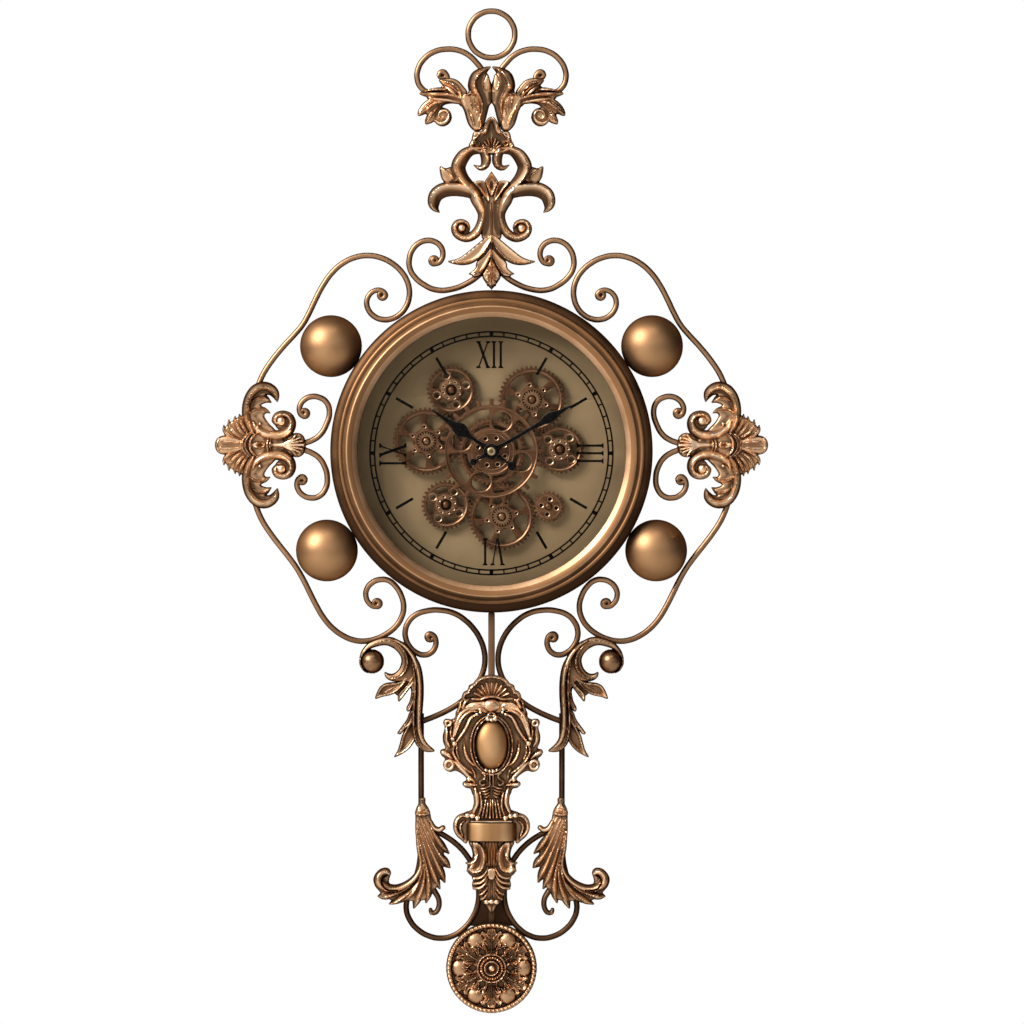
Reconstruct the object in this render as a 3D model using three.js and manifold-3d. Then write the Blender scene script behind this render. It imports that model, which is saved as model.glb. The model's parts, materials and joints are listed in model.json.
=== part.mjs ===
// Gear wall clock: a round case with an open train of wheels behind its glass, held in a frame of
// bent rods and flat-backed castings.
// Lengths are in millimetres. The dial looks along -Y, +Z is up, and the origin is the point where
// the dial axis meets the wall. A "depth" is a distance from the wall towards the viewer.
import * as THREE from "three";
import { mergeVertices } from "three/addons/utils/BufferGeometryUtils.js";
import Module from "manifold-3d";

const wasm = await Module();
wasm.setup();

// Clearances: between pieces that seat on each other, and round pieces that turn.
const SEAT_GAP = 0.3;
const RUN_GAP = 0.35;

// Case.
const CASE_RADIUS = 161;
const CASE_WALL = 1.6;
const DRUM_FRONT = 44;
const FLANGE_WIDTH = 21;
const COVER_THICKNESS = 1.5;
const BEZEL_HEIGHT = 17;
const BEZEL_LIP = 2;
const BEZEL_WIDTH = 27;
const GLASS_REACH = 6;
const GLASS_THICKNESS = 3;
const SLEEVE_WALL = 2;
const DIAL_FRONT = 27;
const DIAL_THICKNESS = 1.5;
const CASE_SEGMENTS = 36;
const DIAL_SEGMENTS = 32;

// Train of wheels: one module for all the fine teeth, and where each satellite lies.
const MODULE = 1.5;
const TIP_SHARE = 0.82;
const ROOT_SHARE = 1.12;
const CENTRE_TEETH = 44;
const LARGE_TEETH = 44;
const SMALL_TEETH = 32;
const PINION_TEETH = 20;
const LARGE_UPPER_BEARING = 52;
const LARGE_LEFT_BEARING = 171;
const LARGE_LOWER_BEARING = 279;
const SMALL_UPPER_BEARING = 64;
const SMALL_RIGHT_BEARING = -61;
const SMALL_LOWER_BEARING = 168;
const PINION_BEARING = 12;
const WHEEL_LIFT = 3.2;
const WHEEL_THICKNESS = 3;
const RELIEF = 1;
const STUD_RADIUS = 2;
const STUD_HEAD_RADIUS = 3.6;
const STUD_HEAD_HEIGHT = 2.4;

// Front wheel on the centre axis.
const FRONT_TEETH = 24;
const FRONT_TIP_RADIUS = 53;
const FRONT_ROOT_RADIUS = 47;
const FRONT_TOOTH_WIDTH = 5.5;
const FRONT_THICKNESS = 2.5;
const FRONT_HUB_RADIUS = 19;

// Hands and the arbors that carry them.
const SLEEVE_RADIUS = 4.4;
const HOUR_TUBE_RADIUS = 3.2;
const MINUTE_ARBOR_RADIUS = 1.9;
const HAND_THICKNESS = 1.2;
const HAND_SPACING = 2.4;
const HOUR_HAND_LENGTH = 74;
const HOUR_HAND_TAIL = 25;
const MINUTE_HAND_LENGTH = 92;
const MINUTE_HAND_TAIL = 21;
const HAND_HUB_RADIUS = 9;
const HOUR_HAND_CLOCKWISE = 305;
const MINUTE_HAND_CLOCKWISE = 60;
const NUT_HEIGHT = 2.6;

// Movement and gear drive behind the dial.
const MOVEMENT_WIDTH = 58;
const MOVEMENT_DEPTH = 18;
const CELL_RADIUS = 7.1;
const CELL_LENGTH = 50;
const CELL_DROP = 17;
const KNOB_RADIUS = 6;
const KNOB_HEIGHT = 3.5;
const KNOB_PLACE = [-16, 14];
const DRIVE_WIDTH = 58;
const DRIVE_BELOW = 18;
const DRIVE_ABOVE = 44;
const SWITCH_LENGTH = 5;
const SWITCH_TRAVEL = 4;

// Hanger.
const HANGER_DROP = 49;
const HANGER_WIDTH = 40;
const HANGER_HEIGHT = 40;
const HANGER_THICKNESS = 2;
const KEYHOLE_RADIUS = 6.5;
const KEYHOLE_SLOT = 3;
const KEYHOLE_RISE = 14;

// Frame of rods, balls and castings.
const ROD_DEPTH = 32;
const ROD_DIAMETER = 5.8;
const ROD_SIDES = 6;
const EYE_SHARE = 0.62;
const BEND_STEP = 52;
const RING_RADIUS = 23.3;
const RING_RISE = 256.7;
const RING_TOUCH_BEARING = 220;
const RING_SEGMENTS = 18;
const BALL_RADIUS = 31;
const UPPER_BALL_BEARING = 146.7;
const LOWER_BALL_BEARING = 211;
const SPINE_WIDTH = 6.6;
const POST_PLACE = 70.5;
const ROSETTE_RADIUS = 45.4;
const ROSETTE_DROP = 355.5;

// Derived places.
const turn = Math.PI / 180;
const ROD_HALF = (ROD_DIAMETER / 2) * 1.05;
const ROD_FRONT = ROD_DEPTH + ROD_HALF * Math.sin(60 * turn);
const CASTING_BACK = ROD_FRONT + SEAT_GAP;
const DRUM_BACK = COVER_THICKNESS + SEAT_GAP;
const DRUM_INNER = CASE_RADIUS - CASE_WALL;
const DIAL_BACK = DIAL_FRONT - DIAL_THICKNESS;
const WHEEL_BACK = DIAL_FRONT + WHEEL_LIFT;
const WHEEL_FRONT = WHEEL_BACK + WHEEL_THICKNESS;
const FRONT_BACK = WHEEL_FRONT + RELIEF + 2 * SEAT_GAP;
const FRONT_FACE = FRONT_BACK + FRONT_THICKNESS;
const SLEEVE_END = FRONT_FACE + RELIEF + SEAT_GAP;
const HOUR_HAND_BACK = SLEEVE_END + HAND_THICKNESS;
const MINUTE_HAND_BACK = HOUR_HAND_BACK + HAND_SPACING;
const NUT_BACK = MINUTE_HAND_BACK + HAND_THICKNESS + SEAT_GAP;
const GLASS_BACK = NUT_BACK + NUT_HEIGHT + 4 * SEAT_GAP;
const GLASS_FRONT = GLASS_BACK + GLASS_THICKNESS;
const SIGHT_RADIUS = CASE_RADIUS - BEZEL_WIDTH;
const GLASS_RADIUS = SIGHT_RADIUS + GLASS_REACH;
const HANGER_PLACE = [0, CASE_RADIUS - HANGER_DROP];
const MOVEMENT_FRONT = DIAL_BACK - SEAT_GAP;
const MOVEMENT_BACK = MOVEMENT_FRONT - MOVEMENT_DEPTH;
const STUD_BORE = STUD_RADIUS + RUN_GAP;

// Finishes.
const BRONZE = { color: 0xa86f43, metalness: 0.9, roughness: 0.35 };
const DARK_BRONZE = { color: 0x7d5534, metalness: 0.9, roughness: 0.4 };
const TAN = { color: 0x96805c, metalness: 0.2, roughness: 0.6 };
const BLACK = { color: 0x141210, metalness: 0.1, roughness: 0.5 };
const STEEL = { color: 0xb0b0ac, metalness: 1, roughness: 0.35 };
const BRASS = { color: 0xc09a50, metalness: 1, roughness: 0.3 };
const CLEAR = { color: 0xeef4f2, metalness: 0, roughness: 0.05, transparent: true, opacity: 0.15 };
const CELL = { color: 0x3f6b4a, metalness: 0.3, roughness: 0.4 };

// Plane points are [x, z], with bearings in degrees anticlockwise from +X.
const polar = (radius, degrees) => [radius * Math.cos(degrees * turn), radius * Math.sin(degrees * turn)];
const plus = ([x, z], [dx, dz]) => [x + dx, z + dz];
const spot = ([x, z], depth) => new THREE.Vector3(x, -depth, z);

// A point of a rod's line where it touches its neighbour.
const contact = ([x, z]) => [x, z, true];

// Points placed from the rim of the case: above its top, below its bottom, left of its left side.
const above = (x, rise) => [x, CASE_RADIUS + rise];
const below = (x, drop) => [x, -CASE_RADIUS - drop];
const beside = (out, z) => [-CASE_RADIUS - out, z];
const rim = (bearing, dx, dz) => plus(polar(CASE_RADIUS, bearing), [dx, dz]);
const onRim = (bearing) => contact(polar(CASE_RADIUS + SEAT_GAP + ROD_HALF, bearing));

// A closed surface as a solid, turned the right way out.
function solidFrom(geometry) {
  const loose = geometry.index ? geometry.toNonIndexed() : geometry;
  const bare = new THREE.BufferGeometry();
  bare.setAttribute("position", loose.getAttribute("position"));
  const merged = mergeVertices(bare, 1e-4);
  const corners = merged.index.array;
  const vertProperties = new Float32Array(merged.attributes.position.array);
  const build = (second, third) => {
    const triVerts = [];
    for (let i = 0; i < corners.length; i += 3) {
      const face = [corners[i], corners[i + second], corners[i + third]];
      if (new Set(face).size === 3) triVerts.push(...face);
    }
    return new wasm.Manifold(
      new wasm.Mesh({ numProp: 3, vertProperties, triVerts: new Uint32Array(triVerts) }),
    );
  };
  const made = build(1, 2);
  return made.volume() < 0 ? build(2, 1) : made;
}

function geometryFrom(solid) {
  const mesh = solid.getMesh();
  const geometry = new THREE.BufferGeometry();
  geometry.setAttribute("position", new THREE.BufferAttribute(mesh.vertProperties.slice(), 3));
  geometry.setIndex(new THREE.BufferAttribute(mesh.triVerts.slice(), 1));
  return geometry;
}

const joined = (solids) => solids.reduce((whole, piece) => whole.add(piece));
const flip = new THREE.Matrix4().makeScale(-1, 1, 1);
const mirrored = (solid) => solidFrom(geometryFrom(solid).applyMatrix4(flip));
const moved = (solid, [x, z]) => solidFrom(geometryFrom(solid).translate(x, 0, z));

const clock = new THREE.Group();

function add(name, solid, finish, [x, z] = [0, 0]) {
  const geometry = geometryFrom(solid);
  geometry.computeVertexNormals();
  const mesh = new THREE.Mesh(geometry, new THREE.MeshStandardMaterial(finish));
  mesh.name = name;
  mesh.position.set(x, 0, z);
  clock.add(mesh);
}

// A left piece and its mirror image on the right.
function addPair(name, solid, finish) {
  add(name + "_left", solid, finish);
  add(name + "_right", mirrored(solid), finish);
}

// Turned round the dial axis. The profile is a list of [radius, depth].
function turned(profile, segments) {
  const closed = profile[0][0] === 0 ? profile : [...profile, profile[0]];
  const points = closed.map(([radius, depth]) => new THREE.Vector2(radius, -depth));
  return solidFrom(new THREE.LatheGeometry(points, segments));
}

// A flat plate between two depths, from an outline and holes in the plane of the dial.
function plate(outline, holes, back, front) {
  const shape = new THREE.Shape(outline.map(([x, z]) => new THREE.Vector2(x, z)));
  shape.holes = holes.map((hole) => new THREE.Path(hole.map(([x, z]) => new THREE.Vector2(x, z))));
  const geometry = new THREE.ExtrudeGeometry(shape, { depth: front - back, bevelEnabled: false });
  return solidFrom(geometry.rotateX(90 * turn).translate(0, -back, 0));
}

function circle(radius, sides, centre = [0, 0], phase = 0) {
  const corner = (i) => polar(radius, phase + (i * 360) / sides);
  return Array.from({ length: sides }, (_, i) => plus(centre, corner(i)));
}

function rectangle([left, bottom], [right, top]) {
  return [
    [left, bottom],
    [right, bottom],
    [right, top],
    [left, top],
  ];
}

// Joins rings of points that follow each other into a tube with closed ends.
function loft(rings) {
  const sides = rings[0].length;
  const triangles = [];
  for (let i = 0; i + 1 < rings.length; i++) {
    for (let k = 0; k < sides; k++) {
      const next = (k + 1) % sides;
      triangles.push(rings[i][k], rings[i][next], rings[i + 1][next]);
      triangles.push(rings[i][k], rings[i + 1][next], rings[i + 1][k]);
    }
  }
  const last = rings[rings.length - 1];
  for (let k = 1; k + 1 < sides; k++) {
    triangles.push(rings[0][0], rings[0][k + 1], rings[0][k]);
    triangles.push(last[0], last[k], last[k + 1]);
  }
  return solidFrom(new THREE.BufferGeometry().setFromPoints(triangles));
}

// The stations of a smooth bend: one at each contact, and a new one where the line has turned enough.
function stations(points) {
  const line = points.map(([x, z]) => new THREE.Vector3(x, 0, z));
  const curve = new THREE.CatmullRomCurve3(line, false, "centripetal");
  const steps = 14;
  const count = (points.length - 1) * steps;
  const kept = [];
  let turnedBy = 0;
  let before = curve.getTangent(0);
  for (let i = 0; i <= count; i++) {
    const tangent = curve.getTangent(i / count);
    turnedBy += before.angleTo(tangent) / turn;
    before = tangent;
    const touches = i % steps === 0 && points[i / steps][2];
    if (i === 0 || i === count || touches || turnedBy >= BEND_STEP) {
      kept.push({ at: curve.getPoint(i / count), tangent, along: i / count });
      turnedBy = 0;
    }
  }
  return kept;
}

// A rod bent in the plane of the frame. Its last stretch is drawn out to a finer eye.
function rod(points, eyeFrom = 1) {
  const rings = stations(points).map(({ at, tangent, along }) => {
    const drawn = Math.max(0, (along - eyeFrom) / (1 - eyeFrom || 1));
    const half = ROD_HALF * (1 - (1 - EYE_SHARE) * drawn);
    return Array.from({ length: ROD_SIDES }, (_, k) => {
      const [across, out] = polar(half, (k * 360) / ROD_SIDES);
      return new THREE.Vector3(at.x - tangent.z * across, -ROD_DEPTH - out, at.z + tangent.x * across);
    });
  });
  return loft(rings);
}

// One modelled stroke of a casting: a line of [point, half width], flat behind and raised in front.
function stroke(line, height, sides = 3) {
  const path = new THREE.CatmullRomCurve3(
    line.map(([[x, z]]) => new THREE.Vector3(x, 0, z)),
    false,
    "centripetal",
  );
  const widest = Math.max(...line.map(([, half]) => half));
  const rings = line.map(([[x, z], half], i) => {
    const tangent = path.getTangent(i / (line.length - 1));
    const rise = height * (0.3 + (0.7 * half) / widest);
    const point = (across, up) =>
      new THREE.Vector3(x - tangent.z * across, -CASTING_BACK - up, z + tangent.x * across);
    const crown = sides === 3 ? [point(0, rise)] : [point(0.5 * half, rise), point(-0.5 * half, rise)];
    return [point(half, 0), ...crown, point(-half, 0)];
  });
  return loft(rings);
}

// A rounded boss of a casting, flat behind.
function boss(centre, halfWidth, halfHeight, height, sides = 6) {
  const ring = (share, up) =>
    circle(1, sides).map(([x, z]) =>
      spot(plus(centre, [x * halfWidth * share, z * halfHeight * share]), CASTING_BACK + up * height),
    );
  return loft(sides > 6 ? [ring(1, 0), ring(0.86, 0.6), ring(0.4, 1)] : [ring(1, 0), ring(0.6, 1)]);
}

// Case.
add(
  "case_drum",
  turned(
    [
      [CASE_RADIUS - FLANGE_WIDTH, DRUM_BACK],
      [CASE_RADIUS, DRUM_BACK],
      [CASE_RADIUS, DRUM_FRONT],
      [DRUM_INNER, DRUM_FRONT],
      [DRUM_INNER, DRUM_BACK + CASE_WALL],
      [CASE_RADIUS - FLANGE_WIDTH, DRUM_BACK + CASE_WALL],
    ],
    CASE_SEGMENTS,
  ),
  BRONZE,
);

// The bezel seats on the drum: an outer roll, a groove, a bead, and a cone that falls to the glass.
const bezelBack = DRUM_FRONT + SEAT_GAP;
const bezelFront = bezelBack + BEZEL_HEIGHT;
const lipBack = GLASS_FRONT + SEAT_GAP;
add(
  "bezel",
  turned(
    [
      [GLASS_RADIUS + 3 * SEAT_GAP, bezelBack],
      [CASE_RADIUS, bezelBack],
      [CASE_RADIUS - 1, bezelFront - 5],
      [CASE_RADIUS - 6.5, bezelFront - 0.7],
      [CASE_RADIUS - 14, bezelFront - 4.5],
      [CASE_RADIUS - 17.5, bezelFront],
      [SIGHT_RADIUS, lipBack + BEZEL_LIP],
      [SIGHT_RADIUS, lipBack],
      [GLASS_RADIUS + 3 * SEAT_GAP, lipBack],
    ],
    CASE_SEGMENTS,
  ),
  BRONZE,
);

add("lens_glass", plate(circle(GLASS_RADIUS, DIAL_SEGMENTS), [], GLASS_BACK, GLASS_FRONT), CLEAR);

const sleeveInner = SIGHT_RADIUS + 1;
add(
  "dial_sleeve",
  turned(
    [
      [sleeveInner, DIAL_FRONT + SEAT_GAP],
      [sleeveInner + SLEEVE_WALL, DIAL_FRONT + SEAT_GAP],
      [sleeveInner + SLEEVE_WALL, GLASS_BACK - SEAT_GAP],
      [sleeveInner, GLASS_BACK - SEAT_GAP],
    ],
    DIAL_SEGMENTS,
  ),
  TAN,
);

// Places of the wheels: centre distance is half the sum of the teeth times the module.
const pitchRadius = (teeth) => (MODULE * teeth) / 2;
const inMesh = (from, teeth, otherTeeth, bearing) =>
  plus(from, polar(pitchRadius(teeth) + pitchRadius(otherTeeth), bearing));
const largeUpper = inMesh([0, 0], CENTRE_TEETH, LARGE_TEETH, LARGE_UPPER_BEARING);
const largeLeft = inMesh([0, 0], CENTRE_TEETH, LARGE_TEETH, LARGE_LEFT_BEARING);
const largeLower = inMesh([0, 0], CENTRE_TEETH, LARGE_TEETH, LARGE_LOWER_BEARING);
const smallUpper = inMesh(largeLeft, LARGE_TEETH, SMALL_TEETH, SMALL_UPPER_BEARING);
const smallRight = inMesh(largeUpper, LARGE_TEETH, SMALL_TEETH, SMALL_RIGHT_BEARING);
const smallLower = inMesh(largeLower, LARGE_TEETH, SMALL_TEETH, SMALL_LOWER_BEARING);
const pinionPlace = inMesh(largeLower, LARGE_TEETH, PINION_TEETH, PINION_BEARING);

// The bearing of one tooth of a wheel, so that a tooth of its driver stands in a gap of its own.
function meshedPhase(driverTeeth, driverPhase, teeth, bearing) {
  const driverPitch = 360 / driverTeeth;
  const pitch = 360 / teeth;
  const driverShare = (bearing - driverPhase) / driverPitch;
  return bearing + 180 - pitch * (0.5 - driverShare);
}
const upperPhase = meshedPhase(CENTRE_TEETH, 0, LARGE_TEETH, LARGE_UPPER_BEARING);
const leftPhase = meshedPhase(CENTRE_TEETH, 0, LARGE_TEETH, LARGE_LEFT_BEARING);
const lowerPhase = meshedPhase(CENTRE_TEETH, 0, LARGE_TEETH, LARGE_LOWER_BEARING);
const smallUpperPhase = meshedPhase(LARGE_TEETH, leftPhase, SMALL_TEETH, SMALL_UPPER_BEARING);
const smallRightPhase = meshedPhase(LARGE_TEETH, upperPhase, SMALL_TEETH, SMALL_RIGHT_BEARING);
const smallLowerPhase = meshedPhase(LARGE_TEETH, lowerPhase, SMALL_TEETH, SMALL_LOWER_BEARING);
const pinionPhase = meshedPhase(LARGE_TEETH, lowerPhase, PINION_TEETH, PINION_BEARING);

// Fine teeth: a valley between each two teeth, and a point on each.
function fineTeeth(teeth, phase) {
  const pitch = 360 / teeth;
  const valley = pitchRadius(teeth) - MODULE * ROOT_SHARE;
  const point = pitchRadius(teeth) + MODULE * TIP_SHARE;
  return Array.from({ length: teeth }, (_, i) => {
    const middle = phase + i * pitch;
    return [polar(valley, middle - pitch / 2), polar(point, middle)];
  }).flat();
}

// A window between two radii and two bearings, with a rounded outer side.
function window(inner, outer, from, to) {
  const middle = (from + to) / 2;
  const corner = (to - from) * 0.12;
  return [
    polar(inner, from + 2.5 * corner),
    polar(inner, to - 2.5 * corner),
    polar(outer * 0.95, to - corner),
    polar(outer, middle),
    polar(outer * 0.95, from + corner),
  ];
}
function around(count, phase, make) {
  return Array.from({ length: count }, (_, i) => make(phase + (i * 360) / count));
}
const bore = (radius) => circle(radius, 8);

// Large wheel: six windows, and a six-lobed star plate raised over the spokes.
const LARGE_RADIUS = pitchRadius(LARGE_TEETH);
function largeWheel(phase) {
  const inner = LARGE_RADIUS * 0.38;
  const outer = LARGE_RADIUS * 0.8;
  const windows = around(6, phase, (from) => window(inner, outer, from + 9, from + 51));
  const lobes = around(6, phase, (middle) => [
    polar(LARGE_RADIUS * 0.33, middle - 30),
    polar(LARGE_RADIUS * 0.54, middle - 7),
    polar(LARGE_RADIUS * 0.54, middle + 7),
  ]).flat();
  const teeth = fineTeeth(LARGE_TEETH, phase);
  const disc = plate(teeth, [...windows, bore(STUD_BORE)], WHEEL_BACK, WHEEL_FRONT);
  const star = plate(lobes, [bore(STUD_BORE)], WHEEL_FRONT - RELIEF, WHEEL_FRONT + RELIEF);
  return disc.add(star);
}

// Small wheel: four round holes between four kidney windows, and a raised hub.
const SMALL_RADIUS = pitchRadius(SMALL_TEETH);
function smallWheel(phase) {
  const holeAt = (bearing) => polar(SMALL_RADIUS * 0.64, bearing);
  const holes = around(4, phase + 45, (bearing) => circle(SMALL_RADIUS * 0.13, 5, holeAt(bearing)));
  const kidneys = around(4, phase, (middle) => [
    polar(SMALL_RADIUS * 0.52, middle - 20),
    polar(SMALL_RADIUS * 0.52, middle + 20),
    polar(SMALL_RADIUS * 0.76, middle + 20),
    polar(SMALL_RADIUS * 0.76, middle - 20),
  ]);
  const holesAll = [...holes, ...kidneys, bore(STUD_BORE)];
  const disc = plate(fineTeeth(SMALL_TEETH, phase), holesAll, WHEEL_BACK, WHEEL_FRONT);
  const hubDisc = circle(SMALL_RADIUS * 0.44, 12);
  const hub = plate(hubDisc, [bore(STUD_BORE)], WHEEL_FRONT - RELIEF, WHEEL_FRONT + RELIEF);
  return disc.add(hub);
}

function pinionWheel(phase) {
  const radius = pitchRadius(PINION_TEETH);
  const holeAt = (bearing) => polar(radius * 0.52, bearing);
  const holes = around(4, phase + 45, (bearing) => circle(radius * 0.15, 5, holeAt(bearing)));
  return plate(fineTeeth(PINION_TEETH, phase), [...holes, bore(STUD_BORE)], WHEEL_BACK, WHEEL_FRONT);
}

// The upper large wheel is driven: its arbor runs through the dial into the gear drive.
const DRIVE_FRONT = DIAL_BACK - SEAT_GAP;
const DRIVE_BACK = DRIVE_FRONT - MOVEMENT_DEPTH;
const arborEnd = DRIVE_FRONT - 8;
const drivenArbor = turned(
  [
    [0, arborEnd],
    [STUD_RADIUS, arborEnd],
    [STUD_RADIUS, WHEEL_BACK + RELIEF],
    [STUD_BORE + RELIEF, WHEEL_BACK + RELIEF],
    [STUD_BORE + RELIEF, WHEEL_FRONT + RELIEF],
    [STUD_HEAD_RADIUS, WHEEL_FRONT + RELIEF],
    [STUD_HEAD_RADIUS * 0.6, WHEEL_FRONT + RELIEF + STUD_HEAD_HEIGHT],
    [0, WHEEL_FRONT + RELIEF + STUD_HEAD_HEIGHT],
  ],
  8,
);
add("large_wheel_upper", largeWheel(upperPhase).add(drivenArbor), DARK_BRONZE, largeUpper);
add("large_wheel_left", largeWheel(leftPhase), DARK_BRONZE, largeLeft);
add("large_wheel_lower", largeWheel(lowerPhase), DARK_BRONZE, largeLower);
add("small_wheel_upper", smallWheel(smallUpperPhase), DARK_BRONZE, smallUpper);
add("small_wheel_right", smallWheel(smallRightPhase), DARK_BRONZE, smallRight);
add("small_wheel_lower", smallWheel(smallLowerPhase), DARK_BRONZE, smallLower);
add("pinion_wheel", pinionWheel(pinionPhase), DARK_BRONZE, pinionPlace);

// Centre wheel and the front wheel with coarse teeth, which turn together on the movement's sleeve.
const sleeveBore = circle(SLEEVE_RADIUS + RUN_GAP, 12);
add("centre_wheel", plate(fineTeeth(CENTRE_TEETH, 0), [sleeveBore], WHEEL_BACK, WHEEL_FRONT), DARK_BRONZE);

const frontPitch = 360 / FRONT_TEETH;
const rootHalf = Math.asin(FRONT_TOOTH_WIDTH / 2 / FRONT_ROOT_RADIUS) / turn;
const tipHalf = Math.asin(FRONT_TOOTH_WIDTH / 2.4 / FRONT_TIP_RADIUS) / turn;
const coarseTeeth = around(FRONT_TEETH, 0, (middle) => [
  polar(FRONT_ROOT_RADIUS, middle - rootHalf),
  polar(FRONT_TIP_RADIUS, middle - tipHalf),
  polar(FRONT_TIP_RADIUS, middle + tipHalf),
  polar(FRONT_ROOT_RADIUS, middle + rootHalf),
]).flat();
const windowInner = FRONT_HUB_RADIUS + 4;
const windowOuter = FRONT_ROOT_RADIUS * 0.9;
const roundWindows = around(4, 71, (bearing) => circle(9.5, 7, polar(FRONT_ROOT_RADIUS * 0.68, bearing)));
const wideWindows = around(4, 71, (bearing) => window(windowInner, windowOuter, bearing + 24, bearing + 66));
const frontDisc = plate(coarseTeeth, [...roundWindows, ...wideWindows, sleeveBore], FRONT_BACK, FRONT_FACE);
const frontHub = plate(circle(FRONT_HUB_RADIUS, 16), [sleeveBore], FRONT_FACE - RELIEF, FRONT_FACE + RELIEF);
const bushDisc = circle(SLEEVE_RADIUS * 2, 12);
const frontBush = plate(bushDisc, [sleeveBore], WHEEL_FRONT + SEAT_GAP, FRONT_BACK + RELIEF);
add("centre_front_wheel", joined([frontDisc, frontHub, frontBush]), BRONZE);

// Dial plate with a headed stud for each satellite that runs free.
const arborHole = circle(STUD_RADIUS + RUN_GAP, 12, largeUpper);
const dialDisc = plate(
  circle(DRUM_INNER - SEAT_GAP, CASE_SEGMENTS),
  [circle(SLEEVE_RADIUS + SEAT_GAP, 12), arborHole],
  DIAL_BACK,
  DIAL_FRONT,
);
function stud(top) {
  return turned(
    [
      [0, DIAL_BACK + DIAL_THICKNESS / 2],
      [STUD_RADIUS, DIAL_BACK + DIAL_THICKNESS / 2],
      [STUD_RADIUS, top + SEAT_GAP],
      [STUD_HEAD_RADIUS, top + SEAT_GAP],
      [STUD_HEAD_RADIUS * 0.6, top + SEAT_GAP + STUD_HEAD_HEIGHT],
      [0, top + SEAT_GAP + STUD_HEAD_HEIGHT],
    ],
    6,
  );
}
const raisedTop = WHEEL_FRONT + RELIEF;
const studs = [
  moved(stud(raisedTop), largeLeft),
  moved(stud(raisedTop), largeLower),
  moved(stud(raisedTop), smallUpper),
  moved(stud(raisedTop), smallRight),
  moved(stud(raisedTop), smallLower),
  moved(stud(WHEEL_FRONT), pinionPlace),
];
add("dial_plate", joined([dialDisc, ...studs]), TAN);

// Movement: a box with a bay for its cell, and a sleeve through the dial.
const half = MOVEMENT_WIDTH / 2;
const cellBay = CELL_RADIUS + SEAT_GAP;
const box = plate(rectangle([-half, -half], [half, half]), [], MOVEMENT_BACK, MOVEMENT_FRONT);
const bayEnd = CELL_LENGTH / 2 + SEAT_GAP;
const bay = (centre) =>
  plate(
    rectangle(plus(centre, [-bayEnd, -cellBay]), plus(centre, [bayEnd, cellBay])),
    [],
    MOVEMENT_BACK - 1,
    MOVEMENT_BACK + 2 * cellBay,
  );
const sleeve = plate(circle(SLEEVE_RADIUS, 12), [], MOVEMENT_FRONT - 1, SLEEVE_END);
const tubeBore = plate(circle(HOUR_TUBE_RADIUS + RUN_GAP, 12), [], MOVEMENT_FRONT - 6, SLEEVE_END + 1);
const knobHole = circle(KNOB_RADIUS / 2 + RUN_GAP, 10, KNOB_PLACE);
const knobBore = plate(knobHole, [], MOVEMENT_BACK - 1, MOVEMENT_BACK + 3);
const cellPlace = [0, -CELL_DROP];
const movementBody = box.add(sleeve).subtract(bay(cellPlace));
add("movement_housing", movementBody.subtract(tubeBore).subtract(knobBore), BLACK);

// A cell lies across, with its button end to the right.
function cell(centre) {
  const depth = MOVEMENT_BACK + cellBay;
  const along = CELL_LENGTH / 2;
  const ring = (x, radius) =>
    circle(radius, 8).map(([out, up]) => new THREE.Vector3(centre[0] + x, -depth - out, centre[1] + up));
  return loft([
    ring(-along, CELL_RADIUS),
    ring(along - 1.2, CELL_RADIUS),
    ring(along - 1.2, CELL_RADIUS * 0.38),
    ring(along, CELL_RADIUS * 0.38),
  ]);
}
add("movement_battery", cell(cellPlace), CELL);

const knobBack = MOVEMENT_BACK - SEAT_GAP - KNOB_HEIGHT;
const knob = plate(circle(KNOB_RADIUS, 16, KNOB_PLACE), [], knobBack, MOVEMENT_BACK - SEAT_GAP);
const knobStem = plate(circle(KNOB_RADIUS / 2, 10, KNOB_PLACE), [], MOVEMENT_BACK - 1, MOVEMENT_BACK + 2.5);
add("time_set_knob", knob.add(knobStem), BLACK);

const nutTop = WHEEL_BACK - SEAT_GAP;
add(
  "movement_nut",
  plate(circle(SLEEVE_RADIUS * 2, 6), [circle(SLEEVE_RADIUS + SEAT_GAP, 12)], DIAL_FRONT + SEAT_GAP, nutTop),
  BRASS,
);

const tubeBack = MOVEMENT_FRONT - 5;
const arborBore = circle(MINUTE_ARBOR_RADIUS + RUN_GAP, 10);
const tubeFront = HOUR_HAND_BACK + HAND_THICKNESS + 2 * SEAT_GAP;
add("hour_tube", plate(circle(HOUR_TUBE_RADIUS, 12), [arborBore], tubeBack, tubeFront), BRASS);
add("minute_arbor", plate(circle(MINUTE_ARBOR_RADIUS, 10), [], tubeBack, NUT_BACK + NUT_HEIGHT), BRASS);

// A hand along +X, with a lozenge, a fine tip, and a disc at the end of its tail.
function hand(length, tail, lozengeAt, lozengeHalf, tailDisc, boreRadius, back, clockwise) {
  const slim = lozengeHalf * 0.22;
  const upper = [
    [HAND_HUB_RADIUS * 0.95, slim * 1.2],
    [lozengeAt * 0.72, slim],
    [lozengeAt, lozengeHalf],
    [lozengeAt + (length - lozengeAt) * 0.45, slim],
    [length, slim * 0.35],
  ];
  const lower = upper.map(([x, z]) => [x, -z]).reverse();
  const blade = plate([...upper, ...lower], [], back, back + HAND_THICKNESS);
  const tailBar = rectangle([-tail, -slim], [-HAND_HUB_RADIUS * 0.95, slim]);
  const stem = plate(tailBar, [], back, back + HAND_THICKNESS);
  const disc = plate(circle(tailDisc, 8, [-tail, 0]), [], back, back + HAND_THICKNESS);
  const hub = plate(circle(HAND_HUB_RADIUS, 12), [circle(boreRadius, 8)], back, back + HAND_THICKNESS);
  const along = geometryFrom(joined([hub, blade, stem, disc]));
  return solidFrom(along.rotateY((clockwise - 90) * turn));
}
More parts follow.
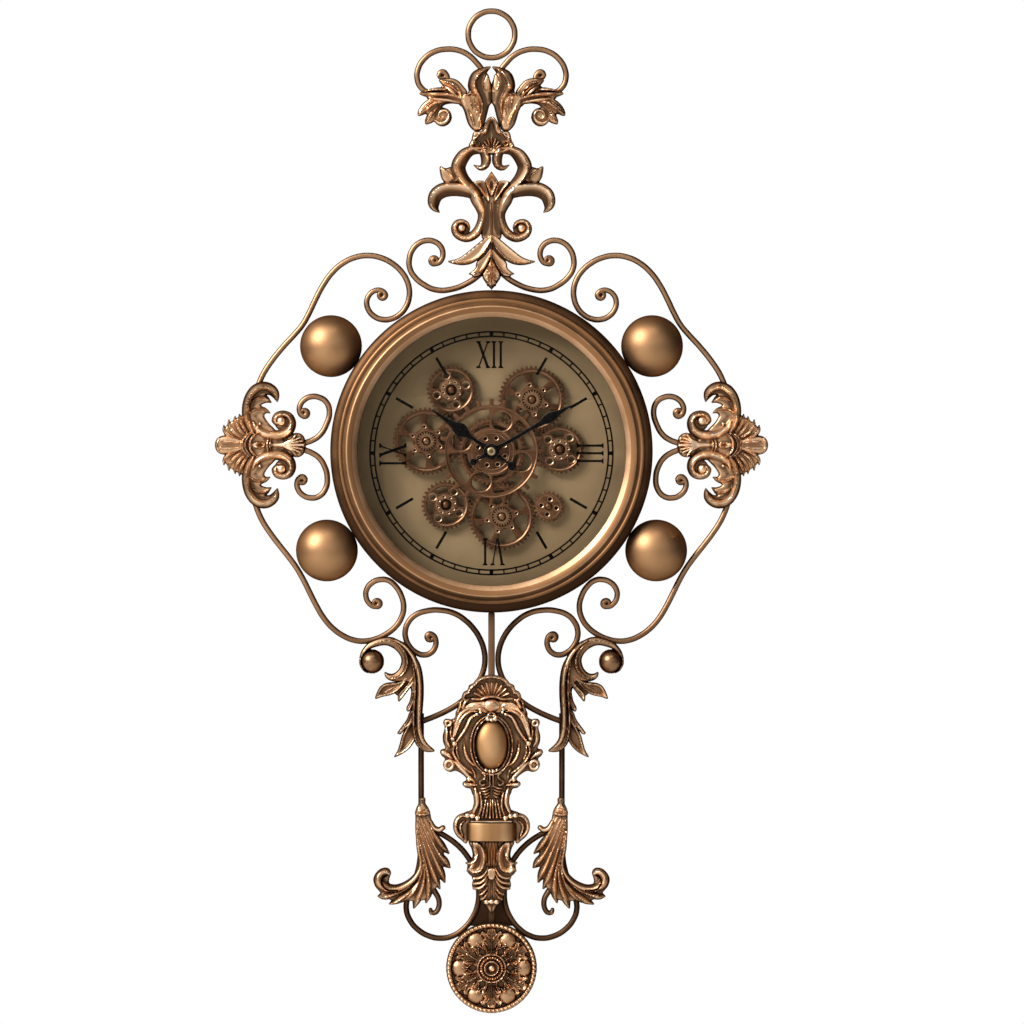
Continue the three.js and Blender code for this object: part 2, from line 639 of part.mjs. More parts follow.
add(
  "hour_hand",
  hand(
    HOUR_HAND_LENGTH,
    HOUR_HAND_TAIL,
    38,
    7,
    4.5,
    HOUR_TUBE_RADIUS + SEAT_GAP,
    HOUR_HAND_BACK,
    HOUR_HAND_CLOCKWISE,
  ),
  BLACK,
);
add(
  "minute_hand",
  hand(
    MINUTE_HAND_LENGTH,
    MINUTE_HAND_TAIL,
    68,
    5,
    3.5,
    MINUTE_ARBOR_RADIUS + SEAT_GAP,
    MINUTE_HAND_BACK,
    MINUTE_HAND_CLOCKWISE,
  ),
  BLACK,
);
const nutBore = circle(MINUTE_ARBOR_RADIUS + SEAT_GAP, 10);
const nutDisc = circle(MINUTE_ARBOR_RADIUS * 2.4, 12);
add("hand_nut", plate(nutDisc, [nutBore], NUT_BACK, NUT_BACK + NUT_HEIGHT), BRASS);

// Gear drive: a housing behind the driven wheel, with bays for two cells and a slot for its switch.
const driveLow = plus(largeUpper, [-DRIVE_WIDTH / 2, -DRIVE_BELOW]);
const driveHigh = plus(largeUpper, [DRIVE_WIDTH / 2, DRIVE_ABOVE]);
const upperCell = [largeUpper[0], driveHigh[1] - cellBay - 3];
const lowerCell = [largeUpper[0], upperCell[1] - 2 * cellBay - 1.5];
const switchPlace = plus(largeUpper, [-12, -9]);
const driveBox = plate(rectangle(driveLow, driveHigh), [], DRIVE_BACK, DRIVE_FRONT);
const arborSocket = plate(arborHole, [], arborEnd - SEAT_GAP, DRIVE_FRONT + 1);
const slotHalf = (SWITCH_LENGTH + SWITCH_TRAVEL) / 2 + SEAT_GAP;
const switchWide = SWITCH_LENGTH / 2;
const slotLow = plus(switchPlace, [-slotHalf, -switchWide - SEAT_GAP]);
const slotHigh = plus(switchPlace, [slotHalf, switchWide + SEAT_GAP]);
const switchSlot = plate(
  rectangle(slotLow, slotHigh),
  [],
  DRIVE_BACK - 1,
  DRIVE_BACK + 3,
);
const driveBody = driveBox.subtract(bay(upperCell)).subtract(bay(lowerCell)).subtract(arborSocket);
add("gear_motor", driveBody.subtract(switchSlot), BLACK);
add("gear_battery_upper", cell(upperCell), CELL);
add("gear_battery_lower", cell(lowerCell), CELL);
const switchAt = plus(switchPlace, [-SWITCH_TRAVEL / 2, 0]);
add(
  "gear_switch",
  plate(
    rectangle(plus(switchAt, [-switchWide, -switchWide]), plus(switchAt, [switchWide, switchWide])),
    [],
    DRIVE_BACK - 2,
    DRIVE_BACK + 3 - SEAT_GAP,
  ),
  BLACK,
);

// Keyhole: a round hole for the screw head with a slot above it.
function keyhole(extra) {
  const slot = KEYHOLE_SLOT + extra;
  const radius = KEYHOLE_RADIUS + extra;
  const lean = Math.acos(slot / radius) / turn;
  const bowl = Array.from({ length: 9 }, (_, i) => polar(radius, lean - (i * (180 + 2 * lean)) / 8));
  const top = KEYHOLE_RISE + extra;
  return [...bowl, [-slot, top], [slot, top]].map((point) => plus(point, HANGER_PLACE));
}
const cellWindow = rectangle(
  plus(cellPlace, [-bayEnd, -cellBay]),
  plus(cellPlace, [bayEnd, cellBay]),
);
const knobWindow = circle(KNOB_RADIUS + 3, 12, KNOB_PLACE);
const driveWindow = rectangle(plus(driveLow, [4, 4]), plus(driveHigh, [-2, -2]));
add(
  "rear_cover",
  plate(
    circle(CASE_RADIUS - SEAT_GAP, CASE_SEGMENTS),
    [cellWindow, knobWindow, driveWindow, keyhole(1)],
    0,
    COVER_THICKNESS,
  ),
  BLACK,
);
const hangerLow = plus(HANGER_PLACE, [-HANGER_WIDTH / 2, -HANGER_HEIGHT / 2]);
const hangerHigh = plus(HANGER_PLACE, [HANGER_WIDTH / 2, HANGER_HEIGHT / 2]);
const hangerBack = COVER_THICKNESS + SEAT_GAP;
add(
  "hanger_plate",
  plate(rectangle(hangerLow, hangerHigh), [keyhole(0)], hangerBack, hangerBack + HANGER_THICKNESS),
  STEEL,
);

// Top ring, a closed bend of the same rod, with a corner of the bend where each loop touches it.
const ringCentre = above(0, RING_RISE);
const ringSection = Array.from({ length: ROD_SIDES + 1 }, (_, k) => polar(ROD_HALF, (k * 360) / ROD_SIDES));
const ringProfile = ringSection.map(([out, y]) => new THREE.Vector2(RING_RADIUS + out, y));
const ringBend = new THREE.LatheGeometry(ringProfile, RING_SEGMENTS);
ringBend.rotateY((RING_TOUCH_BEARING - 90) * turn).translate(0, -ROD_DEPTH, 0);
add("top_ring", solidFrom(ringBend), BRONZE, ringCentre);

// Where two rods touch, each centre line stands off the contact point by half a rod and half a gap.
const standOff = ROD_HALF + SEAT_GAP / 2;
const upperTouch = above(-81.6, 12.6);
const lowerTouch = below(-86.9, 8.2);
const upperTouchBearing = 35;
const lowerTouchBearing = -28;

const ringTouch = plus(ringCentre, polar(RING_RADIUS + 2 * ROD_HALF + SEAT_GAP, RING_TOUCH_BEARING));
addPair(
  "top_loop",
  rod(
    [
      above(-8, 219.5),
      above(-13, 226.5),
      contact(ringTouch),
      above(-31, 240.7),
      above(-45, 243.3),
      above(-58, 240.5),
      above(-68.5, 233),
      above(-75, 222),
      above(-75.5, 211),
      above(-71, 202),
      above(-63, 197),
      above(-53, 198),
      above(-45, 204),
      above(-42.5, 213),
      above(-46.5, 220),
      above(-52, 219.5),
      above(-53, 214.5),
    ],
    0.75,
  ),
  BRONZE,
);

addPair(
  "crest_scroll",
  rod(
    [
      above(-12, 15.5),
      above(-20, 9.3),
      onRim(104.8),
      above(-57, 0.8),
      above(-67, 4.5),
      contact(plus(upperTouch, polar(standOff, upperTouchBearing))),
      above(-82.5, 22),
      above(-83.3, 32),
      above(-80, 41.5),
      above(-73.5, 48.5),
      above(-65, 51.5),
      above(-56.5, 50),
      above(-50.5, 45.5),
      above(-47.7, 38.5),
      above(-49, 31),
      above(-53.5, 26.3),
      above(-58.5, 27),
      above(-60.5, 31),
      above(-57.5, 33),
    ],
    0.7,
  ),
  BRONZE,
);

// Balls touch the case. The shoulder and hip rods pass round them.
const ballReach = CASE_RADIUS + SEAT_GAP + BALL_RADIUS;
const upperBall = polar(ballReach, UPPER_BALL_BEARING);
const lowerBall = polar(ballReach, LOWER_BALL_BEARING);
const ballTouch = BALL_RADIUS + SEAT_GAP + ROD_HALF;
function ball(centre, bearing) {
  const sphere = new THREE.SphereGeometry(BALL_RADIUS, 12, 8);
  sphere.rotateY(-bearing * turn).translate(centre[0], -ROD_DEPTH, centre[1]);
  return solidFrom(sphere);
}
addPair("ball_upper", ball(upperBall, UPPER_BALL_BEARING), BRONZE);
addPair("ball_lower", ball(lowerBall, LOWER_BALL_BEARING), BRONZE);

addPair(
  "shoulder_rod",
  rod(
    [
      beside(76, 58),
      beside(71.5, 69),
      beside(68, 77.5),
      beside(62, 88),
      plus(upperBall, [-46, 2]),
      plus(upperBall, [-36, 12.5]),
      contact(plus(upperBall, polar(ballTouch, 144.5))),
      plus(upperBall, [-22, 33]),
      plus(upperBall, [-15.5, 47]),
      plus(upperBall, [-8, 62]),
      plus(upperBall, [1, 75]),
      plus(upperBall, [12.7, 84.7]),
      plus(upperBall, [24.7, 90]),
      plus(upperBall, [37.7, 91.7]),
      above(-110, 34),
      above(-98, 27.5),
      above(-89.5, 19.5),
      contact(plus(upperTouch, polar(-standOff, upperTouchBearing))),
      above(-81.8, 2),
      above(-81.8, -7),
      above(-85, -17),
      onRim(123.7),
      rim(123.7, -11, -2.2),
      rim(123.7, -20, -2.6),
      rim(123.7, -29, 0.6),
      rim(123.7, -35.2, 8),
      rim(123.7, -36.7, 16.5),
      rim(123.7, -33.7, 23.8),
      rim(123.7, -27.5, 28.2),
      rim(123.7, -20.7, 28.4),
      rim(123.7, -16, 24.5),
      rim(123.7, -17, 19.5),
      rim(123.7, -21.5, 18.8),
    ],
    0.75,
  ),
  BRONZE,
);

addPair(
  "hip_rod",
  rod(
    [
      beside(77, -46),
      beside(74.3, -57),
      beside(69.5, -69),
      beside(60.5, -82),
      plus(lowerBall, [-47.5, 5]),
      plus(lowerBall, [-38.3, -6.3]),
      contact(plus(lowerBall, polar(ballTouch, 209.6))),
      plus(lowerBall, [-23.2, -29.5]),
      plus(lowerBall, [-17, -42.5]),
      plus(lowerBall, [-10.2, -56.3]),
      plus(lowerBall, [-3.2, -68.6]),
      plus(lowerBall, [5, -78]),
      plus(lowerBall, [16, -86]),
      plus(lowerBall, [27, -90.6]),
      plus(lowerBall, [38, -91.6]),
      below(-116, 27.3),
      below(-105, 22.3),
      below(-96, 15.3),
      contact(plus(lowerTouch, polar(-standOff, lowerTouchBearing))),
      below(-86.7, -5),
      below(-88.7, -16),
      onRim(234),
      rim(234, -7.5, 2),
      rim(234, -16.5, 3.2),
      rim(234, -25.3, 0.2),
      rim(234, -31.3, -6.8),
      rim(234, -32.3, -15),
      rim(234, -28.3, -22.8),
      rim(234, -22, -26.5),
      rim(234, -16.7, -24),
      rim(234, -17.3, -19.2),
      rim(234, -21.3, -18.4),
    ],
    0.78,
  ),
  BRONZE,
);

addPair(
  "side_scroll",
  rod(
    [
      beside(25.5, 41.5),
      beside(22.8, 38.5),
      beside(25, 35),
      beside(29.5, 35.5),
      beside(32, 40.5),
      beside(31.3, 47),
      beside(27, 52.7),
      beside(19.5, 56),
      beside(11.5, 55.5),
      beside(4.5, 50.5),
      onRim(165),
      rim(165, -10.6, -17),
      rim(165, -15.5, -26.5),
      rim(165, -24.5, -31.5),
      beside(28, 8.5),
      beside(31.5, 5.2),
      beside(28, 1.9),
      beside(19, -0.5),
      beside(11.5, -5),
      rim(189, -8.6, 12.5),
      onRim(189),
      beside(4.5, -40.5),
      beside(12, -46),
      beside(20.5, -47.5),
      beside(28.7, -44.3),
      beside(34.2, -37.5),
      beside(34.5, -30),
      beside(31, -25),
      beside(26.5, -25),
      beside(25, -29),
    ],
    1,
  ),
  BRONZE,
);

const spineHalf = SPINE_WIDTH / 2;
addPair(
  "inner_scroll",
  rod([
    below(-62, 28.5),
    below(-65.5, 25),
    below(-63, 20.8),
    below(-58, 21.8),
    below(-55, 27.5),
    below(-55.5, 35),
    below(-60, 41.5),
    below(-67.5, 44),
    below(-76, 41),
    below(-83, 34.5),
    below(-87, 25.5),
    below(-86.8, 17),
    contact(plus(lowerTouch, polar(standOff, lowerTouchBearing))),
    below(-77.5, 2.3),
    below(-68, -2.3),
    onRim(253.4),
    below(-36, 1),
    below(-26, 7.2),
    below(-17.5, 15.8),
    below(-11, 26),
    below(-7.7, 37),
    contact(below(-spineHalf - SEAT_GAP - ROD_HALF, 47)),
    below(-8.5, 58),
    below(-13.5, 70),
    below(-22, 83),
    below(-32, 91.5),
    below(-45, 99),
    below(-56, 104),
    below(-POST_PLACE + ROD_HALF + 4 * SEAT_GAP, 107.5),
  ]),
  BRONZE,
);

add(
  "spine_bar",
  plate(
    rectangle(below(-spineHalf, 320), below(spineHalf, SEAT_GAP)),
    [],
    ROD_DEPTH - spineHalf * 0.8,
    ROD_FRONT,
  ),
  BRONZE,
);

addPair(
  "foot_rod",
  rod([
    below(-POST_PLACE, 101),
    below(-POST_PLACE, 150),
    below(-POST_PLACE, 214),
    below(-72.5, 240),
    below(-79.5, 265),
    below(-86, 285),
    below(-86.6, 297),
    below(-83, 308),
    below(-75, 318),
    below(-63, 325.3),
    below(-50, 327.3),
    below(-38, 325),
    below(-27, 317.5),
    below(-18, 306),
    below(-13.3, 294),
    below(-12, 282),
    below(-13.5, 269),
    below(-17.5, 255),
    below(-24, 243),
    below(-34, 232),
    below(-46, 223.5),
    below(-59, 217.5),
  ]),
  BRONZE,
);

// Upper crest: two petals back to back, each with a spray of leaves and a curled end.
const upperCrestLeft = joined([
  stroke(
    [
      [above(-1.5, 223.5), 0.8],
      [above(-12, 215.5), 7],
      [above(-13, 207), 9.2],
      [above(-11.5, 196), 11.8],
      [above(-15.5, 176), 9.5],
      [above(-15, 161.5), 5],
    ],
    13,
    4,
  ),
  stroke(
    [
      [above(-20, 188), 5],
      [above(-31, 202.5), 6.5],
      [above(-40, 207), 6],
      [above(-51, 210), 1.5],
    ],
    9,
  ),
  stroke(
    [
      [above(-18, 188), 6],
      [above(-36, 195.5), 6.5],
      [above(-52, 197.5), 6.5],
      [above(-63, 198), 4.5],
      [above(-72.5, 198), 0.8],
    ],
    9,
  ),
  stroke(
    [
      [above(-40, 194), 5],
      [above(-57, 190), 6],
      [above(-67, 184), 5],
      [above(-73, 175.5), 0.8],
    ],
    8,
  ),
  stroke(
    [
      [above(-46, 193), 5],
      [above(-57.5, 182), 5.5],
      [above(-63, 174), 4],
      [above(-66, 166.5), 0.8],
    ],
    7,
  ),
  stroke(
    [
      [above(-46, 191), 3],
      [above(-53, 184), 4],
      [above(-54, 175), 4],
    ],
    6,
  ),
  boss(above(-49, 173.5), 9, 9, 9),
]);

// Lower crest: a cap over two S-shaped arms with horns, leaves below, and a bud above the case.
const capLine = [
  [above(0, 173.5), 2],
  [above(0, 168), 6.5],
  [above(0, 160), 10.5],
  [above(0, 153), 17],
  [above(0, 145.5), 23],
];
const lowerCrestLeft = joined([
  stroke(
    [
      [above(-17, 125.5), 0.8],
      [above(-5, 127), 4],
      [above(-10, 139), 5],
      [above(-18, 140.5), 5.5],
      [above(-32.5, 131), 7.5],
      [above(-21.5, 105), 7],
      [above(-9.5, 87), 6],
      [above(-11.5, 65), 5.5],
      [above(-26.5, 52.5), 4.5],
      [above(-34.5, 55), 4],
      [above(-37.5, 61.5), 3.5],
      [above(-28, 69), 2.3],
    ],
    11,
  ),
  boss(above(-30, 62.5), 6, 6, 9),
  stroke(
    [
      [above(-34, 112), 3],
      [above(-44, 117), 6],
      [above(-51.5, 124), 1],
    ],
    7,
  ),
  stroke(
    [
      [above(-22, 103), 6],
      [above(-36, 103.5), 6.5],
      [above(-57, 95.5), 5],
      [above(-59.5, 87.5), 3.5],
      [above(-53, 78.5), 0.6],
    ],
    10,
  ),
  stroke(
    [
      [above(-3, 104), 4],
      [above(-10, 105.5), 4],
      [above(-17, 108), 0.8],
    ],
    6,
  ),
  stroke(
    [
      [above(-4, 64), 6],
      [above(-15, 48), 7.5],
      [above(-25, 36), 7],
      [above(-35, 29.5), 4],
      [above(-43.5, 29.5), 0.6],
    ],
    8,
  ),
  stroke(
    [
      [above(-2, 46), 6],
      [above(-9, 30), 8],
      [above(-15, 21), 5],
      [above(-22.5, 17), 0.6],
    ],
    7,
  ),
]);
const lowerCrestMiddle = [
  stroke(capLine, 12, 4),
  stroke(
    [
      [above(0, 119), 0.8],
      [above(0, 109), 6],
      [above(0, 98), 6.5],
      [above(0, 50), 6],
      [above(0, 26), 8],
      [above(0, 14), 7],
      [above(0, 3 * SEAT_GAP), 0.8],
    ],
    10,
  ),
];
add("crest_lower", joined([lowerCrestLeft, mirrored(lowerCrestLeft), ...lowerCrestMiddle]), BRONZE);

// The upper crest is notched where it stands on the cap.
const capNotch = stroke(
  capLine.map(([at, width]) => [plus(at, [0, SEAT_GAP]), width + 2 * SEAT_GAP]),
  40,
  4,
);
add("crest_upper", joined([upperCrestLeft, mirrored(upperCrestLeft)]).subtract(capNotch), BRONZE);

// Side ornament: a nose and fans, a knotted stem with a palmette, and two leafy scrolls.
const fan = (tips, root) =>
  tips.map(([out, z]) =>
    stroke(
      [
        [beside(...root), 3.5],
        [beside((root[0] + out) / 2, (root[1] + z) / 2 + (z - root[1]) * 0.08), 3.6],
        [beside(out, z), 0.9],
      ],
      9,
    ),
  );
const sideOrnament = joined([
  stroke(
    [
      [beside(80, 6), 6],
      [beside(107, 6.5), 9],
      [beside(115.7, 6.5), 4],
    ],
    13,
    4,
  ),
  ...fan(
    [
      [107, 26],
      [98.5, 33.5],
      [91, 37],
    ],
    [82, 10],
  ),
  ...fan(
    [
      [107, -12],
      [99, -20.5],
      [92, -24.5],
    ],
    [82, 2],
  ),
  stroke(
    [
      [beside(82, 18), 3],
      [beside(84, 6), 5.5],
      [beside(82, -6), 3],
    ],
    14,
  ),
  stroke(
    [
      [beside(84, 6), 7],
      [beside(52, 6), 6],
      [beside(42, 6), 9.5],
      [beside(33, 5.5), 13.5],
      [beside(25, 5), 7],
    ],
    10,
  ),
  stroke(
    [
      [beside(80, 14), 5],
      [beside(83.5, 40), 5.5],
      [beside(73.5, 61), 7],
      [beside(64, 62.5), 7],
      [beside(56, 58), 5],
      [beside(53.5, 50), 0.7],
    ],
    12,
  ),
  stroke(
    [
      [beside(80, 46), 5],
      [beside(69, 51.5), 4.5],
      [beside(60, 49.5), 0.7],
    ],
    8,
  ),
  stroke(
    [
      [beside(80, 34), 6],
      [beside(72, 41), 5],
      [beside(61.5, 38.5), 0.7],
    ],
    8,
  ),
  stroke(
    [
      [beside(80, 20), 6],
      [beside(69, 19), 9],
      [beside(57, 17), 6],
      [beside(39.5, 23), 4.5],
      [beside(38.5, 30), 4.2],
      [beside(50, 37.5), 3.5],
      [beside(55, 33), 3],
    ],
    11,
  ),
  boss(beside(50.5, 30), 6.5, 6.5, 11),
  stroke(
    [
      [beside(80, -3), 5],
      [beside(85, -29), 5.5],
      [beside(75.5, -49.5), 7],
      [beside(66, -50.5), 7],
      [beside(58, -46.5), 5],
      [beside(56, -38.5), 0.7],
    ],
    12,
  ),
  stroke(
    [
      [beside(82, -35), 5],
      [beside(71, -40.5), 4.5],
      [beside(61.5, -38.5), 0.7],
    ],
    8,
  ),
  stroke(
    [
      [beside(82, -23), 6],
      [beside(73, -30), 5],
      [beside(63, -28), 0.7],
    ],
    8,
  ),
  stroke(
    [
      [beside(80, -9), 6],
      [beside(69, -8), 9],
      [beside(57, -5.5), 6],
      [beside(39.5, -12), 4.5],
      [beside(38.5, -19), 4.2],
      [beside(49, -27.5), 3.5],
      [beside(55, -23), 3],
    ],
    11,
  ),
  boss(beside(49, -18.5), 7.5, 7.5, 11),
]);
addPair("side_ornament", sideOrnament, BRONZE);

// Acanthus: a stem that arches over to a ball, a crescent, and leaves down its outer side.
addPair(
  "acanthus",
  joined([
    boss(below(-120, 48.5), 11, 11, 15, 10),
    stroke(
      [
        [below(-129, 46), 2],
        [below(-128, 36), 3],
        [below(-121, 29.5), 4],
        [below(-93, 32), 6],
        [below(-77.5, 50), 7.5],
        [below(-74.5, 64), 7.2],
        [below(-75, 118), 6.5],
        [below(-70, 130), 5.5],
        [below(-63, 137), 3],
        [below(-57, 138.5), 0.6],
      ],
      11,
    ),
    stroke(
      [
        [below(-85, 38), 5],
        [below(-85, 50), 6],
        [below(-89, 60), 6],
        [below(-97, 64.5), 4.5],
        [below(-106.5, 60), 0.6],
      ],
      9,
    ),
    stroke(
      [
        [below(-80, 60), 5],
        [below(-95, 72), 6.5],
        [below(-106, 77), 5],
        [below(-116, 86.5), 0.6],
      ],
      8,
    ),
    stroke(
      [
        [below(-78, 66), 4],
        [below(-86, 76), 4],
        [below(-92.5, 89), 0.6],
      ],
      7,
    ),
    stroke(
      [
        [below(-76, 80), 4],
        [below(-81, 90), 3],
        [below(-85, 98), 0.6],
      ],
      6,
    ),
    stroke(
      [
        [below(-76, 98), 4],
        [below(-85, 112), 4],
        [below(-93.5, 121.5), 0.6],
      ],
      6,
    ),
    stroke(
      [
        [below(-76, 110), 5],
        [below(-84, 126), 6],
        [below(-91, 136), 3.5],
        [below(-97.5, 144), 0.6],
      ],
      8,
    ),
  ]),
  BRONZE,
);

// Tassel leaf: a collar, a sheaf of blades that spread downwards, a curled outer end and a hook.
const blade = (root, middle, tip) =>
  stroke(
    [
      [below(...root), 5.5],
      [below(...middle), 4.3],
      [below(...tip), 0.8],
    ],
    8,
  );
addPair(
  "tassel_leaf",
  joined([
    stroke(
      [
        [below(-70.5, 187), 2.5],
        [below(-68.7, 201), 8],
        [below(-63, 228), 11],
        [below(-60.5, 256), 13.5],
        [below(-62.5, 270), 12],
        [below(-66, 281), 7],
      ],
      14,
      4,
    ),
    stroke(
      [
        [below(-68, 240), 6],
        [below(-74, 262), 8],
        [below(-94, 279), 7],
        [below(-106, 279.5), 6],
        [below(-114.5, 264), 4.2],
        [below(-108, 258), 3.5],
      ],
      11,
      4,
    ),
    boss(below(-105, 261.5), 5.5, 5.5, 11),
    blade([-86, 276], [-103, 284], [-114, 284.5]),
    blade([-78, 274], [-93, 289], [-103.5, 293.5]),
    blade([-72, 270], [-77, 286], [-80, 296.5]),
    blade([-65, 268], [-66.5, 282], [-66, 290.5]),
    blade([-60, 262], [-54, 273], [-50, 277.5]),
    blade([-57, 252], [-51, 264], [-46.5, 270.5]),
    blade([-58, 240], [-48, 250], [-41, 255]),
    blade([-60, 226], [-50, 235.5], [-42.5, 241.5]),
    stroke(
      [
        [below(-65, 203), 4],
        [below(-58.5, 212), 3.5],
        [below(-52, 217), 3.2],
        [below(-47, 213), 1.8],
      ],
      7,
    ),
    stroke(
      [
        [below(-60, 272), 4],
        [below(-53, 284), 2.6],
        [below(-52, 294), 2.4],
        [below(-56, 300), 2.4],
        [below(-61.5, 298.5), 2.4],
      ],
      6,
    ),
  ]),
  BRONZE,
);

// Urn: a shell over a cartouche with a cabochon, a neck, a smooth band with two ears, a leafy foot.
const urnLeft = joined([
  boss(below(-44.5, 110), 5, 5, 8),
  boss(below(-48, 140), 3.8, 4, 8),
  boss(below(-44, 152.5), 5.5, 6, 9),
  boss(below(-25, 171), 4, 4, 8),
  stroke(
    [
      [below(-22, 204), 3],
      [below(-30, 203), 3.6],
      [below(-36, 209), 3.2],
      [below(-36.5, 217), 3.2],
      [below(-32, 224.5), 3.2],
      [below(-25, 230), 3],
    ],
    9,
  ),
]);
const urnMiddle = [
  stroke(
    [
      [below(0, 63), 8],
      [below(0, 68), 16.5],
      [below(0, 84), 29.5],
      [below(0, 93), 31.5],
      [below(0, 107), 44],
      [below(0, 132), 47.5],
      [below(0, 146), 46],
      [below(0, 156), 42],
      [below(0, 165), 27],
      [below(0, 181), 17.5],
      [below(0, 197), 20],
      [below(0, 205), 25],
    ],
    13,
    4,
  ),
  stroke(
    [
      [below(0, 209.5), 24],
      [below(0, 228.5), 24],
    ],
    15,
    4,
  ),
  stroke(
    [
      [below(0, 228), 21],
      [below(0, 250), 24.5],
      [below(0, 261), 24],
      [below(0, 270), 20],
      [below(0, 288), 8],
      [below(0, 296), 2],
    ],
    12,
    4,
  ),
  boss(below(0, 132), 21, 32, 17, 8),
  boss(below(0, 132), 15, 25, 22, 8),
];
add("urn", joined([urnLeft, mirrored(urnLeft), ...urnMiddle]), BRONZE);

// Rosette: a dished disc with a raised rim, six leaves and a boss.
const rosetteCentre = below(0, ROSETTE_DROP);
const rosetteDisc = turned(
  [
    [0, CASTING_BACK],
    [ROSETTE_RADIUS, CASTING_BACK],
    [ROSETTE_RADIUS, CASTING_BACK + 3],
    [ROSETTE_RADIUS - 3, CASTING_BACK + 6],
    [ROSETTE_RADIUS - 6.5, CASTING_BACK + 3.5],
    [ROSETTE_RADIUS * 0.35, CASTING_BACK + 6],
    [ROSETTE_RADIUS * 0.31, CASTING_BACK + 11],
    [0, CASTING_BACK + 11],
  ],
  20,
);
const rosettePoint = (radius, bearing) => plus(rosetteCentre, polar(radius, bearing));
const rosetteLeaves = around(6, 90, (bearing) =>
  stroke(
    [
      [rosettePoint(10, bearing), 4],
      [rosettePoint(24, bearing), 8],
      [rosettePoint(38, bearing), 4],
    ],
    10,
  ),
);
add("rosette", joined([moved(rosetteDisc, rosetteCentre), ...rosetteLeaves]), BRONZE);

export default clock;
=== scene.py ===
# %% [markdown]
# # Gear wall clock
# A round case with an open train of wheels hangs in a frame of bent rods with cast ornaments.
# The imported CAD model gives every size, place and joint. This lesson adds the looks to it.
# Each piece is made where it belongs, rides on its body, and stands in for its plain CAD node.

# %% Load the frame
import json
import math

import bpy
import numpy as np
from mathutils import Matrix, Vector


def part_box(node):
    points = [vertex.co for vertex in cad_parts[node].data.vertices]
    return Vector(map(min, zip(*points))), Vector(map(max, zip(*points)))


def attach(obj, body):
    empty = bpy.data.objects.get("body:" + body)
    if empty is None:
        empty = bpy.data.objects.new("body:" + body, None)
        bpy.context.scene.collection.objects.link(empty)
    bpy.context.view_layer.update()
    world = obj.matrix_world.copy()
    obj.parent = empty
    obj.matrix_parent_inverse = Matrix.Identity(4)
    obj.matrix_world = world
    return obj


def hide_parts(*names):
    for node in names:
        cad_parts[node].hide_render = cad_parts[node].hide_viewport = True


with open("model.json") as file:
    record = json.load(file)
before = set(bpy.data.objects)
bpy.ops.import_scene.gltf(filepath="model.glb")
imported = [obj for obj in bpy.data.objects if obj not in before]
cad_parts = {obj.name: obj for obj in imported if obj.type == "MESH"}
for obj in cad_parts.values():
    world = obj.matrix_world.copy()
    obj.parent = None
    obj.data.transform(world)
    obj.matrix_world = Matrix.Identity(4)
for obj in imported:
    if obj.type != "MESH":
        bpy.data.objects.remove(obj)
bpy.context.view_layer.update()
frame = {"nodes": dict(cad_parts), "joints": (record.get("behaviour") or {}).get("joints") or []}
bpy.ops.object.select_all(action="DESELECT")
MM = 0.001

# %% [markdown]
# The clock faces -Y and hangs on the wall plane y = 0. A point of it is written as (x, z) in mm from the
# dial's centre, and a depth is the distance from the wall. The frame's nodes tell how deep each piece
# lies.

# %% Places and depths
def polar(radius, degrees):
    angle = math.radians(degrees)
    return (radius * math.cos(angle), radius * math.sin(angle))


def plus(first, second):
    return (first[0] + second[0], first[1] + second[1])


def depths(node):
    low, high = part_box(node)
    return -high.y / MM, -low.y / MM


def middle_of(node):
    low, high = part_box(node)
    return ((low.x + high.x) / 2 / MM, (low.z + high.z) / 2 / MM)


CASE_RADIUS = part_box("rear_cover")[1].x / MM + 0.3
print("case radius", round(CASE_RADIUS, 2), "mm, glass at depths", depths("lens_glass"))

# %% [markdown]
# A few helpers come back all the time. They link new data into the scene, make a piece active, fix its
# place into its mesh, run some steps of mesh editing on it, weld and smooth it, and join several pieces
# to one. The last one settles a piece: it gives it a look and a body to ride on, and hides the CAD nodes
# it stands in for.

# %% Helpers for every piece
def linked(name, data):
    piece = bpy.data.objects.new(name, data)
    bpy.context.collection.objects.link(piece)
    return piece


def active(piece):
    bpy.ops.object.select_all(action="DESELECT")
    piece.select_set(True)
    bpy.context.view_layer.objects.active = piece
    return piece


def fix_place(piece):
    active(piece)
    bpy.ops.object.transform_apply(location=True, rotation=True, scale=True)
    return piece


def edited(piece, *steps):
    active(piece)
    bpy.ops.object.mode_set(mode="EDIT")
    bpy.ops.mesh.select_all(action="SELECT")
    for step in steps:
        step()
    bpy.ops.object.mode_set(mode="OBJECT")
    return piece


def weld():
    bpy.ops.mesh.remove_doubles(threshold=1e-6)


def face_outward():
    bpy.ops.mesh.normals_make_consistent(inside=False)


def round_edges():
    bpy.ops.mesh.bevel(offset=0.9 * MM, segments=3)


def tidy(piece, angle=35):
    edited(piece, weld, face_outward)
    bpy.ops.object.shade_smooth_by_angle(angle=math.radians(angle))
    return piece


def joined(name, pieces):
    bpy.ops.object.select_all(action="DESELECT")
    for piece in pieces:
        piece.select_set(True)
    bpy.context.view_layer.objects.active = pieces[0]
    bpy.ops.object.join()
    pieces[0].name = name
    return pieces[0]


def settle(piece, body, slot, look, *nodes):
    piece.data.materials.clear()
    piece.data.materials.append(look)
    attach(piece, body)
    if nodes:
        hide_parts(*nodes)
    return piece


# %% [markdown]
# Materials are sums of nodes. A small class wraps a socket, so that the sums read as arithmetic.

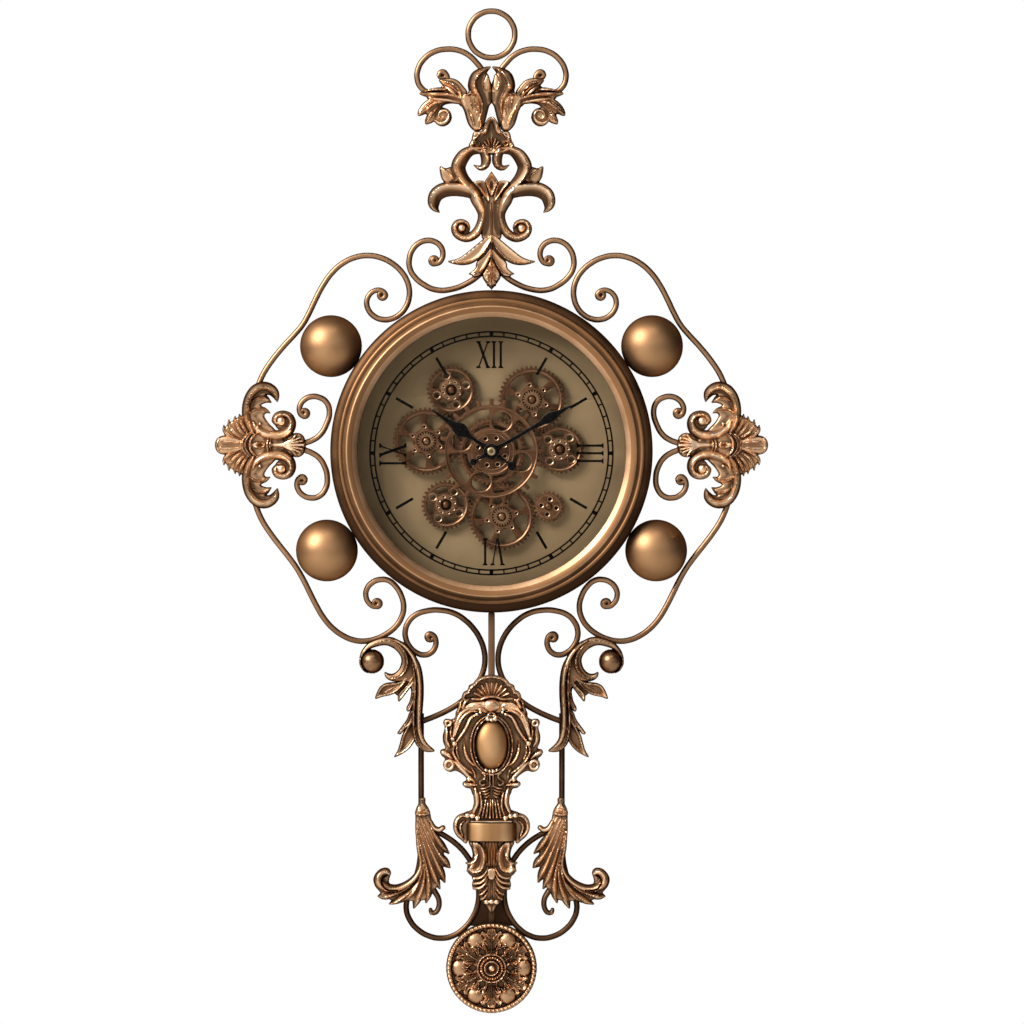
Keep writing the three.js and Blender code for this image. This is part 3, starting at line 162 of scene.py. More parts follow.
# %% Sockets as values
class Value:
    def __init__(self, tree, socket=None):
        self.tree = tree
        self.socket = socket

    def make(self, kind, settings=(), values=(), out=0):
        node = self.tree.nodes.new(kind)
        for name, setting in dict(settings).items():
            setattr(node, name, setting)
        for key, value in dict(values).items():
            if isinstance(value, Value):
                self.tree.links.new(value.socket, node.inputs[key])
            else:
                node.inputs[key].default_value = value
        return Value(self.tree, node.outputs[out])

    def math(self, operation, first, second=0.0):
        return self.make("ShaderNodeMath", {"operation": operation}, {0: first, 1: second})

    def __add__(self, other):
        return self.math("ADD", self, other)

    def __sub__(self, other):
        return self.math("SUBTRACT", self, other)

    def __mul__(self, other):
        return self.math("MULTIPLY", self, other)

    def __rsub__(self, other):
        return self.math("SUBTRACT", other, self)

    __radd__ = __add__
    __rmul__ = __mul__

    def step(self, low, high):
        return self.make("ShaderNodeMapRange", {"interpolation_type": "SMOOTHSTEP"},
            {0: self, 1: low, 2: high})

    def blend(self, first, second):
        return self.make("ShaderNodeMix", {"data_type": "RGBA"}, {0: self, 6: first, 7: second}, 2)

    def noise(self, scale, detail=3.0):
        place = self.make("ShaderNodeTexCoord", (), (), 3)
        return self.make("ShaderNodeTexNoise", (), {"Vector": place, "Scale": scale, "Detail": detail})


def surface(name, **constants):
    look = bpy.data.materials.new(name)
    look.use_nodes = True
    shader = look.node_tree.nodes["Principled BSDF"]
    for key, value in constants.items():
        shader.inputs[key.replace("_", " ")].default_value = value
    return look, Value(look.node_tree), shader


def wire(look, shader, **sockets):
    for key, value in sockets.items():
        look.node_tree.links.new(value.socket, shader.inputs[key.replace("_", " ")])


# %% [markdown]
# Bronze is dark where patina stays in the recesses and coppery where hands have rubbed it.
# The reliefs carry an attribute named wear_and_shading, from -1 in a recess to 1 on a ridge. On the rods,
# balls, bezel and the urn's stone and band the same attribute also carries painted highlights and painted
# shade. A piece without it gets the middle tone.

# %% Metals
def metal(name, dark, middle, bright, rough=0.34, patchy=0.3, dents=0.12):
    look, start, shader = surface(name, Metallic=1.0, Specular_Tint=(0.2, 0.14, 0.1, 1))
    wear_and_shading = start.make("ShaderNodeAttribute", {"attribute_name": "wear_and_shading"}, (), 2)
    cloud = start.noise(38.0, 4.0)
    grain = start.noise(900.0, 2.0)
    level = wear_and_shading * 0.5 + 0.5 + (cloud - 0.5) * patchy + (grain - 0.5) * 0.12
    deep = level.step(0.02, 0.5).blend((*dark, 1), (*middle, 1))
    colour = level.step(0.5, 0.98).blend(deep, (*bright, 1))
    dull = rough + (0.5 - wear_and_shading * 0.5) * 0.12 + (cloud - 0.5) * 0.16
    dent = start.make("ShaderNodeBump", (), {"Strength": dents, "Distance": 0.0004,
        "Height": cloud + grain * 0.3})
    wire(look, shader, Base_Color=colour, Roughness=dull, Normal=dent)
    return look


# Writes the wear_and_shading attribute from a rule; several rules paint highlights and shade into it.
def given_wear_and_shading(piece, rule):
    count = len(piece.data.vertices)
    place, normal = np.empty(count * 3), np.empty(count * 3)
    piece.data.vertices.foreach_get("co", place)
    piece.data.vertices.foreach_get("normal", normal)
    wear_and_shading = rule(place.reshape(-1, 3) / MM, normal.reshape(-1, 3)) * np.ones(count)
    piece.data.attributes.new("wear_and_shading", "FLOAT", "POINT").data.foreach_set("value", wear_and_shading)
    return piece


def marked(piece, wear_and_shading):
    return given_wear_and_shading(piece, lambda place, normal: wear_and_shading)


BRONZE = metal("antique bronze", (0.125, 0.07, 0.038), (0.6, 0.35, 0.19), (0.95, 0.7, 0.48))
# A darker copy of the antique bronze, painted shade for the acanthus low on the frame.
LOW_SHADE_BRONZE = metal("bronze in painted shade", (0.06, 0.028, 0.014), (0.3, 0.165, 0.087), (0.68, 0.46, 0.28))
ROD_BRONZE = metal("rod bronze", (0.036, 0.017, 0.009), (0.23, 0.118, 0.058), (0.46, 0.265, 0.142), 0.36)
BALL_BRONZE = metal("ball bronze", (0.05, 0.023, 0.01), (0.34, 0.178, 0.082),
    (0.5, 0.285, 0.135), 0.46, 0.2, 0.02)
GILT_BRONZE = metal("gilt bronze", (0.08, 0.037, 0.014), (0.43, 0.228, 0.098),
    (0.7, 0.42, 0.21), 0.42, 0.2, 0.02)
BEZEL_BRONZE = metal("bezel bronze", (0.045, 0.021, 0.01), (0.28, 0.135, 0.058),
    (0.85, 0.55, 0.33), 0.42, 0.25, 0.06)
WHEEL_BRONZE = metal("wheel bronze", (0.012, 0.006, 0.004), (0.15, 0.07, 0.034), (0.6, 0.38, 0.22), 0.34)
BRASS = metal("brass", (0.12, 0.075, 0.03), (0.6, 0.42, 0.19), (0.92, 0.78, 0.55), 0.3, 0.15)
STEEL = metal("steel", (0.25, 0.25, 0.25), (0.5, 0.5, 0.49), (0.62, 0.62, 0.6), 0.38, 0.2)

# %% [markdown]
# Paints, plastic and the jackets of the cells don't need the attribute. A faint cloud of dirt and a fine
# grain keep them from looking like one flat colour.

# %% Paints and plastics
def coat(name, colour, rough, cloud_scale=30.0, depth=0.16, gloss=0.4):
    look, start, shader = surface(name, Specular_IOR_Level=gloss)
    cloud = start.noise(cloud_scale, 4.0)
    grain = start.noise(1400.0, 2.0)
    shade = tuple(part * (1 - depth) for part in colour)
    tint = cloud.step(0.3, 0.7).blend((*shade, 1), (*colour, 1))
    dent = start.make("ShaderNodeBump", (), {"Strength": 0.06, "Distance": 0.0002, "Height": grain})
    wire(look, shader, Base_Color=tint, Roughness=rough + (cloud - 0.5) * 0.1, Normal=dent)
    return look


TAN = coat("tan dial", (0.375, 0.258, 0.135), 0.7, 14.0, 0.12, 0.08)
SHADE_TAN = coat("shaded sleeve", (0.06, 0.042, 0.024), 0.8, 14.0, 0.12, 0.05)
INK = coat("printed ink", (0.003, 0.0025, 0.002), 0.95, 60.0, 0.3, 0.05)
COVER = coat("black cover", (0.016, 0.015, 0.014), 0.48, 18.0, 0.35)
PLASTIC = coat("black plastic", (0.02, 0.02, 0.021), 0.42, 50.0, 0.25)
JACKET = coat("cell jacket", (0.045, 0.09, 0.055), 0.35, 60.0, 0.25)

# %% [markdown]
# Glass is nearly clear here: a low alpha, a high gloss, and a little more reflection at a slant.

# %% Glass
GLASS, glass_start, glass_shader = surface("clear glass", Roughness=0.03, Metallic=0.0)
glass_shader.inputs["Base Color"].default_value = (0.02, 0.022, 0.021, 1)
slant = glass_start.make("ShaderNodeLayerWeight", (), {"Blend": 0.12}, 1)
smear = glass_start.noise(9.0, 2.0)
wire(GLASS, glass_shader, Alpha=0.012 + slant * 0.3 + smear * 0.01)

# %% [markdown]
# Round pieces are turned: a profile of (radius, depth) points is spun about the dial's axis.
# A closed profile gives a ring, and one that starts and ends on the axis gives a solid button.

# %% Turning
def spun(name, profile, at=(0, 0), segments=160, closed=True, angle=35):
    mesh = bpy.data.meshes.new(name)
    points = [(radius * MM, -depth * MM, 0) for radius, depth in profile]
    edges = [(i, i + 1) for i in range(len(points) - 1)]
    mesh.from_pydata(points, edges + ([(len(points) - 1, 0)] if closed else []), [])
    piece = active(linked(name, mesh))
    screw = piece.modifiers.new("turn", "SCREW")
    screw.axis = "Y"
    screw.steps = screw.render_steps = segments
    screw.use_merge_vertices = True
    screw.merge_threshold = 1e-6
    bpy.ops.object.modifier_apply(modifier="turn")
    piece.location = (at[0] * MM, 0, at[1] * MM)
    return tidy(fix_place(piece), angle)


# %% [markdown]
# The drum is a sheet ring with a flange at the back. The bezel has an outer roll, a groove, a bead and a
# cone that falls to the glass; the bead is painted bright as a highlight. Each bend of the sheet is drawn
# with a few points, so its edge catches light.

# %% Case
FLANGE, SHEET = 21, 1.6
drum_back, drum_front = depths("case_drum")
drum = spun("drum", [
    (CASE_RADIUS - FLANGE, drum_back), (CASE_RADIUS - 0.8, drum_back),
    (CASE_RADIUS - 0.2, drum_back + 0.2), (CASE_RADIUS, drum_back + 0.8),
    (CASE_RADIUS, drum_front), (CASE_RADIUS - SHEET, drum_front),
    (CASE_RADIUS - SHEET, drum_back + SHEET), (CASE_RADIUS - FLANGE, drum_back + SHEET),
])
settle(marked(drum, -0.4), "case", "bronze", ROD_BRONZE, "case_drum")

roll_back, _ = depths("bezel")
SIGHT_RADIUS = 134
BEZEL = [
    (141, 0), (160.6, 0), (161, 1), (161, 6.5), (160.6, 8.6), (159.6, 10.4), (158, 11.9), (156, 13),
    (154.2, 13.6), (153.3, 13.7), (152.9, 13.9), (152.4, 14.6), (151.6, 15.1), (150.6, 15.25), (149.7, 15),
    (149.1, 14.4), (148.6, 14.3), (147.4, 14.6), (146.2, 14.9), (145.8, 15.1), (144.6, 15.8),
    (144.1, 15.95), (143.5, 15.9), (141.5, 15.4), (139.4, 14.7), (138.9, 14.45), (137, 13.3), (135, 12.1),
    (134.4, 11.6), (134.1, 11), (134, 10), (134, 6.5), (141, 6.5),
]
# Tones along the bezel's profile: the inner edge, the inner facet and the bead are painted light as
# highlights, and the gap outside the bead and the outer roll are painted dark as shade.
BEZEL_WEAR_AND_LIGHT = [
    (134, 0.3), (134.3, 0.9), (134.8, 0.3), (138.9, 0.4), (139.6, -0.1), (143, 0), (144, 0.2),
    (144.5, 0.55), (145.4, 0.55), (145.8, -0.6), (149.1, -0.4), (149.7, -0.1), (151.6, 0.05),
    (152.4, -0.2), (152.9, -0.85), (154.2, -0.65), (159.6, -0.65), (161, -0.9),
]


def bezel_wear_and_light(place, normal):
    out = np.hypot(place[:, 0], place[:, 2])
    # The outer roll is painted darker towards the bottom: painted shade.
    painted_shade_below = np.clip(-place[:, 2] / out, 0, 1) * np.clip((out - 146) / 2, 0, 1)
    return np.interp(out, *zip(*BEZEL_WEAR_AND_LIGHT)) - 0.45 * painted_shade_below


bezel = spun("bezel_roll", [(radius, roll_back + rise) for radius, rise in BEZEL], segments=200)
settle(given_wear_and_shading(bezel, bezel_wear_and_light), "case", "bronze", BEZEL_BRONZE, "bezel")

glass_back, glass_front = depths("lens_glass")
glass_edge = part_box("lens_glass")[1].x / MM
lens = spun("lens", [
    (0, glass_back), (glass_edge - 0.4, glass_back), (glass_edge, glass_back + 0.4),
    (glass_edge, glass_front - 0.4), (glass_edge - 0.4, glass_front), (0, glass_front),
], closed=False)
settle(lens, "case", "clear_glass", GLASS, "lens_glass")

sleeve_back, sleeve_front = depths("dial_sleeve")
sleeve = spun("sleeve", [
    (SIGHT_RADIUS + 1, sleeve_back), (SIGHT_RADIUS + 3, sleeve_back), (SIGHT_RADIUS + 3, sleeve_front),
    (SIGHT_RADIUS + 1, sleeve_front),
])
settle(sleeve, "case", "tan_dial", SHADE_TAN, "dial_sleeve")

# %% [markdown]
# Flat pieces are cut from sheet. A 2D curve with one spline for the outline and one for each hole is
# filled, given a thickness and a small bevel, and turned into a mesh that faces the room.

# %% Cutting from sheet
def plate(name, loops, back, front, bevel=0.25, at=(0, 0)):
    sheet = bpy.data.curves.new(name, "CURVE")
    sheet.dimensions = "2D"
    sheet.fill_mode = "BOTH"
    sheet.bevel_depth = bevel * MM
    sheet.bevel_resolution = 1
    sheet.offset = -bevel * MM
    sheet.extrude = ((front - back) / 2 - bevel) * MM
    for loop in loops:
        spline = sheet.splines.new("POLY")
        spline.points.add(len(loop) - 1)
        for point, (x, z) in zip(spline.points, loop):
            point.co = (x * MM, z * MM, 0, 1)
        spline.use_cyclic_u = True
    piece = linked(name, sheet)
    piece.rotation_euler.x = math.pi / 2
    piece.location = (at[0] * MM, -(back + front) / 2 * MM, at[1] * MM)
    active(piece)
    bpy.ops.object.convert(target="MESH")
    return tidy(fix_place(bpy.context.object))


def circle(radius, centre=(0, 0), count=48):
    return [plus(centre, polar(radius, i * 360 / count)) for i in range(count)]


def box_loop(low, high):
    return [low, (high[0], low[1]), high, (low[0], high[1])]


def rounded(loop):
    for _ in range(2):
        after = loop[1:] + loop[:1]
        pairs = [((ax * 0.75 + bx * 0.25, az * 0.75 + bz * 0.25),
            (ax * 0.25 + bx * 0.75, az * 0.25 + bz * 0.75)) for (ax, az), (bx, bz) in zip(loop, after)]
        loop = [point for pair in pairs for point in pair]
    return loop


# %% [markdown]
# The joints of the frame tell where each wheel turns. The dial plate carries a headed stud for each of
# them except the driven wheel, which has its own arbor.

# %% Dial and studs
AXES = {joint["child"]: (joint["pos_m"][0] / MM, joint["pos_m"][2] / MM)
    for joint in frame["joints"] if "pos_m" in joint}
print("wheel axes in mm:", {name: tuple(round(v, 1) for v in place) for name, place in AXES.items()})
dial_back, _ = depths("dial_plate")
DIAL_FRONT = dial_back + 1.5
wheel_back, _ = depths("centre_wheel")
WHEEL_FRONT = wheel_back + 3
STUD_BORE, CENTRE_BORE = 2.35, 4.75
dial = plate(
    "dial_face",
    [circle(CASE_RADIUS - 1.9, count=160), circle(4.7), circle(STUD_BORE, AXES["large_upper"])],
    dial_back, DIAL_FRONT, 0.1,
)
settle(dial, "case", "tan_dial", TAN, "dial_plate")


def headed_stud(at, foot, top):
    return spun("stud", [
        (0, foot), (2, foot), (2, top), (3.3, top), (3.6, top + 0.4), (3.4, top + 1.2), (2.7, top + 1.9),
        (1.5, top + 2.3), (0, top + 2.4),
    ], at, 32, closed=False)


STUDS = ("large_left", "large_lower", "small_upper", "small_right", "small_lower")
STUD_TOPS = {**dict.fromkeys(STUDS, 1.3), "pinion": 0.3}
studs = [marked(headed_stud(AXES[name], DIAL_FRONT, WHEEL_FRONT + rise), 0.3 if "large" in name else -0.2)
         for name, rise in STUD_TOPS.items()]
settle(joined("stud_heads", studs), "case", "tan_dial", WHEEL_BRONZE)

# %% [markdown]
# The marks are printed on the back of the glass: a minute track of two rings, sixty ticks with a block at
# every fifth, plain hour lines, and four numerals with their tops outward. A numeral is built from bars
# with serifs.

# %% Printed marks
ink_back, ink_front = glass_back - 0.12, glass_back - 0.03
MARK_DROP = 1.8


def turned_loop(loop, clockwise):
    angle = math.radians(-clockwise)
    return [(x * math.cos(angle) - z * math.sin(angle), x * math.sin(angle) + z * math.cos(angle))
        for x, z in loop]


def tick(clockwise, inner, outer, width):
    return turned_loop(box_loop((-width / 2, inner), (width / 2, outer)), clockwise)


FOOT, HEAD = 85.0, 112.0


def bar(top, foot, width, foot_width):
    return [(foot - foot_width / 2, FOOT), (foot + foot_width / 2, FOOT), (top + width / 2, HEAD),
        (top - width / 2, HEAD)]


def serif(x, head, wide=5.2):
    end, inward = (HEAD, -1) if head else (FOOT, 1)
    half = wide / 2
    return [(x - half, end), (x + half, end), (x + half, end + 0.7 * inward), (x + 1, end + 2.3 * inward),
            (x - 1, end + 2.3 * inward), (x - half, end + 0.7 * inward)]


def letter_i(x):
    return [bar(x, x, 2.3, 2.3), serif(x, True), serif(x, False)]


def letter_x(x):
    ends = [serif(x + side * 4.8, head, 4.8) for side in (-1, 1) for head in (True, False)]
    return [bar(x - 4.8, x + 4.8, 2.8, 2.8), bar(x + 4.8, x - 4.8, 1.5, 1.5), *ends]


def letter_v(x):
    return [bar(x - 4.9, x - 0.2, 2.8, 1.6), bar(x + 4.9, x + 0.4, 1.5, 1.2), serif(x - 4.9, True),
        serif(x + 4.9, True, 4.4)]


NUMERALS = {
    0: letter_x(-8.2) + letter_i(2.5) + letter_i(9.3),
    90: letter_i(-7.6) + letter_i(0) + letter_i(7.8),
    180: letter_v(-6) + letter_i(6.3),
    270: letter_i(-10) + letter_x(2.8),
}
marks = [plate("ring_mark", [circle(outer, count=180), circle(inner, count=180)], ink_back, ink_front, 0)
         for inner, outer in ((120.4, 122.1), (115.9, 117.6))]
marks += [plate("tick_mark", [tick(i * 6, 117, 121.4, 3.8 if i % 5 == 0 else 1.5)], ink_back,
    ink_front, 0) for i in range(60)]
marks += [plate("hour_mark", [tick(i * 30, 90.5, 110, 2.7)], ink_back, ink_front, 0)
    for i in range(12) if i % 3]
marks += [plate("numeral", [turned_loop(loop, clockwise)], ink_back, ink_front, 0)
          for clockwise, loops in NUMERALS.items() for loop in loops]
printed = joined("printed_marks", marks)
printed.location.z = -MARK_DROP * MM
settle(fix_place(printed), "case", "clear_glass", INK)

# %% [markdown]
# Each hand is cut from sheet along a line of half widths: a tail with a disc, the hub, a slim neck, a
# lozenge and a long point. It is drawn pointing up and turned to the time in the picture. Its bevelled
# edges are painted as light bare metal, a painted highlight along them: the finish asks how far a face
# turns from the front, and shows the light metal where it turns away.

# %% Hands
HAND_BLACK, hand_start, hand_shader = surface("black hands", Roughness=0.45, Specular_IOR_Level=0.05)
facing = hand_start.make("ShaderNodeSeparateXYZ", (),
    {0: hand_start.make("ShaderNodeNewGeometry", (), (), 1)}, 1)
# The bevelled edges get a painted highlight.
edge_highlight = (facing * facing).step(0.92, 0.7)
wire(HAND_BLACK, hand_shader, Base_Color=edge_highlight.blend((0.004, 0.0035, 0.003, 1),
    (0.6, 0.53, 0.46, 1)), Metallic=edge_highlight)


def hand_loop(widths):
    left = [(-half, along) for along, half in widths]
    return left + [(half, along) for along, half in reversed(widths)]


HOUR_WIDTHS = [
    (-25, 0.9), (-16, 1.2), (-8.5, 2.4), (-6, 3), (6, 3.4), (8.6, 3.2), (13, 2), (22, 1.6), (28, 2.4),
    (33, 5.6), (38, 7.4), (43, 5.4), (49, 2.8), (56, 2.1), (66, 1.6), (74, 0.4),
]
MINUTE_WIDTHS = [
    (-21, 0.8), (-14, 1.1), (-8.5, 2.2), (-6, 2.8), (6, 3), (8.6, 2.8), (14, 1.8), (30, 1.6), (48, 1.8),
    (58, 2.8), (63, 4.6), (68, 5.2), (73, 4), (79, 2.2), (86, 1.6), (92, 0.5),
]
hour_back, hour_front = depths("hour_hand")
minute_back, minute_front = depths("minute_hand")


def split_hand(widths):
    return [pair for pair in widths if pair[0] <= -6], [pair for pair in widths if pair[0] >= 6]


def full_hand(name, widths, tail, disc, clockwise, back, front, bore):
    below_hub, above_hub = split_hand(widths)
    lower = plate("lower", [turned_loop(rounded(hand_loop(below_hub)), clockwise)], back, front, 0.4)
    upper = plate("upper", [turned_loop(rounded(hand_loop(above_hub)), clockwise)], back, front, 0.4)
    hub = plate("hub", [circle(7.8, count=64), circle(bore)], back, front, 0.4)
    knob = plate("knob", [turned_loop(circle(disc, (0, -tail)), clockwise)], back, front, 0.4)
    return joined(name, [hub, lower, upper, knob])


HOUR_TURN, MINUTE_TURN = 305, 60
hour = full_hand("hour_blade", HOUR_WIDTHS, 25, 4.5, HOUR_TURN, hour_back, hour_front, 3.2)
settle(hour, "hour", "black_hand", HAND_BLACK, "hour_hand")
minute = full_hand("minute_blade", MINUTE_WIDTHS, 21, 3.6, MINUTE_TURN, minute_back, minute_front, 1.95)
settle(minute, "minute", "black_hand", HAND_BLACK, "minute_hand")

nut_back, nut_front = depths("hand_nut")
nut_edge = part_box("hand_nut")[1].x / MM
nut = spun("hand_knob", [
    (1.95, nut_back), (nut_edge - 0.5, nut_back), (nut_edge - 0.3, nut_back + 0.3), (3.6, nut_back + 0.7),
    (3.5, nut_front - 0.6), (3.1, nut_front), (2.4, nut_front), (1.95, nut_front - 0.5),
], segments=48)


def nut_wear(place, normal):
    return np.clip((-place[:, 1] - nut_back - 0.8) * 1.5, -0.9, 0.9)


settle(given_wear_and_shading(nut, nut_wear), "minute", "brass", BRASS, "hand_nut")
tube_back, tube_front = depths("hour_tube")
tube = spun("hour_pipe", [(2.25, tube_back), (3.2, tube_back), (3.2, tube_front),
    (2.25, tube_front)], segments=48)
settle(tube, "hour", "brass", BRASS, "hour_tube")
arbor_back, arbor_front = depths("minute_arbor")
arbor = spun("minute_pin", [
    (0, arbor_back), (1.9, arbor_back), (1.9, arbor_front - 0.5),
    (1.4, arbor_front - 0.05), (0, arbor_front),
], segments=32, closed=False)
settle(marked(arbor, -0.8), "minute", "brass", BRASS, "minute_arbor")

# %% [markdown]
# The wheels lie in one plane and mesh with the centre wheel or with each other. A satellite's teeth are
# turned so that a tooth of its driver stands in one of its gaps. The tips are narrow and flat, like filed
# teeth.

# %% Teeth
MODULE = 1.5
LARGE_TEETH, SMALL_TEETH, PINION_TEETH = 44, 32, 20


def phase_in_mesh(driver_phase, teeth, bearing):
    share = (bearing - driver_phase) * LARGE_TEETH / 360
    return bearing + 180 - 360 / teeth * (0.5 - share)


def fine_teeth(teeth, phase):
    pitch = 360 / teeth
    root, tip = MODULE * (teeth / 2 - 1.12), MODULE * (teeth / 2 + 0.72)
    shape = (
        (root, -0.5), (root + 0.1, -0.4), (tip - 0.12, -0.11), (tip, -0.07), (tip, 0.07),
        (tip - 0.12, 0.11), (root + 0.1, 0.4),
    )
    return [polar(radius, phase + (i + at) * pitch) for i in range(teeth) for radius, at in shape]


def around(count, phase, make):
    return [make(phase + i * 360 / count) for i in range(count)]


def sector(inner, outer, start, end, steps=8):
    fan = [start + (end - start) * i / steps for i in range(steps + 1)]
    return [polar(inner, angle) for angle in fan] + [polar(outer, angle) for angle in reversed(fan)]


PHASES = {"centre": 0}
for wheel, driver, teeth, bearing in (
    ("large_upper", "centre", LARGE_TEETH, 52), ("large_left", "centre", LARGE_TEETH, 171),
    ("large_lower", "centre", LARGE_TEETH, 279), ("small_upper", "large_left", SMALL_TEETH, 64),
    ("small_right", "large_upper", SMALL_TEETH, -61), ("small_lower", "large_lower", SMALL_TEETH, 168),
    ("pinion", "large_lower", PINION_TEETH, 12),
):
    PHASES[wheel] = phase_in_mesh(PHASES[driver], teeth, bearing)


# %% [markdown]
# Raised rings are small turned pieces set on the face of a wheel. Each slopes inward, so that the side
# away from the lamp is a bright line and the near side stays dark. A blind hole is such a ring round a
# near-black disc, which is painted shade inside the hole.

# %% Rings and holes
def ring_on(radius, half, rise, base, at=(0, 0), segments=96, wear_and_shading=0.25):
    return marked(spun("ring", [
        (radius - half, base - 0.3), (radius + half, base - 0.3), (radius + half, base + rise * 0.7),
        (radius + half * 0.8, base + rise), (radius + half * 0.4, base + rise), (radius - half, base),
    ], at, segments, angle=25), wear_and_shading)


def edged_hole(radius, base, at):
    return ring_on(radius + 0.7, 0.7, 0.7, base, at, 32, 0.5)


def blind_hole(radius, base, at):
    # The disc is painted near black: painted shade inside the hole.
    dark = marked(plate("dark", [circle(radius + 0.2, count=16)], base - 0.4, base + 0.05, 0.05, at), -1)
    return joined("blind", [ring_on(radius + 0.4, 0.5, 0.5, base, at, 24, 0.6), dark])


# %% [markdown]
# A large wheel has six rounded windows, a bright ring inside its teeth, a star plate with a hole in each
# lobe, and a small crown of radial teeth round its hub.

# %% Large wheels
def large_wheel(name, body, extra=()):
    at, phase = AXES[body], PHASES[body]
    face = WHEEL_FRONT
    windows = around(6, phase, lambda angle: rounded(sector(13.5, 26.6, angle + 9, angle + 51)))
    lobes = [polar(radius, phase + i * 60 + turn) for i in range(6)
             for radius, turn in ((10.2, -30), (15.5, -13), (18.2, -5), (18.2, 5), (15.5, 13))]
    crown = [polar(radius, phase + (i + at_share) * 18) for i in range(20)
             for radius, at_share in ((7.3, -0.5), (7.3, -0.3), (9.4, -0.22), (9.4, 0.22), (7.3, 0.3))]
    parts = [
        marked(plate("disc", [fine_teeth(LARGE_TEETH, phase), *windows, circle(STUD_BORE)],
            wheel_back, face, 0.4, at), -0.35),
        ring_on(28.9, 0.8, 0.7, face, at),
        marked(plate("star", [rounded(lobes), circle(STUD_BORE)], face - 0.5, face + 0.7, 0.4, at), 0.15),
        marked(plate("crown", [crown, circle(4.4)], face, face + 1.2, 0.15, at), 0.3),
    ]
    parts += around(6, phase, lambda angle: blind_hole(1.3, face + 0.7, plus(at, polar(14.8, angle))))
    # The cup under the crown is painted near black: painted shade of the recess.
    parts.append(marked(plate("cup", [circle(10), circle(STUD_BORE)], face, face + 0.75, 0.05, at), -1))
    return settle(joined(name, parts + list(extra)), body, "dark_bronze", WHEEL_BRONZE,
        name.replace("gear", "wheel"))


large_wheel("large_gear_left", "large_left")
large_wheel("large_gear_lower", "large_lower")
driven_back, _ = depths("large_wheel_upper")
driven = headed_stud(AXES["large_upper"], driven_back, WHEEL_FRONT + 1)
collar = spun("collar", [(1.9, wheel_back + 1), (3.4, wheel_back + 1), (3.4, WHEEL_FRONT + 1),
    (1.9, WHEEL_FRONT + 1)], AXES["large_upper"], 32)
large_wheel("large_gear_upper", "large_upper", (driven, collar))


# %% [markdown]
# A small wheel has four round holes between four kidney windows, and a hub plate with eight small holes.
# The pinion is the smallest wheel, with four holes only.

# %% Small wheels and pinion
def small_wheel(name, body):
    at, phase = AXES[body], PHASES[body]
    face = WHEEL_FRONT
    holes = around(4, phase + 45, lambda angle: circle(3, polar(15.4, angle), 24))
    kidneys = around(4, phase, lambda angle: rounded(sector(12.6, 18.4, angle - 21, angle + 21)))
    parts = [
        marked(plate("disc", [fine_teeth(SMALL_TEETH, phase), *holes, *kidneys, circle(STUD_BORE)],
            wheel_back, face, 0.4, at), -0.35),
        ring_on(20.6, 0.8, 0.7, face, at),
        marked(plate("hub", [circle(10.8), circle(5.6)], face - 0.5, face + 0.8, 0.4, at), 0.2),
        # The floor inside the hub is painted dark: painted shade of the recess.
        marked(plate("floor", [circle(6), circle(STUD_BORE)], face - 0.5, face + 0.1, 0.05, at), -0.8),
    ]
    parts += around(4, phase + 45, lambda angle: edged_hole(3, face, plus(at, polar(15.4, angle))))
    parts += around(8, phase, lambda angle: blind_hole(0.9, face + 0.8, plus(at, polar(8.4, angle))))
    return settle(joined(name, parts), body, "dark_bronze", WHEEL_BRONZE, name.replace("gear", "wheel"))


for side in ("upper", "right", "lower"):
    small_wheel(f"small_gear_{side}", f"small_{side}")

pinion_at, pinion_phase = AXES["pinion"], PHASES["pinion"]
pinion_holes = around(4, pinion_phase + 45, lambda angle: circle(2.1, polar(7.7, angle), 20))
pinion_parts = [
    plate("disc", [fine_teeth(PINION_TEETH, pinion_phase), *pinion_holes, circle(STUD_BORE)], wheel_back,
        WHEEL_FRONT, 0.25, pinion_at),
    *around(4, pinion_phase + 45, lambda angle: blind_hole(2, WHEEL_FRONT - 0.1,
        plus(pinion_at, polar(7.7, angle)))),
    ring_on(11.4, 0.7, 0.2, WHEEL_FRONT - 0.1, pinion_at, 64),
]
settle(joined("pinion_gear", pinion_parts), "pinion", "dark_bronze", WHEEL_BRONZE, "pinion_wheel")

# %% [markdown]
# On the centre axis a fine wheel, with an outer ring of windows, carries a front wheel with coarse peg
# teeth. The front wheel has four round windows between four wide ones, so the fine wheel shows through
# it.

# %% Centre wheels
centre_windows = around(8, 0, lambda angle: rounded(sector(15, 27, angle + 4, angle + 41)))
centre = joined("centre_gear", [
    plate("disc", [fine_teeth(LARGE_TEETH, 0), *centre_windows, circle(CENTRE_BORE)],
        wheel_back, WHEEL_FRONT, 0.25),
    ring_on(29, 0.9, 0.7, WHEEL_FRONT),
])
settle(centre, "centre_wheels", "dark_bronze", WHEEL_BRONZE, "centre_wheel")

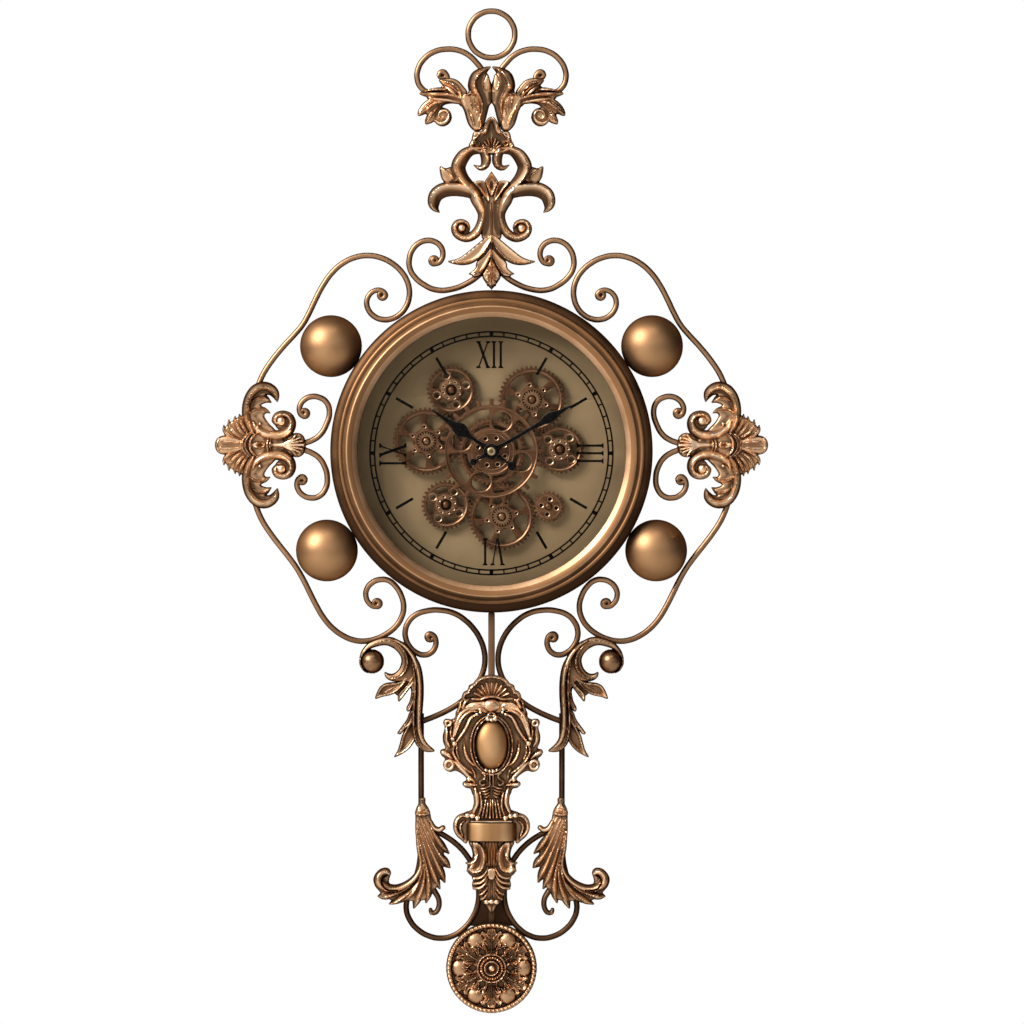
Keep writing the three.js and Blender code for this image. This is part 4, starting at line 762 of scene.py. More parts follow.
FRONT_BACK = WHEEL_FRONT + 1.6
FRONT_FACE = FRONT_BACK + 2.5
FRONT_TURN = 71
peg = math.degrees(2.2 / 50)
coarse = [polar(radius, i * 15 + turn) for i in range(24)
    for radius, turn in ((46.8, -7.5), (46.8, -peg * 1.35), (47.6, -peg), (52.2, -peg * 0.95),
    (53, -peg * 0.7), (53, peg * 0.7), (52.2, peg * 0.95), (47.6, peg), (46.8, peg * 1.35))]
round_windows = around(4, FRONT_TURN, lambda angle: circle(9.4, polar(32, angle), 40))
wide_windows = around(4, FRONT_TURN,
    lambda angle: rounded(sector(24.5, 42.3, angle + 21.5, angle + 68.5, 12)))
front_parts = [
    marked(plate("front", [coarse, *round_windows, *wide_windows, circle(CENTRE_BORE)], FRONT_BACK,
        FRONT_FACE, 0.5), -0.05),
    ring_on(45.4, 0.7, 0.7, FRONT_FACE, segments=128),
    marked(plate("hub", [circle(19, count=64), circle(CENTRE_BORE)], FRONT_FACE - 0.5,
        FRONT_FACE + 0.6, 0.25), -0.4),
    plate("step", [circle(8.8), circle(CENTRE_BORE)], FRONT_BACK - 1.2, FRONT_BACK + 0.5, 0.2),
    ring_on(22.3, 0.7, 0.5, FRONT_FACE, segments=96),
    ring_on(18.2, 0.6, 0.4, FRONT_FACE + 0.5, segments=96),
]
front_parts += around(4, FRONT_TURN, lambda angle: ring_on(10.2, 0.7, 0.7,
    FRONT_FACE, polar(32, angle), 48))
front_parts += around(8, FRONT_TURN, lambda angle: blind_hole(1.9, FRONT_FACE + 0.6, polar(14.2, angle)))
settle(joined("front_gear", front_parts), "centre_wheels", "bronze", WHEEL_BRONZE, "centre_front_wheel")

# %% [markdown]
# The frame is bent from round rod in one plane. A rod is a curve through the points of its centre line,
# with a round section that tapers towards the eye at its end. The left rod is made first, and the right
# one mirrors it.

# %% Rods
ROD_DEPTH = sum(depths("top_ring")) / 2
ROD_RADIUS = 2.9
ROD_HALF = 3.045
EYE_TAPER = 0.85
SEAT_GAP = 0.3
POST_PLACE = 70.5
SPINE_HALF = 3.3
STAND_OFF = ROD_HALF + SEAT_GAP / 2
BALL_RADIUS = 31
BALL_TOUCH = BALL_RADIUS + SEAT_GAP + ROD_HALF


def above(*points):
    return [(x, CASE_RADIUS + rise) for x, rise in points]


def below(*points):
    return [(x, -CASE_RADIUS - drop) for x, drop in points]


def beside(*points):
    return [(-CASE_RADIUS - out, z) for out, z in points]


def off(centre, *steps):
    return [plus(centre, step) for step in steps]


def off_rim(bearing, *steps):
    return off(polar(CASE_RADIUS, bearing), *steps)


def on_rim(bearing):
    return polar(CASE_RADIUS + SEAT_GAP + ROD_HALF, bearing)


# Painted light on the rods: the face turned to the front is painted light as a highlight and the sides
# dark; below the case (low) the rods are painted darker as shade, near the spine darker still as the
# case's shadow, and their outer and upper faces there get a painted rim of light (edge).
def rod_painted_light(place, normal):
    low = np.clip((-place[:, 2] - 140) / 100, 0, 1)
    case_shadow = np.clip((-place[:, 2] - 150) / 20, 0, 1) * np.clip((60 - np.abs(place[:, 0])) / 40, 0, 1)
    low = np.maximum(low, case_shadow)
    outward = np.sign(place[:, 0]) * normal[:, 0] + normal[:, 2]
    edge = np.clip(outward - 0.5, 0, 1) * low
    return np.clip(np.abs(normal[:, 1]) * 1.75 - 1.1 - 1.2 * low + 1.7 * edge, -1, 0.6)


def eased(line):
    after = [plus(plus(a, b), plus(b, c)) for a, b, c in zip(line, line[1:], line[2:])]
    return [line[0], *[(x / 4, z / 4) for x, z in after], line[-1]]


def rod(name, line, eye_from=1.0, cyclic=False):
    bend = bpy.data.curves.new(name, "CURVE")
    bend.dimensions = "3D"
    bend.bevel_depth = ROD_RADIUS * MM
    bend.bevel_resolution = 4
    bend.resolution_u = 7
    bend.use_fill_caps = True
    spline = bend.splines.new("BEZIER")
    spline.bezier_points.add(len(line) - 1)
    spline.use_cyclic_u = cyclic
    for i, (point, (x, z)) in enumerate(zip(spline.bezier_points, line)):
        point.co = (x * MM, -ROD_DEPTH * MM, z * MM)
        point.handle_left_type = point.handle_right_type = "AUTO"
        share = i / (len(line) - 1)
        point.radius = 1 - (1 - EYE_TAPER) * max(0.0, share - eye_from) / max(1e-6, 1 - eye_from)
    active(linked(name, bend))
    bpy.ops.object.convert(target="MESH")
    return given_wear_and_shading(tidy(bpy.context.object, 50), rod_painted_light)


def mirrored(piece, name):
    active(piece)
    bpy.ops.object.duplicate()
    twin = bpy.context.object
    twin.name = name
    twin.scale.x = -1
    return edited(fix_place(twin), face_outward)


def settle_pair(piece, node, look):
    twin = mirrored(piece, piece.name.replace("_left", "_right"))
    settle(piece, "case", "bronze", look, f"{node}_left")
    settle(twin, "case", "bronze", look, f"{node}_right")


# %% [markdown]
# These are the centre lines. They name the case, the balls and the points where two rods touch.

# %% Rod lines
UPPER_TOUCH = (-81.6, CASE_RADIUS + 12.6)
LOWER_TOUCH = (-86.9, -CASE_RADIUS - 8.2)
UPPER_BALL = middle_of("ball_upper_left")
LOWER_BALL = middle_of("ball_lower_left")
RING_CENTRE = middle_of("top_ring")
RING_RADIUS = 23.3
RING_TOUCH = plus(RING_CENTRE, polar(RING_RADIUS + 2 * ROD_HALF + SEAT_GAP, 220))
TOP_LOOP = [
    *above((-8, 219.5), (-13, 226.5)),
    RING_TOUCH,
    *above((-31, 240.7), (-45, 243.3), (-58, 240.5), (-68.5, 233), (-75, 222), (-75.5, 211), (-71, 202),
        (-63, 197), (-53, 198), (-45, 204), (-42.5, 213), (-46.5, 220), (-52, 219.5), (-53, 214.5)),
]
CREST_SCROLL = [
    *above((-4.5, 24), (-12, 15.5), (-20, 9.3)),
    on_rim(104.8),
    *above((-57, 0.8), (-67, 4.5)),
    plus(UPPER_TOUCH, polar(STAND_OFF, 35)),
    *above((-82.5, 22), (-83.3, 32), (-80, 41.5), (-73.5, 48.5), (-65, 51.5), (-56.5, 50), (-50.5, 45.5),
        (-47.7, 38.5), (-49, 31), (-53.5, 26.3), (-58.5, 27), (-60.5, 31), (-57.5, 33)),
]
SHOULDER_ROD = [
    *beside((76, 58), (71.5, 69), (68, 77.5), (62, 88)),
    *off(UPPER_BALL, (-46, 2), (-36, 12.5), polar(BALL_TOUCH, 144.5), (-22, 33), (-15.5, 47), (-8, 62),
        (1, 75), (12.7, 84.7), (24.7, 90), (37.7, 91.7)),
    *above((-110, 34), (-98, 27.5), (-89.5, 19.5)),
    plus(UPPER_TOUCH, polar(-STAND_OFF, 35)),
    *above((-81.8, 2), (-81.8, -7), (-85, -17)),
    on_rim(123.7),
    *off_rim(123.7, (-11, -2.2), (-20, -2.6), (-29, 0.6), (-35.2, 8), (-36.7, 16.5), (-33.7, 23.8),
        (-27.5, 28.2), (-20.7, 28.4), (-16, 24.5), (-17, 19.5), (-21.5, 18.8)),
]
HIP_ROD = [
    *beside((77, -46), (74.3, -57), (69.5, -69), (60.5, -82)),
    *off(LOWER_BALL, (-47.5, 5), (-38.3, -6.3), polar(BALL_TOUCH, 209.6), (-23.2, -29.5), (-17, -42.5),
        (-10.2, -56.3), (-3.2, -68.6), (5, -78), (16, -86), (27, -90.6), (38, -91.6)),
    *below((-116, 27.3), (-105, 22.3), (-96, 15.3)),
    plus(LOWER_TOUCH, polar(-STAND_OFF, -28)),
    *below((-86.7, -5), (-88.7, -16)),
    on_rim(234),
    *off_rim(234, (-7.5, 2), (-16.5, 3.2), (-25.3, 0.2), (-31.3, -6.8), (-32.3, -15), (-28.3, -22.8),
        (-22, -26.5), (-16.7, -24), (-17.3, -19.2), (-21.3, -18.4)),
]
SIDE_SCROLL = [
    *beside((25.5, 41.5), (22.8, 38.5), (25, 35), (29.5, 35.5), (32, 40.5), (31.3, 47), (27, 52.7),
        (19.5, 56), (11.5, 55.5), (4.5, 50.5)),
    on_rim(165),
    *off_rim(165, (-10.6, -17), (-15.5, -26.5), (-24.5, -31.5)),
    *beside((28, 8.5), (31.5, 5.2), (28, 1.9), (19, -0.5), (11.5, -5)),
    *off_rim(189, (-8.6, 12.5)),
    on_rim(189),
    *beside((4.5, -40.5), (12, -46), (20.5, -47.5), (28.7, -44.3), (34.2, -37.5), (34.5, -30), (31, -25),
        (26.5, -25), (25, -29)),
]
INNER_SCROLL = [
    *below((-62, 28.5), (-65.5, 25), (-63, 20.8), (-58, 21.8), (-55, 27.5), (-55.5, 35), (-60, 41.5),
        (-67.5, 44), (-76, 41), (-83, 34.5), (-87, 25.5), (-86.8, 17)),
    plus(LOWER_TOUCH, polar(STAND_OFF, -28)),
    *below((-77.5, 2.3), (-68, -2.3)),
    on_rim(253.4),
    *below((-36, 1), (-26, 7.2), (-17.5, 15.8), (-11, 26), (-7, 37), (-SPINE_HALF - ROD_HALF + 0.2, 47),
        (-6.9, 58), (-12.6, 70), (-22, 83), (-32, 91.5), (-45, 99), (-56, 104), (-POST_PLACE + 1, 109)),
]
FOOT_ROD = [
    *below((-POST_PLACE, 101), (-POST_PLACE, 150), (-POST_PLACE, 214), (-70.4, 240), (-72.2, 258),
        (-78.4, 272), (-85.2, 286), (-86.6, 297), (-83, 308), (-75, 318), (-63, 325.3), (-50, 327.3),
        (-38, 325), (-27, 317.5), (-18, 306), (-13.3, 294), (-12, 282), (-13.5, 269), (-17.5, 255),
        (-24, 243), (-34, 232), (-46, 223.5), (-59, 217.5)),
]
ROD_LINES = {
    "top_loop": (TOP_LOOP, 0.75), "crest_scroll": (CREST_SCROLL, 0.7),
    "shoulder_rod": (SHOULDER_ROD, 0.75), "hip_rod": (HIP_ROD, 0.78), "side_scroll": (SIDE_SCROLL, 1),
    "inner_scroll": (INNER_SCROLL, 1), "foot_rod": (FOOT_ROD, 1),
}
EYE_RADIUS, EYE_WIRE = 3.6, 2.2


def eye_centre(first, second, third):
    (ax, az), (bx, bz), (cx, cz) = first, second, third
    turn = 2 * (ax * (bz - cz) + bx * (cz - az) + cx * (az - bz))
    a, b, c = ax * ax + az * az, bx * bx + bz * bz, cx * cx + cz * cz
    return ((a * (bz - cz) + b * (cz - az) + c * (az - bz)) / turn,
        (a * (cx - bx) + b * (ax - cx) + c * (bx - ax)) / turn)


# The rolled eyes take the rods' painted light, 0.4 darker.
def eye_painted_light(place, normal):
    return np.clip(rod_painted_light(place, normal) - 0.4, -1, 1)


def rolled_eye(points):
    at = eye_centre(*points)
    wire_line = [polar(EYE_WIRE, i * 30) for i in range(12)]
    ring = spun("eye", [(EYE_RADIUS + out, ROD_DEPTH + up) for out, up in wire_line], at, 32, angle=60)
    plug = spun("plug", [(0, ROD_DEPTH - 1.5), (2.4, ROD_DEPTH - 1.5), (2.4, ROD_DEPTH + 0.8),
        (0, ROD_DEPTH + 1)], at, 24, closed=False)
    return [given_wear_and_shading(ring, eye_painted_light), marked(plug, -1)]


EYE_ENDS = {
    "top_loop": (-1,), "crest_scroll": (-1,), "shoulder_rod": (-1,), "hip_rod": (-1,),
    "side_scroll": (0, -1), "inner_scroll": (0,),
}
for node, (line, eye_from) in ROD_LINES.items():
    ends = [line[:3] if end == 0 else line[-3:] for end in EYE_ENDS.get(node, ())]
    parts = [rod("bend", eased(line), eye_from)] + [part for points in ends for part in rolled_eye(points)]
    settle_pair(joined(f"{node}_bend_left", parts), node, ROD_BRONZE)

ring_line = [plus(RING_CENTRE, polar(RING_RADIUS, i * 30)) for i in range(12)]
settle(rod("ring_bend", ring_line, cyclic=True), "case", "bronze", ROD_BRONZE, "top_ring")

# %% [markdown]
# The spine is a square bar. A cube of its size gets bevelled edges, which show as two light lines.

# %% Spine bar
spine_low, spine_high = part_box("spine_bar")
bpy.ops.mesh.primitive_cube_add(size=1, location=(spine_low + spine_high) / 2)
spine = bpy.context.object
spine.name = "spine_square"
spine.scale = spine_high - spine_low
edited(fix_place(spine), round_edges)
settle(given_wear_and_shading(tidy(spine, 30), rod_painted_light), "case", "bronze", ROD_BRONZE, "spine_bar")

# %% [markdown]
# Just above the rosette the corners between the spine and the two foot rods are closed by a thin web,
# painted near black: it stands in for the shade in these corners.

# %% Foot web
web_half = [(11.6, -441), (12.4, -450), (14.6, -459), (18, -467), (24, -475)]
web_loop = web_half + [(-x, z) for x, z in reversed(web_half)]
shade_web = plate("foot_shade_web", [web_loop], ROD_DEPTH - 1, ROD_DEPTH + 1)
settle(marked(shade_web, -0.9), "case", "bronze", ROD_BRONZE)

# %% [markdown]
# A ball is spun from sheet in two halves, so a fine seam runs round it where the halves are soldered.

# %% Balls
# Painted highlight and shade on the balls: the face turned to the front is lighter and the rim darker.
def ball_painted_light(place, normal):
    return np.clip(np.abs(normal[:, 1]) * 1.5 - 0.85, -0.8, 0.5)


def seamed_ball(name, centre):
    arc = [polar(BALL_RADIUS, -90 + i * 4) for i in range(46)]
    profile = [(max(0.0, out) * (1 if abs(up) > 0.5 else 0.993), ROD_DEPTH + up) for out, up in arc]
    return given_wear_and_shading(spun(name, profile, centre, 96, closed=False, angle=60), ball_painted_light)


settle_pair(seamed_ball("ball_upper_shell_left", UPPER_BALL), "ball_upper", BALL_BRONZE)
settle_pair(seamed_ball("ball_lower_shell_left", LOWER_BALL), "ball_lower", BALL_BRONZE)

# %% [markdown]
# The castings are reliefs with flat backs. Each starts as a fine grid that faces the room, and a carver's
# marks give it its heights, one after the other: a form is a raised outline, a ridge is a crown along a
# line, a groove is cut into what stands there. A cut at the back plane then trims the grid to its outline
# and closes it.

# %% Lines of a carver
CASTING_BACK = depths("urn")[0]
OUTSIDE = -12.0
LINE_STEP = 1.6
WALL, STEEP = 1.6, 7


def smooth_line(line, closed=False):
    points = np.array(line, float)
    if closed:
        ends = np.vstack([points[-1], points, points[0], points[1]])
    else:
        ends = np.vstack([2 * points[0] - points[1], points, 2 * points[-1] - points[-2]])
    rows = []
    for a, b, c, d in zip(ends, ends[1:], ends[2:], ends[3:]):
        count = max(2, int(np.hypot(*(c - b)[:2]) / LINE_STEP))
        for t in np.arange(count) / count:
            cubic = (2 * a - 5 * b + 4 * c - d) * t**2 + (3 * b - a - 3 * c + d) * t**3
            rows.append(0.5 * (2 * b + (c - a) * t + cubic))
    return np.array(rows if closed else rows + [points[-1]])


def near_line(dense, x, z, margin):
    low, high = dense[:, :2].min(0) - margin, dense[:, :2].max(0) + margin
    return np.nonzero((x > low[0]) & (x < high[0]) & (z > low[1]) & (z < high[1]))[0]


def nearest(dense, x, z):
    inside, side, half = np.full(x.shape, OUTSIDE), np.zeros(x.shape), np.ones(x.shape)
    for (ax, az, ah), (bx, bz, bh) in zip(dense, dense[1:]):
        dx, dz = bx - ax, bz - az
        t = np.clip(((x - ax) * dx + (z - az) * dz) / (dx * dx + dz * dz + 1e-9), 0, 1)
        ox, oz = x - ax - t * dx, z - az - t * dz
        away, here = np.hypot(ox, oz), np.maximum(ah + t * (bh - ah), 0.3)
        better = here - away > inside
        inside = np.where(better, here - away, inside)
        side = np.where(better, np.sign(dx * oz - dz * ox) * away / here, side)
        half = np.where(better, here, half)
    return inside, side, half


# %% [markdown]
# A ridge is round like a rod, or with a sharp crest whose two faces fall to its edges in a hollow curve.
# The crest may lie off the middle, which makes one face narrow and bright and the other wide and dark.

# %% Ridges and grooves
def ridge(line, height, peak=0.0, sharp=0.0):
    dense = smooth_line(line)
    widest = dense[:, 2].max()

    def carve(x, z, level):
        near = near_line(dense, x, z, widest + 2)
        inside, side, half = nearest(dense, x[near], z[near])
        slope = np.where(side > peak, (side - peak) / (1 - peak), (peak - side) / (1 + peak))
        slope = np.clip(slope, 0, 1)
        crown = (1 - slope) ** sharp if sharp else (1 - slope**2) ** 0.65
        rise = height * (0.4 + 0.6 * np.clip(half / widest, 0, 1))
        base = np.clip(level[near], 0, None)
        level[near] = np.maximum(level[near],
            np.minimum(WALL + (rise - WALL) * crown, base + inside * STEEP))

    return carve


def groove(line, depth):
    dense = smooth_line(line)

    def carve(x, z, level):
        near = near_line(dense, x, z, dense[:, 2].max() + 2)
        inside, side, _ = nearest(dense, x[near], z[near])
        cut = depth * np.where(inside > 0, 1 - side**2, 0)
        level[near] = np.where(level[near] > 0, np.maximum(level[near] - cut, 1), level[near])

    return carve


# %% [markdown]
# A form is a closed outline with a rounded edge. With a dish its middle is hollow, so that a light rim
# runs round it, as on a leaf. Domes may be oval, and a hoop is a rope laid round a centre.

# %% Forms, domes and hoops
def form(outline, height, soft=3.0, dish=0.0, smooth=True):
    ring = smooth_line(outline, True) if smooth else np.array(outline, float)

    def carve(x, z, level):
        near = near_line(ring, x, z, 2)
        px, pz = x[near], z[near]
        inside, away = np.zeros(px.shape, bool), np.full(px.shape, 99.0)
        for (ax, az), (bx, bz) in zip(ring, np.roll(ring, -1, 0)):
            dx, dz = bx - ax, bz - az
            t = np.clip(((px - ax) * dx + (pz - az) * dz) / (dx * dx + dz * dz + 1e-9), 0, 1)
            away = np.minimum(away, np.hypot(px - ax - t * dx, pz - az - t * dz))
            if dz:
                inside ^= ((az > pz) != (bz > pz)) & (px < ax + (pz - az) * dx / dz)
        round_edge = np.sqrt(np.clip(1 - (1 - np.clip(away / soft, 0, 1)) ** 2, 0, 1))
        hollow = 1 - dish * np.clip((away - soft) / (soft + 1), 0, 1)
        rise = WALL + (height - WALL) * round_edge * hollow
        body = np.where(inside, np.minimum(rise, away * STEEP), -away * STEEP)
        level[near] = np.maximum(level[near], body)

    return carve


def both(outline):
    return outline + [(-x, z) for x, z in reversed(outline)]


def dome(centre, wide, tall, base, rise, power=0.5):
    def carve(x, z, level):
        away = np.hypot((x - centre[0]) / wide, (z - centre[1]) / tall)
        body = base + rise * np.clip(1 - away**2, 0, 1) ** power
        np.maximum(level, np.where(away < 1, body, (1 - away) * min(wide, tall) * STEEP), out=level)

    return carve


def hoop(centre, wide, tall, half, height, beads=0):
    def carve(x, z, level):
        dx, dz = (x - centre[0]) / wide, (z - centre[1]) / tall
        away = (np.hypot(dx, dz) - 1) * min(wide, tall)
        crown = np.sqrt(np.clip(1 - (away / half) ** 2, 0, 1))
        rope = 1 - 0.35 * (0.5 - 0.5 * np.cos(np.arctan2(dz, dx) * beads)) if beads else 1
        body = 1 + (height - 1) * (0.45 + 0.55 * crown * rope)
        np.maximum(level, np.where(np.abs(away) < half, body, (half - np.abs(away)) * STEEP), out=level)

    return carve


# %% [markdown]
# Patina and painted light are brushed on last: a dark stroke along a hollow, mostly patina, and in places
# painted shade; a light stroke along a crest, polish and in places a painted highlight. It moves no metal
# and only changes the wear_and_shading value along that line.

# %% Patina and painted light
def patina_and_light_stroke(line, amount):
    dense = smooth_line(line)

    def brush(x, z, wear_and_shading):
        near = near_line(dense, x, z, dense[:, 2].max() + 2)
        inside, _, half = nearest(dense, x[near], z[near])
        wear_and_shading[near] += amount * np.clip(inside / (0.6 * half), 0, 1)

    return brush


# %% [markdown]
# The grid gets its heights, and beside them the attribute that the bronze reads: how far a point stands
# above its neighbourhood, near and wide. Crests come out bright, and valleys and outer edges stay dark.

# %% Relief
GRID_STEP = 0.7
REACH = 3.0


def blurred(field, reach):
    for axis in (0, 1):
        first, last = field.take([0], axis), field.take([-1], axis)
        padded = np.concatenate([np.repeat(first, reach, axis), field, np.repeat(last, reach, axis)], axis)
        total = np.cumsum(padded, axis)
        total = np.concatenate([np.zeros_like(total.take([0], axis)), total], axis)
        size, span = field.shape[axis], 2 * reach + 1
        field = (total.take(range(span, span + size), axis) - total.take(range(size), axis)) / span
    return field


def carved(marks, x, z, columns, patina_and_light_strokes):
    level = np.full(x.shape, OUTSIDE)
    for mark in marks:
        mark(x, z, level)
    field = np.clip(level, 0, None).reshape(-1, columns)
    metal_there = (field > 0).astype(float)
    wear_and_shading = np.zeros(field.shape)
    for wide, share in ((REACH, 0.36), (2.6 * REACH, 0.11)):
        span = max(1, int(wide / GRID_STEP))
        there = np.maximum(blurred(blurred(metal_there, span), span), 1e-3)
        mean = blurred(blurred(field, span), span) / there
        wear_and_shading += (field - mean) * share
    wear_and_shading = np.clip(wear_and_shading, -1, 1).ravel()
    for brush in patina_and_light_strokes:
        brush(x, z, wear_and_shading)
    return level, np.clip(wear_and_shading, -1, 1)


def seated(piece, seat):
    plane = {"plane_co": (0, -(CASTING_BACK + seat) * MM, 0), "plane_no": (0, 1, 0)}
    return edited(piece, lambda: bpy.ops.mesh.bisect(**plane, use_fill=True, clear_outer=True))


def relief(name, marks, low, high, even=False, fold=None, patina_and_light_strokes=()):
    across, up = (int((high[i] - low[i]) / GRID_STEP) for i in (0, 1))
    upright = (math.pi / 2, 0, 0)
    bpy.ops.mesh.primitive_grid_add(x_subdivisions=across, y_subdivisions=up, size=1, rotation=upright)
    piece = bpy.context.object
    piece.name = name
    piece.scale = ((high[0] - low[0]) * MM, (high[1] - low[1]) * MM, 1)
    piece.location = ((low[0] + high[0]) / 2 * MM, 0, (low[1] + high[1]) / 2 * MM)
    fix_place(piece)
    places = np.empty(len(piece.data.vertices) * 3)
    piece.data.vertices.foreach_get("co", places)
    places = places.reshape(-1, 3)
    x, z = places[:, 0] / MM, places[:, 2] / MM
    x = -np.abs(x) if even else x
    z = z if fold is None else fold + np.abs(z - fold)
    level, wear_and_shading = carved(marks, x, z, across + 1, patina_and_light_strokes)
    places[:, 1] = -(CASTING_BACK + level) * MM
    piece.data.vertices.foreach_set("co", places.ravel())
    seated(marked(piece, wear_and_shading), 0)
    print(name, "relief to", round(level.max(), 1), "mm with", len(piece.data.polygons), "faces")
    return tidy(piece, 55)


# %% [markdown]
# The upper crest: two petals back to back, each with a bright ridge that swings like an S beside a dark
# hollow, a veined calyx below, and a spray of four plump leaves that ends in a curl.

# %% Upper crest
PETAL = [
    (-0.6, 385), (-8, 384), (-14.5, 382), (-20, 377), (-22.4, 370), (-22.4, 362), (-24, 358), (-20, 350),
    (-15, 340), (-9, 325), (-6, 331), (-4, 338.5), (-2, 346), (0.5, 350.5), (0.5, 365), (-1.5, 372),
    (-4.5, 378.5),
]
CALYX = [
    (-29.5, 358), (-31.5, 351), (-30.5, 346.5), (-27.7, 341), (-25.5, 333.5), (-23.4, 327.5), (-20, 323),
    (-16.5, 320.5), (-11, 321), (-8.5, 326), (-9.6, 338), (-10, 346), (-12, 354), (-17, 358.6), (-23, 358),
]
SPRAY = [
    (-24, 358.5), (-27.5, 365), (-33, 371), (-39, 373.6), (-46, 373.6), (-52.8, 371.6), (-49, 366.5),
    (-47, 364.8), (-55, 364.4), (-64, 362), (-70.5, 360.2), (-72, 358), (-69, 356), (-63, 353.4),
    (-67, 350), (-71.5, 345), (-74, 339.5), (-73.4, 336), (-70.5, 336), (-65, 337.6), (-66.8, 331),
    (-65.8, 327.4), (-62.5, 327.8), (-57, 330.6), (-52, 338), (-48, 346), (-40, 348.2), (-33, 347.6),
    (-29, 345),
]
upper_crest = [
    form(PETAL, 6, 4),
    form([(-1, 364), (-2.5, 376), (-5, 378), (-8.4, 372), (-9, 364), (-5, 359.5)], 8, 2.5),
    ridge([(-7.2, 371, 0.7), (-7.6, 366, 1.1), (-5.8, 361.6, 0.9), (-3.4, 363.6, 0.7)], 10),
    ridge([(-1.6, 384.8, 1), (-8, 382, 2.8), (-15, 376.6, 5), (-18.4, 370, 5), (-18.2, 363.4, 5.2),
        (-14.6, 356.5, 4.6), (-11, 350, 3.6), (-10, 342, 3), (-12, 334, 3),
        (-15, 327, 2.4)], 14, 0.3, 0.9),
    form(CALYX, 9, 4),
    ridge([(-29, 355, 1.6), (-26.4, 349, 2.2), (-23, 341, 2.8), (-19.4, 333, 4),
        (-17.4, 326, 3.4)], 13.5, 0, 0.8),
    ridge([(-28.6, 357.2, 0.9), (-25, 356, 1.2), (-22.4, 357.8, 1.1), (-18.6, 357, 1.1),
        (-15.6, 358.2, 0.8)], 12),
    *[ridge(line, 12.5) for line in ([(-21.8, 356, 0.7), (-21, 350, 0.9), (-19.4, 342, 0.6)],
        [(-17.6, 353, 0.7), (-16.4, 347, 0.9), (-16.6, 339, 0.6)], [(-14.6, 350, 0.6),
        (-13.6, 344, 0.8), (-14.8, 337, 0.6)])],
    form(SPRAY, 6, 2.4),
    ridge([(-30, 352, 2.6), (-34, 360, 5), (-41, 366.4, 5), (-51, 371, 1)], 12.5, -0.3, 0.7),
    ridge([(-35, 355.6, 1.8), (-41.5, 361.4, 2.6), (-47.4, 365.6, 1)], 11.5),
    ridge([(-29, 352.4, 2.6), (-42, 356, 3.2), (-55, 357, 3.4), (-64, 357.6, 2.6),
        (-71.4, 358, 0.8)], 12, -0.2, 0.7),
    ridge([(-46, 361.6, 1.2), (-57, 362, 1.9), (-66, 360.6, 1.2)], 10.5),
    ridge([(-32, 349.4, 1.8), (-44, 351.2, 2.6), (-55, 352.4, 2.4), (-64, 354, 1)], 9),
    ridge([(-47, 350, 2.4), (-58, 348.6, 4), (-66, 343, 4.6), (-73, 337, 1)], 12, 0.1, 0.7),
    ridge([(-53, 345.4, 1.6), (-58.4, 340, 2.9), (-62.6, 334, 3), (-65.6, 328.2, 0.8)], 11.5, 0.1, 0.7),
    *[groove(line, 3.5) for line in ([(-33, 360, 0.6), (-39, 365.6, 0.8), (-46, 368.6, 0.5)],
        [(-48, 359.8, 0.6), (-58, 360, 0.8), (-68, 358.8, 0.5)], [(-59, 349, 0.6), (-66, 343.6, 0.9),
        (-70.4, 339.4, 0.5)], [(-58, 341, 0.5), (-62, 334.8, 0.7), (-64.4, 330.4, 0.5)])],
    dome((-49, 334.8), 9.2, 9.4, 3, 4),
    ridge([(-57, 331.6, 1.4), (-51, 328, 2.2), (-44.4, 331, 2.4), (-42.8, 336.6, 2.2), (-46, 341, 2),
        (-51, 340, 1.9), (-53, 335.8, 1.7), (-50, 332.6, 1.5), (-47.6, 335, 1.2)], 11),
]
upper_patina = [
    patina_and_light_stroke([(-4, 382.4, 1.2), (-9.4, 377, 2.6), (-12, 369, 3.2), (-10.6, 361, 3.2), (-7, 353, 3.6),
        (-5.4, 344, 3), (-7.4, 334, 2.2), (-11, 325, 3)], -0.75),
    patina_and_light_stroke([(-20, 378, 2.4), (-21.4, 369, 2.4), (-20.6, 361, 2)], -0.4),
    patina_and_light_stroke([(-2, 358, 2.4), (-2, 351, 2.4)], -0.8),
    patina_and_light_stroke([(-19, 352, 0.8), (-18.4, 342, 0.8)], -0.6),
    patina_and_light_stroke([(-30, 345, 1.6), (-44, 349, 2), (-51, 347, 2.6), (-55, 340, 2.4), (-56, 335, 1.6)], -0.7),
    patina_and_light_stroke([(-41.4, 340, 1.6), (-40.6, 333, 2), (-45, 326.6, 1.8)], -0.8),
    patina_and_light_stroke([(-33, 358, 1), (-37, 357, 1.4), (-46, 359.4, 1)], -0.5),
]
crest = relief("crest_upper_relief", upper_crest, (-77, 318), (77, 389), True, patina_and_light_strokes=upper_patina)
settle(crest, "case", "bronze", BRONZE, "crest_upper")

# %% [markdown]
# The lower crest: a hood with a shell, two arms like an S, each with a light ridge beside a wide dark
# hollow, horns, folded ears, a bud of three lobes on a dark stem, and two pairs of leaves with light
# rims.

